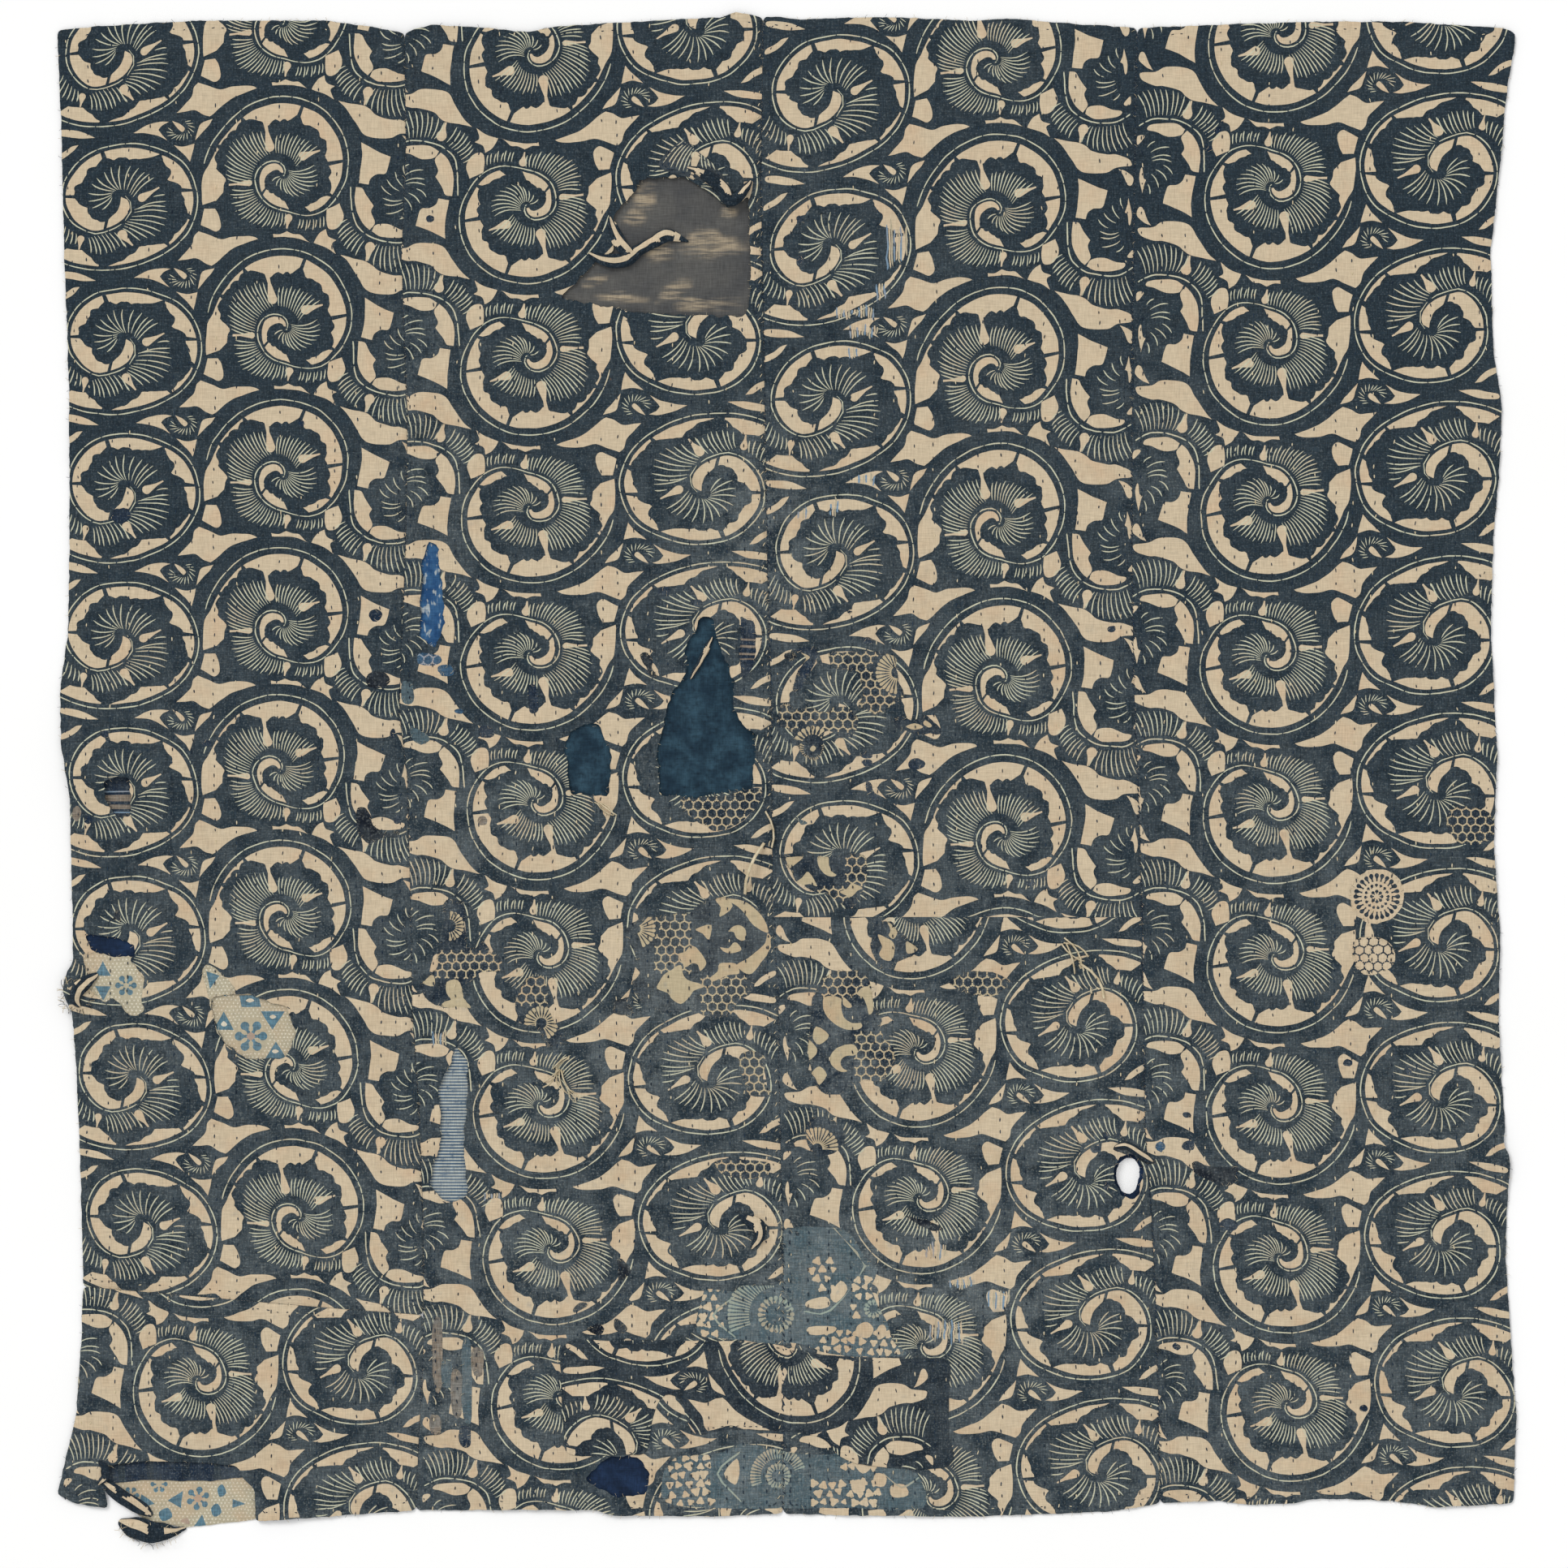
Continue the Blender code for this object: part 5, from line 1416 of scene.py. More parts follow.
def dye_faces(middles, shapes, ground):
    """Each face's dye: its older cloth's ground, or the last printed shape that covers it."""
    order = np.argsort(middles[:, 1])
    sorted_y = middles[order, 1]
    region_of = np.full(len(middles), -1)
    dye = np.full(len(middles), ground)
    for shape in shapes:
        low, high = shape.ring.min(0), shape.ring.max(0)
        first, last = np.searchsorted(sorted_y, [low[1], high[1]])
        near = order[first:last]
        near = near[(middles[near, 0] > low[0]) & (middles[near, 0] < high[0])]
        if not len(near):
            continue
        inside = near[within(shape.ring, middles[near])]
        if isinstance(shape.dye, int):
            region_of[inside] = shape.dye
            dye[inside] = dye_number(list(OLD_CLOTHS.values())[shape.dye].ground)
        elif shape.region is None:
            dye[inside[region_of[inside] < 0]] = dye_number(shape.dye)
        else:
            dye[inside[region_of[inside] == shape.region]] = dye_number(shape.dye)
    return dye, region_of


DYE_NAMES = list(DYES)


def dye_number(name):
    return DYE_NAMES.index(name)


def mesh_piece(name, points, faces, smooth=True):
    """A mesh object from points in millimetres."""
    mesh = bpy.data.meshes.new(name)
    mesh.from_pydata((np.asarray(points) * MM).tolist(), [], np.asarray(faces).tolist())
    if smooth:
        mesh.shade_smooth()
        mesh.set_sharp_from_angle(angle=math.radians(50))
    piece = bpy.data.objects.new(name, mesh)
    bpy.context.scene.collection.objects.link(piece)
    return piece


def paint(piece, face_dye):
    """Gives each face its dye's colour, and says whether it is a light one."""
    mesh = piece.data
    if len(mesh.polygons) != len(face_dye):
        raise RuntimeError(f"{piece.name}: faces were lost while the mesh was made")
    colours = np.array([(*linear(DYES[n]), 1.0) for n in DYE_NAMES])
    layer = mesh.attributes.new("dye", "FLOAT_COLOR", "FACE")
    layer.data.foreach_set("color", colours[face_dye].ravel())
    light = np.array([n in LIGHT_DYES for n in DYE_NAMES], float)
    layer = mesh.attributes.new("undyed", "FLOAT", "FACE")
    layer.data.foreach_set("value", light[face_dye])


def cloth_sheet(name, outline, holes, shapes, top_of, thick, spacing, ground="indigo",
                curl=0.8, sunk=0.5, bottom_of=None, worn_at=None):
    """One closed sheet of cloth with its printed shapes cut into the upper face.

    Returns the piece. Its faces carry the dye as a colour, and whether it is undyed.
    """
    rings = [outline] + holes + [shape.ring for shape in shapes]
    extra = grid_inside(outline, holes, spacing)
    flat, faces, middles = triangulate(rings, extra, outline, holes)
    dye, region_of = dye_faces(middles, shapes, dye_number(ground))
    loops = boundary_loops(faces)
    edge = np.array([flat[i] for loop in loops for i in loop])
    tree = KDTree(len(edge))
    for index, point in enumerate(edge):
        tree.insert((*point, 0), index)
    tree.balance()
    away = np.array([tree.find((*point, 0))[2] for point in flat])
    x, y = flat[:, 0], flat[:, 1]
    top = top_of(x, y)
    lifted = np.clip(RAGGED(x * 0.35, y * 0.35) + 0.2, 0, 1) * curl
    top = top + lifted * np.exp(-((away / 3.0) ** 2)) - 0.35 * np.exp(-((away / 1.2) ** 2))
    in_region = np.zeros(len(flat))
    if (region_of >= 0).any():
        covered = np.zeros(len(flat))
        met = np.zeros(len(flat))
        for corner in range(3):
            np.add.at(covered, faces[:, corner], (region_of >= 0).astype(float))
            np.add.at(met, faces[:, corner], 1.0)
        in_region = np.where(covered >= met - 0.5, 1.0, 0.0) * (met > 0)
    top = top - sunk * in_region

    loop_points = [flat[loop] for loop in loops]
    areas = [abs(area_of(ring)) for ring in loop_points]
    outer = int(np.argmax(areas))
    inner = [ring for k, ring in enumerate(loop_points) if k != outer]
    under_extra = grid_inside(loop_points[outer], inner, max(spacing, UNDER_GRID if spacing < 6 else 9.0))
    if len(under_extra):
        under_extra = under_extra[[tree.find((*p, 0))[2] > 2.5 for p in under_extra]]
    under_flat, under_faces, _ = triangulate(loop_points, under_extra, loop_points[outer], inner)
    used = np.unique(faces)
    renumber = np.full(len(flat), -1)
    renumber[used] = np.arange(len(used))
    points = np.column_stack([flat[used], top[used]])
    bottoms = bottom_of(under_flat[:, 0], under_flat[:, 1]) if bottom_of else np.maximum(
        top_of(under_flat[:, 0], under_flat[:, 1]) - thick, 0.0
    )
    bottom_points = np.column_stack([under_flat, bottoms])
    finder = KDTree(len(under_flat))
    for index, point in enumerate(under_flat):
        finder.insert((*point, 0), index)
    finder.balance()
    base = len(points)
    all_faces = [renumber[faces], under_faces[:, ::-1] + base]
    walls = []
    for loop in loops:
        below = [finder.find((*flat[i], 0))[1] + base for i in loop]
        for k, here in enumerate(loop):
            after = (k + 1) % len(loop)
            a, b = renumber[here], renumber[loop[after]]
            walls.append((b, a, below[k]))
            walls.append((b, below[k], below[after]))
    all_faces.append(np.array(walls))
    counts = [len(part) for part in all_faces]
    piece = mesh_piece(name, np.vstack([points, bottom_points]), np.vstack(all_faces))
    paint(piece, np.concatenate([dye, np.full(counts[1] + counts[2], dye_number(ground))]))
    all_x = np.concatenate([flat[used][:, 0], under_flat[:, 0]])
    all_y = np.concatenate([flat[used][:, 1], under_flat[:, 1]])
    layer = piece.data.attributes.new("wear", "FLOAT", "POINT")
    layer.data.foreach_set("value", (worn_at or wear_at)(all_x, all_y))
    return piece


# Where the cloth is worn thin and faded: middle, size and how strongly
WORN = [
    (-30, 230, 90, 120, 0.7), (-330, 300, 60, 200, 0.45), (40, 60, 110, 90, 0.5),
    (-300, -60, 90, 110, 0.55), (-120, -240, 140, 110, 0.65), (60, -250, 120, 140, 0.6),
    (-240, -480, 140, 120, 0.55), (40, -470, 170, 90, 0.8), (-40, -640, 170, 60, 0.8),
    (300, -300, 110, 110, 0.5), (180, -470, 120, 120, 0.7), (-600, -230, 60, 110, 0.5),
    (-560, -100, 90, 90, 0.35), (480, -90, 80, 130, 0.4), (340, 300, 60, 120, 0.35),
    (560, -560, 120, 100, 0.4), (250, 100, 110, 120, 0.3), (-320, -560, 60, 120, 0.75),
    (340, -620, 60, 80, 0.45), (120, -590, 110, 80, 0.55),
]


def wear_at(x, y):
    """How faded the cloth is, from 0 at the fresh top to about 1."""
    down = np.clip((420 - y) / 700, 0, 1) * 0.42
    middle = np.clip(1 - np.abs(x) / 620, 0, 1) * 0.18
    total = down + middle + 0.12 * BROAD(x * 0.7, y * 0.7)
    for spot_x, spot_y, width, height, strength in WORN:
        reach = ((x - spot_x) / width) ** 2 + ((y - spot_y) / height) ** 2
        total = np.maximum(total, strength * np.exp(-reach) + 0.4 * total)
    return np.clip(total, 0, 1)


# Materials


def add_node(tree, kind, settings=None, values=None, links=None):
    """Adds a node, sets its properties and input values, and links other sockets into it."""
    node = tree.nodes.new(kind)
    for key, value in (settings or {}).items():
        setattr(node, key, value)
    for key, value in (values or {}).items():
        node.inputs[key].default_value = value
    for key, socket in (links or {}).items():
        tree.links.new(socket, node.inputs[key])
    return node


def new_material(name):
    material = bpy.data.materials.new(name)
    material.use_nodes = True
    tree = material.node_tree
    tree.nodes.clear()
    output = add_node(tree, "ShaderNodeOutputMaterial")
    return material, tree, output


def cloth_shader(tree, output, colour, height, rough=0.92, relief=0.3):
    """Matt cotton: a soft sheen of loose fibre, and the threads raised."""
    bump = add_node(tree, "ShaderNodeBump", values={"Strength": 0.8, "Distance": relief * MM},
                    links={"Height": height})
    shader = add_node(
        tree, "ShaderNodeBsdfPrincipled",
        values={"Roughness": rough, "Specular IOR Level": 0.12, "Sheen Weight": 0.04,
                "Sheen Roughness": 0.6},
        links={"Base Color": colour, "Normal": bump.outputs["Normal"]},
    )
    tree.links.new(shader.outputs["BSDF"], output.inputs["Surface"])


def thread_texture(tree, thread=1.15, slub=13.0):
    """Uneven hand-spun warp and weft. Real threads lie 0.8 mm apart, too fine to show at a step
    away, so they are drawn 1.15 mm apart. Returns the place, and a value about 0.5 for colour and
    height; as colour it paints shade between the threads and light on their tops."""
    place = add_node(tree, "ShaderNodeTexCoord")
    parts = []
    for scale in ((1 / slub, 1 / thread, 0.05), (1 / thread, 1 / slub, 0.05)):
        mapping = add_node(
            tree, "ShaderNodeMapping",
            values={"Scale": tuple(s / MM for s in scale)},
            links={"Vector": place.outputs["Object"]},
        )
        parts.append(add_node(
            tree, "ShaderNodeTexNoise",
            values={"Scale": 1.0, "Detail": 2.0, "Roughness": 0.6},
            links={"Vector": mapping.outputs["Vector"]},
        ).outputs["Fac"])
    both = add_node(tree, "ShaderNodeMath", {"operation": "ADD"}, links={0: parts[0], 1: parts[1]})
    half = add_node(tree, "ShaderNodeMath", {"operation": "MULTIPLY"}, values={1: 0.5},
                    links={0: both.outputs[0]})
    return place, half.outputs[0]


def thread_tone_and_painted_shade(tree, colour, factor, low, high):
    """A colour made darker and lighter by a factor that runs from 0 to 1, the threads' height where it
    is used: the yarn's own uneven tone, and painted shade between the threads and painted light on
    their tops.
    """
    level = add_node(
        tree, "ShaderNodeMapRange",
        values={"From Min": 0.32, "From Max": 0.68, "To Min": low, "To Max": high},
        links={"Value": factor},
    )
    mix = add_node(
        tree, "ShaderNodeMix", {"data_type": "RGBA", "blend_type": "MULTIPLY"},
        values={"Factor": 1.0}, links={"A": colour, "B": level.outputs["Result"]},
    )
    return mix.outputs["Result"]


def laid_over(tree, below, above, masks, share=1.0):
    """Lays one colour over another where all the masks say so, as far as the share allows.
    A colour is a socket or a hex value."""
    factor = add_node(tree, "ShaderNodeMath", {"operation": "MULTIPLY", "use_clamp": True},
                      values={1: share}, links={0: masks[0]})
    for mask in masks[1:]:
        factor = add_node(tree, "ShaderNodeMath", {"operation": "MULTIPLY"},
                          links={0: factor.outputs[0], 1: mask})
    mix = add_node(tree, "ShaderNodeMix", {"data_type": "RGBA"},
                   links={"Factor": factor.outputs[0]})
    for key, colour in (("A", below), ("B", above)):
        if isinstance(colour, str):
            mix.inputs[key].default_value = (*linear(colour), 1.0)
        else:
            tree.links.new(colour, mix.inputs[key])
    return mix.outputs["Result"]


def noise_step(tree, place, size, low, high, detail=3.0, offset=(0.0, 0.0, 0.0), stretch=(1, 1, 1)):
    """Patchy noise about `size` millimetres across, cut to a soft step between low and high."""
    mapping = add_node(
        tree, "ShaderNodeMapping",
        values={"Scale": tuple(s / (size * MM) for s in stretch), "Location": offset},
        links={"Vector": place.outputs["Object"]},
    )
    noise = add_node(tree, "ShaderNodeTexNoise",
                     values={"Scale": 1.0, "Detail": detail, "Roughness": 0.6},
                     links={"Vector": mapping.outputs["Vector"]})
    step = add_node(tree, "ShaderNodeMapRange",
                    {"interpolation_type": "SMOOTHSTEP"},
                    values={"From Min": low, "From Max": high},
                    links={"Value": noise.outputs["Fac"]})
    return step.outputs["Result"]


def resist_dyed_cotton():
    """Hand-woven cotton, paste-resist printed and vat dyed in indigo, washed and worn: the dye is
    mottled and rubbed pale on the raised threads, the undyed cotton has gone tan and blotchy. Shade
    between the threads and light on their tops are painted into the colour too."""
    material, tree, output = new_material("resist_dyed_cotton")
    place, threads = thread_texture(tree)
    dye = add_node(tree, "ShaderNodeAttribute", {"attribute_name": "dye"}).outputs["Color"]
    undyed = add_node(tree, "ShaderNodeAttribute", {"attribute_name": "undyed"}).outputs["Fac"]
    wear = add_node(tree, "ShaderNodeAttribute", {"attribute_name": "wear"}).outputs["Fac"]
    patchy = noise_step(tree, place, 26, 0.35, 0.62)
    rubbed = noise_step(tree, place, 1.8, 0.5, 0.72, detail=2.0)
    mottled = noise_step(tree, place, 5, 0.3, 0.75)
    soiled = noise_step(tree, place, 45, 0.4, 0.7, offset=(3.0, 1.0, 0.0))
    blued = noise_step(tree, place, 9, 0.55, 0.8, offset=(7.0, 2.0, 0.0))
    stained = noise_step(tree, place, 14, 0.76, 0.84, offset=(11.0, 5.0, 0.0))
    dyed = laid_over(tree, dye, "#6c7476", [wear, patchy], 0.62)
    dyed = laid_over(tree, dyed, "#969689", [rubbed, wear], 0.4)
    dyed = laid_over(tree, dyed, "#7c8588", [rubbed], 0.2)
    dyed = laid_over(tree, dyed, "#1c2a38", [mottled], 0.22)
    light = laid_over(tree, dye, "#b59f80", [soiled, wear], 0.7)
    light = laid_over(tree, light, "#7b8486", [blued, wear], 0.5)
    light = laid_over(tree, light, "#cda886", [patchy, soiled], 0.3)
    # Painted shade between the threads and painted light on their tops, with the yarn's own tone
    dyed = thread_tone_and_painted_shade(tree, dyed, threads, 0.48, 1.56)
    light = thread_tone_and_painted_shade(tree, light, threads, 0.8, 1.16)
    colour = laid_over(tree, dyed, light, [undyed])
    colour = laid_over(tree, colour, "#a5713f", [stained], 0.3)
    cloth_shader(tree, output, colour, threads)
    return material


def plain_cotton(name, base, light, dark, sizes=(20, 4)):
    """Plain-woven cotton in one dye, faded in soft patches with its threads showing."""
    material, tree, output = new_material(name)
    place, threads = thread_texture(tree)
    colour = laid_over(tree, base, light, [noise_step(tree, place, sizes[0], 0.35, 0.7)])
    colour = laid_over(tree, colour, dark, [noise_step(tree, place, sizes[1], 0.45, 0.75)], 0.5)
    # Painted shade between the threads and painted light on their tops, with the yarn's own tone
    colour = thread_tone_and_painted_shade(tree, colour, threads, 0.68, 1.3)
    cloth_shader(tree, output, colour, threads)
    return material


def grey_kasuri_cotton():
    """Grey cotton of tie-dyed yarn: cream clouds where the yarn was bound, brushed along the weft."""
    material, tree, output = new_material("grey_kasuri_cotton")
    place, threads = thread_texture(tree)
    cloud = add_node(tree, "ShaderNodeAttribute", {"attribute_name": "wear"}).outputs["Fac"]
    brushed = noise_step(tree, place, 3.0, 0.34, 0.66, detail=3.0, stretch=(0.09, 1.0, 1.0))
    faded = noise_step(tree, place, 60, 0.3, 0.7)
    colour = laid_over(tree, "#494a4b", "#5c5b58", [faded])
    colour = laid_over(tree, colour, "#a99a82", [cloud, brushed], 0.9)
    # Painted shade between the threads and painted light on their tops, with the yarn's own tone
    colour = thread_tone_and_painted_shade(tree, colour, threads, 0.7, 1.28)
    cloth_shader(tree, output, colour, threads)
    return material


def striped_cotton(name, base, stripe, pitch):
    """Stripes woven across with dyed yarn, uneven in strength where the threads have worn."""
    material, tree, output = new_material(name)
    place, threads = thread_texture(tree)
    # A wave repeats every tau / 20 of its scaled coordinate
    wave = add_node(
        tree, "ShaderNodeTexWave",
        {"wave_type": "BANDS", "bands_direction": "Y", "wave_profile": "SIN"},
        values={"Scale": math.tau / 20 / (pitch * MM), "Distortion": 0.0},
        links={"Vector": place.outputs["Object"]},
    )
    edge = add_node(
        tree, "ShaderNodeMapRange", {"interpolation_type": "SMOOTHSTEP"},
        values={"From Min": 0.3, "From Max": 0.7}, links={"Value": wave.outputs["Fac"]},
    )
    worn = noise_step(tree, place, 6, 0.2, 0.5)
    pale = noise_step(tree, place, 30, 0.4, 0.7, stretch=(0.3, 1.0, 1.0))
    colour = laid_over(tree, base, stripe, [edge.outputs["Result"], worn], 0.9)
    colour = laid_over(tree, colour, "#9aa2a3", [pale], 0.4)
    # Painted shade between the threads and painted light on their tops, with the yarn's own tone
    colour = thread_tone_and_painted_shade(tree, colour, threads, 0.72, 1.26)
    cloth_shader(tree, output, colour, threads)
    return material


def blue_kasuri_cotton():
    """Bright blue cotton with white tie-dyed ticks and smears."""
    material, tree, output = new_material("blue_kasuri_cotton")
    place, threads = thread_texture(tree)
    tick = noise_step(tree, place, 7, 0.56, 0.64, detail=2.0, stretch=(1.5, 0.55, 1.0))
    faded = noise_step(tree, place, 14, 0.35, 0.65)
    colour = laid_over(tree, "#22466f", "#3a6289", [faded])
    colour = laid_over(tree, colour, "#b9c0bc", [tick], 0.7)
    # Painted shade between the threads and painted light on their tops, with the yarn's own tone
    colour = thread_tone_and_painted_shade(tree, colour, threads, 0.72, 1.26)
    cloth_shader(tree, output, colour, threads)
    return material


def thread_material(name, base, light):
    """Hand-spun sewing cotton: two soft colours along its length, a little fuzzy."""
    material, tree, output = new_material(name)
    place = add_node(tree, "ShaderNodeTexCoord")
    colour = laid_over(tree, base, light, [noise_step(tree, place, 6, 0.3, 0.7)])
    cloth_shader(tree, output, colour, noise_step(tree, place, 0.8, 0.3, 0.7), 0.95, 0.1)
    return material


def pale_floor():
    """Painted studio board: a matt, nearly white surface with the faintest unevenness."""
    material, tree, output = new_material("pale_studio_board")
    place = add_node(tree, "ShaderNodeTexCoord")
    colour = laid_over(tree, "#fdfdfc", "#fefefe", [noise_step(tree, place, 400, 0.3, 0.7)])
    shader = add_node(
        tree, "ShaderNodeBsdfPrincipled",
        values={"Roughness": 0.85, "Specular IOR Level": 0.2}, links={"Base Color": colour},
    )
    tree.links.new(shader.outputs["BSDF"], output.inputs["Surface"])
    return material


MATERIALS = {}


def material_of(name):
    makers = {
        "print": resist_dyed_cotton,
        "grey": grey_kasuri_cotton,
        "indigo": lambda: plain_cotton("plain_indigo_cotton", "#1b2f3d", "#314b5a", "#101c27"),
        "navy": lambda: plain_cotton("dark_indigo_cotton", "#15243a", "#203350", "#0f1a29"),
        "bright": blue_kasuri_cotton,
        "fine_stripe": lambda: striped_cotton(
            "blue_and_white_striped_cotton", "#3d566f", "#b9bdb4", 2.9),
        "thread_navy": lambda: thread_material("navy_sewing_thread", "#141f2d", "#2a3b4c"),
        "thread_cream": lambda: thread_material("undyed_sewing_thread", "#c0b08f", "#dccfb1"),
        "floor": pale_floor,
    }
    if name not in MATERIALS:
        MATERIALS[name] = makers[name]()
    return MATERIALS[name]


def finish_piece(piece, material, nodes=()):
    piece.data.materials.append(material_of(material))
    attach(piece, ROOT)
    if nodes:
        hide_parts(*nodes)
    return piece


def declare_sheet(outline, holes):
    low, high = outline.min(0), outline.max(0)
    size = (high - low) * MM
    area = (abs(area_of(outline)) - sum(abs(area_of(hole)) for hole in holes)) * MM * MM
    area = min(max(area, 0.31 * size[0] * size[1]), size[0] * size[1])


# The loom widths and the patches


def box_of(outline):
    low, high = outline.min(0), outline.max(0)
    return (low[0], low[1], high[0], high[1])


def loom_width(name):
    loops = OUTLINES[name]
    seams = SEAMS + [CROSS_SEAM]
    outline = finely_stepped(loops[0], EDGE_STEP, 0.7, seams)
    holes = [finely_stepped(loop, EDGE_STEP * 0.8, 2.0, seams) for loop in loops[1:]]
    box = box_of(outline)
    shapes = []
    for pattern in PRINTS[name]:
        shapes += print_shapes(pattern, box)
    shapes += worn_shapes(box)
    piece = cloth_sheet(name + "_cloth", outline, holes, shapes, face_height, THICK, GRID)
    finish_piece(piece, "print", [name])
    declare_sheet(outline, holes)
    return piece


# Tie-dyed clouds of the grey patch: middle, width, height and slant
CLOUDS = [
    (-130, 540, 22, 20, 0.0), (-140, 521, 20, 14, 0.0), (-118, 487, 24, 18, 0.0),
    (-68, 496, 62, 22, 0.0), (-150, 446, 40, 8, 0.0), (-104, 452, 26, 16, 0.5),
    (-75, 440, 64, 13, 0.0), (-52, 524, 16, 10, 0.0), (-176, 462, 26, 8, 0.3),
]


def cloud_at(x, y):
    """How much of a cloud each place of the grey patch has."""
    total = np.zeros(len(x))
    for middle_x, middle_y, width, height, slant in CLOUDS:
        u, v = x - middle_x, y - middle_y - slant * (x - middle_x)
        reach = (2 * u / width) ** 2 + (2 * v / height) ** 2
        total = np.maximum(total, np.clip(1.25 - 0.8 * reach + 0.8 * RAGGED(x * 0.5, y), 0, 1))
    return total


# The patches that have a design of their own, told as worn-through places are
PATCH_DESIGNS = {
    "patch_hexagon": Worn(
        "light", [], [(-540, -268, -446, -190)],
        [Daisy(-495, -236, 3, 15, 0, 300, 6), Daisy(-521, -192, 2, 8, 0, 300, 6)],
        {"hex_blue": [
            [(-486, -213, 1), (-464, -213, 1), (-475, -230, 1)],
            [(-482, -257, 1), (-462, -257, 1), (-472, -241, 1)],
            [(-530, -230, 1), (-511, -230, 1), (-520, -213, 1)],
            [(-506, -198, 1), (-488, -198, 1), (-486, -209, 1), (-504, -209, 1)]],
         "hex_white": [
             [(-478, -218), (-475, -216), (-472, -218), (-475, -220)],
             [(-476, -250), (-473, -248), (-469, -250), (-473, -252)],
             [(-523, -225), (-520, -222), (-517, -225), (-520, -227)],
             [(-500, -203), (-496, -201), (-492, -203), (-496, -205)]],
         "hex_rose": [[(-499, -236), (-495, -232), (-491, -236), (-495, -240)]]}),
    "patch_corner_light": Worn(
        "light", [], [(-622, -690, -470, -644)],
        [Daisy(-606, -660, 2.5, 8, 0, 300, 6), Daisy(-544, -663, 3, 11, 20, 320, 6),
         Daisy(-580, -650, 2.5, 8, 180, 360, 4)],
        {"hex_blue": [
            [(-600, -672, 1), (-596, -659, 1), (-584, -668, 1)],
            [(-572, -665, 1), (-558, -656, 1), (-560, -672, 1)],
            [(-548, -689, 1), (-536, -690, 1), (-540, -678, 1)],
            [(-526, -654), (-521, -650), (-518, -658), (-524, -662)],
            [(-512, -664, 1), (-500, -668, 1), (-512, -672, 1)],
            [(-580, -676), (-572, -672), (-568, -680), (-577, -684)],
            [(-532, -672), (-526, -668), (-522, -676), (-529, -680)]],
         "hex_rose": [[(-548, -663), (-544, -659), (-540, -663), (-544, -667)],
                      [(-560, -684), (-554, -681), (-552, -687)]]}),
    "patch_striped_navy": Worn(
        "navy", [], [], [],
        {"brown": [
            [(-645, -13, 1), (-588, -13, 1), (-588, -19, 1), (-645, -19, 1)],
            [(-645, -22, 1), (-588, -22, 1), (-588, -26, 1), (-645, -26, 1)]],
         "sky": [
             [(-645, -9.6, 1), (-588, -9.4, 1), (-588, -10.6, 1), (-645, -10.8, 1)],
             [(-645, -28.6, 1), (-588, -28.4, 1), (-588, -29.6, 1), (-645, -29.8, 1)]]}),
    "patch_corner_navy": Worn(
        "navy", [], [], [],
        {"kikko_navy": [
            [(-592, -602, 1), (-586, -602, 1), (-585, -645, 1), (-591, -645, 1)],
            [(-560, -602, 1), (-552, -602, 1), (-551, -645, 1), (-559, -645, 1)]],
         "indigo": [
             [(-618, -604, 1), (-612, -604, 1), (-611, -650, 1), (-617, -650, 1)],
             [(-530, -604, 1), (-524, -604, 1), (-523, -645, 1), (-529, -645, 1)]]}),
}
PATCH_CLOTHS = {
    "patch_grey": ("grey", "grey_kasuri"),
    "patch_indigo": ("indigo", "plain_indigo"),
    "patch_small_indigo": ("indigo", "plain_indigo"),
    "patch_bright_blue": ("bright", "blue_kasuri"),
    "patch_fine_stripe": ("fine_stripe", "stripe_cotton"),
    "patch_foot_navy": ("navy", "navy_cotton"),
    "patch_striped_navy": ("print", "navy_cotton"),
    "patch_left_navy": ("navy", "navy_cotton"),
    "patch_hexagon": ("print", "light_cotton"),
    "patch_round_hole": ("navy", "navy_cotton"),
    "patch_corner_light": ("print", "light_cotton"),
    "patch_corner_navy": ("print", "navy_cotton"),
}


def patch_height(x, y):
    """Patches lie close to the floor, a little slack between their stitches."""
    return PATCH_THICK + 0.1 + 0.12 * MIDDLING(x * 1.3, y * 1.3) + 0.08 * FINE(x, y)


# The light corner patch runs on under the navy one, which lies over its top edge
LIGHT_CORNER_TOP = [(-634, -644), (-612, -636), (-560, -634), (-500, -636), (-484, -641)]
OVERLAP_LINE = -630.0


def corner_overlap(x, y):
    """How far the navy corner patch is lifted by the light one under its lower edge."""
    return 0.95 * np.clip((OVERLAP_LINE - y) / 5.0, 0, 1)


def patch_piece(node):
    loops = top_loops(node)
    ring = loops[0]
    if node == "patch_corner_light":
        low = ring[ring[:, 1] < -656]
        around = np.arctan2(low[:, 1] + 640, low[:, 0] + 555)
        ring = np.vstack([low[np.argsort(around)], np.array(LIGHT_CORNER_TOP)[::-1]])
    outline = finely_stepped(ring, EDGE_STEP, 0.8)
    holes = [finely_stepped(loop, EDGE_STEP, 1.2) for loop in loops[1:]]
    lift = corner_overlap if node == "patch_corner_navy" else lambda x, y: np.zeros(len(x))
    material, slot = PATCH_CLOTHS[node]
    design = PATCH_DESIGNS.get(node)
    piece = cloth_sheet(
        node + "_cloth", outline, holes, marks_of(design, None) if design else [],
        lambda x, y: patch_height(x, y) + lift(x, y), PATCH_THICK, 3.0 if node == "patch_grey" else PATCH_GRID,
        ground=OLD_CLOTHS[design.cloth].ground if design else "indigo", curl=0.0,
        bottom_of=lift, worn_at=cloud_at if node == "patch_grey" else None,
    )
    finish_piece(piece, material, [node])
    declare_sheet(outline, holes)
    return piece


FRONT_THICK = 0.75


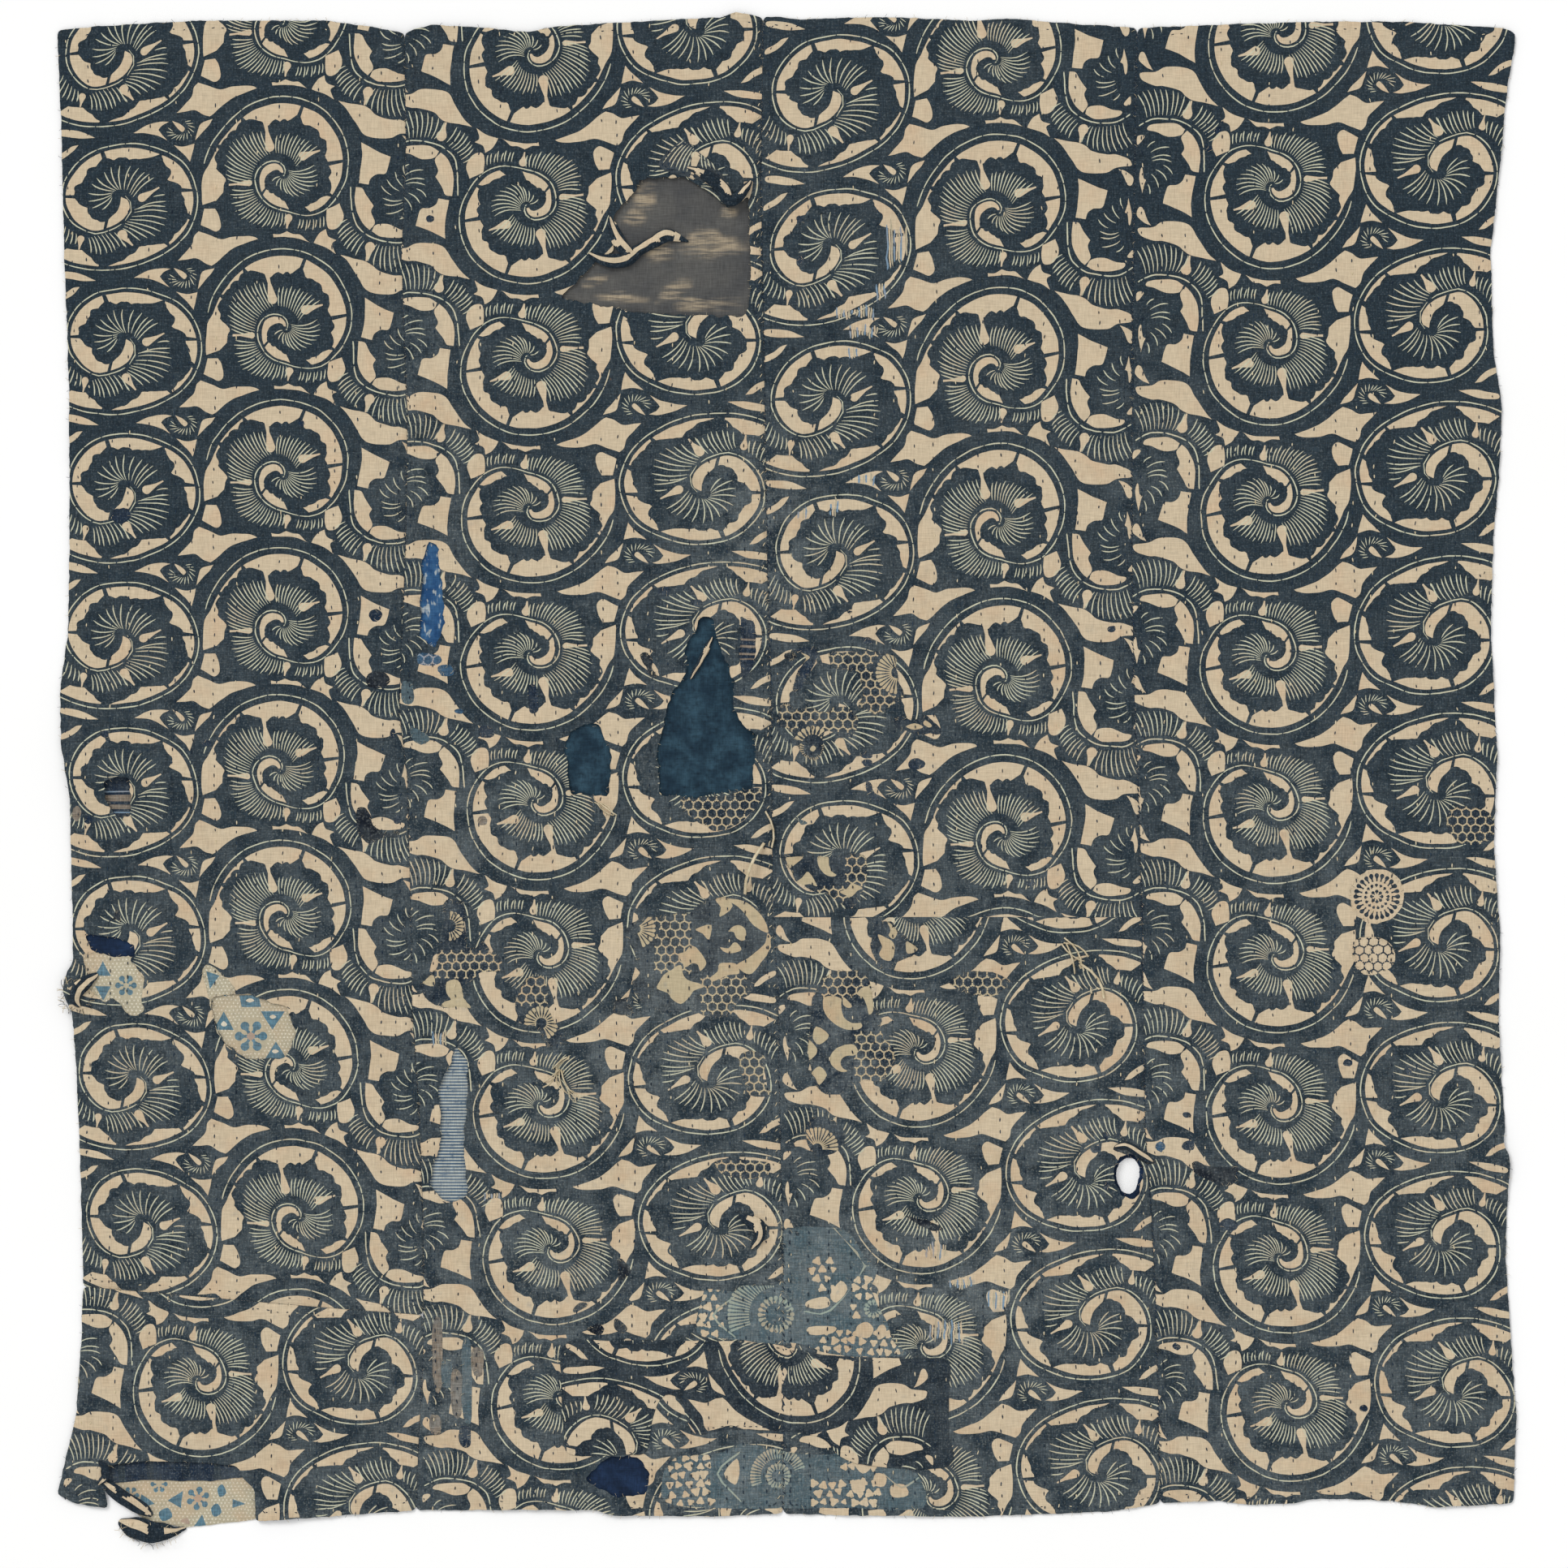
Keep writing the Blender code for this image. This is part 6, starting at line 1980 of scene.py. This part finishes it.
def front_patch(name):
    """A patch sewn on over the face: crisper and darker than the cloth under it."""
    patch = FRONT_PATCHES[name]
    outline = finely_stepped(np.array(smooth_ring(patch.outline, 5)), EDGE_STEP, 0.6)
    piece = cloth_sheet(
        name, outline, [], print_shapes(patch.print, box_of(outline)),
        lambda x, y: face_height(x, y) + FRONT_THICK, FRONT_THICK, GRID, ground=patch.ground, curl=0.3,
        bottom_of=lambda x, y: face_height(x, y) + 0.05,
        worn_at=lambda x, y: 0.45 * wear_at(x, y),
    )
    finish_piece(piece, "print")
    declare_sheet(outline, [])
    return piece


# Loose strips of torn cloth, twisted and folded in on themselves. A row's base is what is under
# it, in millimetres off the floor, or nothing where it lies on the face cloth.
RAGS = {
    "rag_over_grey": [
        RagRow(-183, 487, None, 7, 2.2), RagRow(-171, 481, None, 11, 3), RagRow(-158, 479, 1.2, 13, 4),
        RagRow(-147, 482, 1.2, 13, 4.6), RagRow(-137, 490, 1.2, 11, 4.6),
        RagRow(-125, 497, 1.2, 11, 4.2), RagRow(-112, 504, 1.2, 12, 3.6),
        RagRow(-102, 502, 1.2, 9, 3), RagRow(-91, 498, 1.2, 4, 2),
    ],
    "lip_over_grey": [
        RagRow(-92, 566, None, 6, 2.4), RagRow(-80, 562, None, 9, 4), RagRow(-68, 555, None, 12, 5.4),
        RagRow(-58, 546, None, 12, 6), RagRow(-53, 536, None, 11, 6), RagRow(-45, 538, None, 10, 5.4),
        RagRow(-38, 546, None, 9, 5), RagRow(-33, 554, None, 6, 3.4),
    ],
    "rag_at_corner": [
        RagRow(-617, -684, 0, 11, 2.4), RagRow(-607, -688, 0, 18, 3.6), RagRow(-597, -691, 0, 20, 4.6),
        RagRow(-587, -695, 0, 20, 5.2), RagRow(-576, -694, 0, 16, 5), RagRow(-565, -693, 0, 9, 3.8),
        RagRow(-555, -690, 0, 5, 2.6),
    ],
    "rag_left_of_grey": [
        RagRow(-164, 521, None, 5, 1.8), RagRow(-161, 511, 1.2, 9, 2.8), RagRow(-156, 500, 1.2, 12, 3.4),
        RagRow(-149, 491, 3, 11, 3.6), RagRow(-141, 486, 3, 7, 2.6),
    ],
    "rag_rolled_at_corner": [
        RagRow(-634, -645, 1.2, 7, 3), RagRow(-622, -655, 1.2, 12, 4.2), RagRow(-608, -664, 1.2, 13, 4.6),
        RagRow(-596, -672, 1.2, 12, 4.4), RagRow(-586, -679, 1.2, 7, 3),
    ],
    "rag_curled_at_foot": [
        RagRow(-635, -628, None, 5, 2.6), RagRow(-629, -634, None, 7, 3.6),
        RagRow(-630, -643, None, 7, 3.6), RagRow(-636, -650, None, 4, 2.4),
    ],
    "rag_on_left_hem": [
        RagRow(-636, -178, None, 6, 2), RagRow(-645, -184, None, 11, 3.4),
        RagRow(-653, -192, None, 13, 4.2), RagRow(-656, -202, None, 9, 3.4),
        RagRow(-652, -209, None, 5, 2),
    ],
    "rag_over_indigo": [
        RagRow(-69, 133, 1.2, 4, 1.6), RagRow(-74, 122, 1.2, 5, 2.2), RagRow(-80, 110, 1.2, 4.4, 2.2),
        RagRow(-85, 101, 1.2, 4, 2.0), RagRow(-89, 94, 1.2, 3, 1.6),
    ],
    "rag_gathered_at_seam": [
        RagRow(-44, -402, None, 6, 2.4), RagRow(-35, -405, None, 10, 3.8),
        RagRow(-27, -411, None, 11, 4.4), RagRow(-26, -422, None, 9, 3.8),
        RagRow(-33, -432, None, 6, 2.6),
    ],
    "rag_at_round_hole": [
        RagRow(303, -338, None, 4, 1.8), RagRow(314, -337, None, 7, 3),
        RagRow(327, -345, None, 8, 3.4), RagRow(338, -352, None, 5, 2.2),
    ],
}
RAG_SIDES = 22


def rag_section(count, share, width, thick, seed):
    """A strip folded over twice, seen end on: a wavy flattened ring."""
    angles = np.linspace(0, math.tau, count, endpoint=False)
    fold = 1 + 0.34 * np.sin(2 * angles + 5.0 * share + seed) + 0.16 * np.sin(5 * angles - 9 * share)
    side = 1 + 0.14 * np.sin(3 * angles + 7.0 * share + seed * 2)
    across = np.cos(angles) * width / 2 * side
    up = np.maximum(np.sin(angles) * thick / 2 * fold, -thick / 2)
    return across, up


def rag_piece(name):
    rows = RAGS[name]
    seed = float(list(RAGS).index(name))
    known = [
        (r.x, r.y, float(face_height([r.x], [r.y])[0]) if r.base is None else r.base, r.width, r.thick)
        for r in rows
    ]
    path = smooth_path(known, 8)
    last = len(path) - 1
    points, faces, dye = [], [], []
    for i, (x, y, base, width, thick) in enumerate(path):
        after, before = path[min(i + 1, last)], path[max(i - 1, 0)]
        run_x, run_y = after[0] - before[0], after[1] - before[1]
        length = math.hypot(run_x, run_y)
        share = i / last
        taper = 0.3 + 0.7 * min(1.0, 5 * share, 5 * (1 - share)) ** 0.5
        thick = thick * taper
        across, up = rag_section(RAG_SIDES, share, width * taper, thick, seed)
        for a, u in zip(across, up):
            px, py = x - run_y / length * a, y + run_x / length * a
            rough = 0.35 * float(FRAYED(px * 0.6, py * 0.6))
            points.append((px + rough, py - rough, max(base + thick / 2 + u + 0.1, 0.05)))
    for i in range(last):
        for k in range(RAG_SIDES):
            a, b = i * RAG_SIDES + k, i * RAG_SIDES + (k + 1) % RAG_SIDES
            c, d = a + RAG_SIDES, b + RAG_SIDES
            faces += [(a, c, b), (b, c, d)]
            x, y = points[a][0], points[a][1]
            light = k in (3, 4, 5) and RAGGED(x * 0.3, y * 0.3) > -0.3 or FINE(x * 1.3, y * 1.3) > 0.6
            dye += [dye_number("undyed" if light else "deep")] * 2
    for ring, inward in ((0, False), (last, True)):
        middle = np.mean(points[ring * RAG_SIDES:(ring + 1) * RAG_SIDES], axis=0)
        points.append(tuple(middle))
        for k in range(RAG_SIDES):
            a, b = ring * RAG_SIDES + k, ring * RAG_SIDES + (k + 1) % RAG_SIDES
            faces.append((b, len(points) - 1, a) if inward else (a, len(points) - 1, b))
            dye.append(dye_number("pale"))
    piece = mesh_piece(name + "_cloth", points, faces)
    check = bmesh.new()
    check.from_mesh(piece.data)
    bmesh.ops.recalc_face_normals(check, faces=check.faces[:])
    check.to_mesh(piece.data)
    check.free()
    paint(piece, np.array(dye))
    finish_piece(piece, "print", [name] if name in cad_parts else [])
    area = sum(polygon.area for polygon in piece.data.polygons) / 2
    length = sum(math.dist(a[:2], b[:2]) for a, b in zip(path, path[1:])) * MM
    width = max(area / length, 0.0101)
    return piece


# Sewing and frays: rows of instanced threads, made plain meshes


ThreadRow = namedtuple("ThreadRow", "x y z roll pitch turn long wide")


def thread_tree(fray):
    """Geometry Nodes that lay one short thread on every point: a stitch or a fray."""
    tree = bpy.data.node_groups.new("Frays" if fray else "Stitches", "GeometryNodeTree")
    tree.interface.new_socket("Geometry", in_out="INPUT", socket_type="NodeSocketGeometry")
    size = tree.interface.new_socket("Size", in_out="INPUT", socket_type="NodeSocketFloat")
    size.default_value = 1.0
    tree.interface.new_socket("Material", in_out="INPUT", socket_type="NodeSocketMaterial")
    tree.interface.new_socket("Geometry", in_out="OUTPUT", socket_type="NodeSocketGeometry")
    inputs = add_node(tree, "NodeGroupInput")
    outputs = add_node(tree, "NodeGroupOutput")
    if fray:
        # A single bowed fibre, one long and 0.07 thick
        line = add_node(tree, "GeometryNodeCurveQuadraticBezier", values={
            "Resolution": 4, "Start": (0, 0, 0), "Middle": (0.55, 0.28, 0.1), "End": (1, 0, 0.02)})
        profile = add_node(tree, "GeometryNodeCurvePrimitiveCircle",
                           values={"Resolution": 3, "Radius": 0.035})
        thread = add_node(tree, "GeometryNodeCurveToMesh", values={"Fill Caps": True},
                          links={"Curve": line.outputs["Curve"],
                                 "Profile Curve": profile.outputs["Curve"]}).outputs["Mesh"]
    else:
        thread = add_node(tree, "GeometryNodeMeshIcoSphere",
                          values={"Radius": 0.5, "Subdivisions": 1}).outputs["Mesh"]
    turn = add_node(tree, "GeometryNodeInputNamedAttribute", {"data_type": "FLOAT_VECTOR"},
                    values={"Name": "turn"})
    span = add_node(tree, "GeometryNodeInputNamedAttribute", {"data_type": "FLOAT_VECTOR"},
                    values={"Name": "span"})
    rotation = add_node(tree, "FunctionNodeEulerToRotation",
                        links={"Euler": turn.outputs["Attribute"]})
    scale = add_node(tree, "ShaderNodeVectorMath", {"operation": "SCALE"},
                     links={0: span.outputs["Attribute"], "Scale": inputs.outputs["Size"]})
    laid = add_node(tree, "GeometryNodeInstanceOnPoints", links={
        "Points": inputs.outputs["Geometry"], "Instance": thread,
        "Rotation": rotation.outputs["Rotation"], "Scale": scale.outputs["Vector"]})
    real = add_node(tree, "GeometryNodeRealizeInstances",
                    links={"Geometry": laid.outputs["Instances"]})
    dressed = add_node(tree, "GeometryNodeSetMaterial", links={
        "Geometry": real.outputs["Geometry"], "Material": inputs.outputs["Material"]})
    tree.links.new(dressed.outputs["Geometry"], outputs.inputs["Geometry"])
    return tree


def thread_piece(name, rows, material, fray):
    """One plain mesh of many short threads."""
    carrier = bpy.data.meshes.new(name + "_points")
    carrier.from_pydata([(r.x * MM, r.y * MM, r.z * MM) for r in rows], [], [])
    turn = carrier.attributes.new("turn", "FLOAT_VECTOR", "POINT")
    turn.data.foreach_set("vector", np.array([(r.roll, r.pitch, r.turn) for r in rows]).ravel())
    sizes = [(r.long, r.long, r.long) if fray else (r.long, r.wide, r.wide * 0.7) for r in rows]
    span = carrier.attributes.new("span", "FLOAT_VECTOR", "POINT")
    span.data.foreach_set("vector", (np.array(sizes) * MM).ravel())
    holder = bpy.data.objects.new(name + "_points", carrier)
    bpy.context.scene.collection.objects.link(holder)
    tree = thread_tree(fray)
    modifier = holder.modifiers.new("threads", "NODES")
    modifier.node_group = tree
    identifiers = {item.name: item.identifier for item in tree.interface.items_tree
                   if item.in_out == "INPUT"}
    modifier[identifiers["Size"]] = 1.0
    modifier[identifiers["Material"]] = material_of(material)
    bpy.context.view_layer.update()
    evaluated = holder.evaluated_get(bpy.context.evaluated_depsgraph_get())
    mesh = bpy.data.meshes.new_from_object(evaluated)
    if not len(mesh.polygons):
        raise RuntimeError(f"{name}: no threads were made")
    bpy.data.objects.remove(holder)
    mesh.name = name
    for spare in ("turn", "span"):
        if spare in mesh.attributes:
            mesh.attributes.remove(mesh.attributes[spare])
    piece = bpy.data.objects.new(name, mesh)
    bpy.context.scene.collection.objects.link(piece)
    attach(piece, ROOT)
    return piece


def on_the_face(rows):
    """Puts thread rows, given as (x, y, turn, long, wide), on top of the face cloth."""
    data = np.array(rows)
    heights = face_height(data[:, 0], data[:, 1])
    for place, patch in FRONT_PATCHES.items():
        covered = within(np.array(patch.outline, float), data[:, :2])
        heights = heights + covered * FRONT_THICK
    return [ThreadRow(x, y, z + 0.1, 0.0, 0.0, turn, long, wide)
            for (x, y, turn, long, wide), z in zip(data, heights)]


QUARTER = math.pi / 2


def running_rows(rng):
    """The quilting: upright rows of short running stitches, closer together low down."""
    rows = []
    for name in WIDTHS:
        outline = OUTLINES[name][0]
        low, high = outline.min(0), outline.max(0)
        x = low[0] + 9
        found = []
        while x < high[0] - 5:
            y = low[1] + rng.uniform(6, 14)
            while y < high[1] - 5:
                keep = 0.5 + 0.5 * min(1.0, max(0.0, (420 - y) / 300))
                if rng.uniform() < keep:
                    drift = 3.2 * float(BROAD(x * 3, y)) + 0.6 * float(FINE(x, y))
                    turn = QUARTER + rng.normal(0, 0.12)
                    found.append((x + drift, y, turn, rng.uniform(3.0, 4.8), rng.uniform(1.0, 1.4)))
                y += rng.uniform(8.5, 13.5)
            x += rng.uniform(14, 23)
        points = np.array(found)
        keep = within(outline, points[:, :2])
        for hole in OUTLINES[name][1:]:
            keep &= ~within(hole, points[:, :2])
        rows += [tuple(row) for row in points[keep]]
    return rows


def edge_rows(rng, ring, inset, pitch, long):
    """Stitches along an edge, a little way inside the cloth."""
    ring = finely_stepped(np.asarray(ring, float), pitch, 0.0)
    run = np.roll(ring, -1, 0) - np.roll(ring, 1, 0)
    run /= np.maximum(np.linalg.norm(run, axis=1), 1e-6)[:, None]
    inside = ring - np.stack([run[:, 1], -run[:, 0]], 1) * inset
    return [
        (p[0] + rng.normal(0, 0.5), p[1] + rng.normal(0, 0.5),
         math.atan2(r[1], r[0]) + rng.normal(0, 0.2), long * rng.uniform(0.7, 1.2),
         rng.uniform(0.8, 1.1))
        for p, r in zip(inside, run) if rng.uniform() < 0.8
    ]


def seam_rows(rng, line, pitch, long, wide, lean, side):
    """Whip stitches that lean across a seam."""
    rows = []
    path = np.array(line)
    for y in np.arange(path[:, 1].min() + 4, path[:, 1].max() - 4, pitch):
        x = float(np.interp(y, path[:, 1], path[:, 0]))
        rows.append((x + side + rng.normal(0, 0.5), y + rng.normal(0, 0.8), lean + rng.normal(0, 0.18),
                     long * rng.uniform(0.7, 1.15), wide * rng.uniform(0.8, 1.2)))
    return rows


def sewing_pieces():
    rng = np.random.default_rng(21)
    running = running_rows(rng)
    for name in WIDTHS:
        for hole in OUTLINES[name][1:]:
            running += edge_rows(rng, hole, 8.0, 17.0, 3.4)
        running += edge_rows(rng, OUTLINES[name][0], 7.0, 9.0, 3.0)
    for patch in FRONT_PATCHES.values():
        running += edge_rows(rng, smooth_ring(patch.outline, 4)[::-1], 3.0, 7.0, 3.2)
    chosen = rng.uniform(size=len(running)) < 0.1
    dark = [row for row, pale in zip(running, chosen) if not pale]
    pale = [row for row, light in zip(running, chosen) if light]
    pale += seam_rows(rng, SEAMS[1], 11.0, 4.6, 0.8, QUARTER - 0.6, -3.0)
    dark += seam_rows(rng, SEAMS[1], 7.0, 4.4, 1.2, QUARTER + 0.5, 0.6)
    dark += seam_rows(rng, SEAMS[2], 5.2, 5.0, 1.2, QUARTER + 0.6, 0.0)
    dark += seam_rows(rng, SEAMS[0], 6.5, 3.2, 1.0, QUARTER + 0.4, 0.0)
    thread_piece("stitches_navy", on_the_face(dark), "thread_navy", False)
    thread_piece("stitches_undyed", on_the_face(pale), "thread_cream", False)


# Tufts and hanging ends of sewing thread: root, tip, number of strands, spread and wideness
TUFTS = [
    (-202, -255, -212, -270, 5, 3.0), (-212, -268, -227, -283, 5, 4.0),
    (-210, -267, -202, -287, 4, 3.0), (-202, -287, -194, -296, 4, 3.0),
    (255, -148, 272, -170, 4, 5.0), (272, -170, 290, -197, 4, 5.0), (-20, -28, -21, -60, 1, 0.5),
    (-21, -58, -20, -104, 1, 0.5), (-175, -20, -162, -30, 5, 5.0),
]


def fray_rows(rng, ring, pitch, longest, into, base=None):
    """Loose fibres along an edge, most of them pointing off it."""
    ring = finely_stepped(np.asarray(ring, float), pitch, 1.0)
    run = np.roll(ring, -1, 0) - np.roll(ring, 1, 0)
    run /= np.maximum(np.linalg.norm(run, axis=1), 1e-6)[:, None]
    heights = face_height(ring[:, 0], ring[:, 1])
    rows = []
    for (x, y), (run_x, run_y), z in zip(ring, run, heights):
        turn = math.atan2(-run_x * into, run_y * into) + rng.normal(0, 0.75)
        long = longest * rng.uniform(0.35, 1.0) ** 1.4
        back = 0.3 * long
        rows.append(ThreadRow(
            x - math.cos(turn) * back, y - math.sin(turn) * back, z + 0.15, rng.uniform(-3.1, 3.1),
            rng.uniform(-0.06, 0.16), turn, long, 0.4))
    return rows


def fray_pieces():
    rng = np.random.default_rng(34)
    rows = []
    for name in WIDTHS:
        for hole in OUTLINES[name][1:]:
            rows += fray_rows(rng, hole, 7.0, 4.0, 1.0)
        rows += fray_rows(rng, OUTLINES[name][0], 9.0, 5.0, 1.0)
    rows += fray_rows(rng, [(-668, -186), (-668, -208), (-650, -214), (-640, -200), (-650, -184)],
                      1.2, 9.0, 1.0)
    rows += fray_rows(rng, smooth_ring(
        [(-617, -690), (-606, -699), (-590, -706), (-574, -703), (-562, -697), (-580, -690)], 4),
        1.8, 8.0, 1.0)
    for place in WORN_THROUGH:
        into = -1.0 if area_of(np.array(place.outline, float)) > 0 else 1.0
        rows += fray_rows(rng, smooth_ring(place.outline, 3), 8.0, 4.5, into)
    for gap in GAPS:
        into = -1.0 if area_of(np.array(gap, float)) > 0 else 1.0
        rows += fray_rows(rng, smooth_ring(gap, 3), 6.0, 4.0, into)
    for x, y, width, height, _ in SPOTS:
        for angle in np.arange(0, math.tau, 1.7):
            at_x, at_y = x + math.cos(angle) * width / 2, y + math.sin(angle) * height / 2
            turn = angle + math.pi + rng.normal(0, 0.7)
            z = float(face_height([at_x], [at_y])[0])
            rows.append(ThreadRow(at_x, at_y, z + 0.1, rng.uniform(-3, 3), 0.05, turn,
                                  rng.uniform(2, 4.5), 0.4))
    for x0, y0, x1, y1, count, spread in TUFTS:
        for _ in range(count):
            shift_x, shift_y = rng.normal(0, spread * 0.4, 2)
            turn = math.atan2(y1 - y0, x1 - x0) + rng.normal(0, 0.18)
            z = float(face_height([x0], [y0])[0])
            rows.append(ThreadRow(x0 + shift_x, y0 + shift_y, z + 0.6, rng.uniform(-3, 3), 0.02, turn,
                                  math.dist((x0, y0), (x1, y1)) * rng.uniform(0.8, 1.2), 0.4))
    pale = rng.uniform(size=len(rows)) < 0.62
    tuft = np.array([row.long > 9.0 for row in rows])
    pale |= tuft
    thread_piece("frays_undyed", [r for r, p in zip(rows, pale) if p], "thread_cream", True)
    thread_piece("frays_navy", [r for r, p in zip(rows, pale) if not p], "thread_navy", True)


# Stage


def make_stage(settings):
    floor_mesh = bpy.data.meshes.new("studio_floor")
    half = settings.floor_size / 2
    floor_mesh.from_pydata(
        [(-half, -half, 0), (half, -half, 0), (half, half, 0), (-half, half, 0)], [], [(0, 1, 2, 3)]
    )
    floor = bpy.data.objects.new("studio_floor", floor_mesh)
    floor.location.z = -0.0004
    bpy.context.scene.collection.objects.link(floor)
    floor_mesh.materials.append(material_of("floor"))
    world = bpy.data.worlds.new("studio_air")
    bpy.context.scene.world = world
    world.use_nodes = True
    backdrop = world.node_tree.nodes["Background"]
    backdrop.inputs["Color"].default_value = (1.0, 1.0, 1.0, 1.0)
    backdrop.inputs["Strength"].default_value = 0.76
    # One broad lamp, far enough away to light the top and the foot alike
    data = bpy.data.lights.new("key_light", "SUN")
    data.energy = 1.35
    data.angle = math.radians(24)
    lamp = bpy.data.objects.new("key_light", data)
    lamp.location = (-1.4, 1.8, 1.7)
    lamp.rotation_euler = Vector(lamp.location).to_track_quat("Z", "Y").to_euler()
    bpy.context.scene.collection.objects.link(lamp)
    data = bpy.data.cameras.new("photo_camera")
    data.lens = settings.camera_lens
    camera = bpy.data.objects.new("photo_camera", data)
    view = IMAGE * PIXEL * MM
    camera.location = (CAMERA_X * MM, CAMERA_Y * MM, view * data.lens / data.sensor_width)
    bpy.context.scene.collection.objects.link(camera)
    bpy.context.scene.camera = camera
    bpy.context.scene.view_settings.view_transform = "Standard"


class BoroStageSettings(bpy.types.PropertyGroup):
    """Sizes of the studio round the cloth."""

    floor_size: bpy.props.FloatProperty(
        name="Floor size", description="Length of one side of the pale floor",
        default=6.0, min=2.0, subtype="DISTANCE", unit="LENGTH",
    )
    camera_lens: bpy.props.FloatProperty(
        name="Lens", description="Focal length of the camera above the cloth, in millimetres",
        default=110.0, min=20.0,
    )


class BORO_OT_stage(bpy.types.Operator):
    """Makes the pale floor, the soft lights and the camera straight above the cloth"""

    bl_idname = "boro.stage"
    bl_label = "Studio Stage"

    def execute(self, context):
        make_stage(context.scene.boro_stage)
        return {"FINISHED"}


class BORO_OT_loom_widths(bpy.types.Operator):
    """Makes the five printed pieces of the four loom widths"""

    bl_idname = "boro.loom_widths"
    bl_label = "Loom Widths"

    def execute(self, context):
        for name in WIDTHS:
            loom_width(name)
        return {"FINISHED"}


class BORO_OT_patches(bpy.types.Operator):
    """Makes the patches that lie behind the tears"""

    bl_idname = "boro.patches"
    bl_label = "Patches Behind"

    def execute(self, context):
        for node in PATCH_CLOTHS:
            patch_piece(node)
        return {"FINISHED"}


class BORO_OT_front_patches(bpy.types.Operator):
    """Makes the two printed patches that are sewn on over the face"""

    bl_idname = "boro.front_patches"
    bl_label = "Patches in Front"

    def execute(self, context):
        for name in FRONT_PATCHES:
            front_patch(name)
        return {"FINISHED"}


class BORO_OT_rags(bpy.types.Operator):
    """Makes the loose and twisted strips of torn cloth"""

    bl_idname = "boro.rags"
    bl_label = "Rags"

    def execute(self, context):
        for name in RAGS:
            rag_piece(name)
        return {"FINISHED"}


class BORO_OT_sewing(bpy.types.Operator):
    """Makes the running stitches and the seams' whip stitches"""

    bl_idname = "boro.sewing"
    bl_label = "Sewing"

    def execute(self, context):
        sewing_pieces()
        return {"FINISHED"}


class BORO_OT_frays(bpy.types.Operator):
    """Makes the frayed threads along the tears and the worn edges"""

    bl_idname = "boro.frays"
    bl_label = "Frays"

    def execute(self, context):
        fray_pieces()
        return {"FINISHED"}


class BORO_PT_panel(bpy.types.Panel):
    """Lists the operators that make the cloth"""

    bl_idname = "BORO_PT_panel"
    bl_label = "Boro Patched Cloth"
    bl_space_type = "VIEW_3D"
    bl_region_type = "UI"
    bl_category = "Boro"

    def draw(self, context):
        column = self.layout.column(align=True)
        for operator in OPERATORS:
            column.operator(operator.bl_idname)
        self.layout.prop(context.scene.boro_stage, "floor_size")
        self.layout.prop(context.scene.boro_stage, "camera_lens")


OPERATORS = [
    BORO_OT_stage, BORO_OT_loom_widths, BORO_OT_patches, BORO_OT_front_patches, BORO_OT_rags,
    BORO_OT_sewing, BORO_OT_frays,
]
CLASSES = [BoroStageSettings] + OPERATORS + [BORO_PT_panel]


def register():
    for item in CLASSES:
        bpy.utils.register_class(item)
    bpy.types.Scene.boro_stage = bpy.props.PointerProperty(type=BoroStageSettings)


def unregister():
    del bpy.types.Scene.boro_stage
    for item in reversed(CLASSES):
        bpy.utils.unregister_class(item)


def main():
    register()
    bpy.ops.boro.stage()
    bpy.ops.boro.loom_widths()
    bpy.ops.boro.patches()
    bpy.ops.boro.front_patches()
    bpy.ops.boro.rags()
    bpy.ops.boro.sewing()
    bpy.ops.boro.frays()


if __name__ == "__main__":
    main()
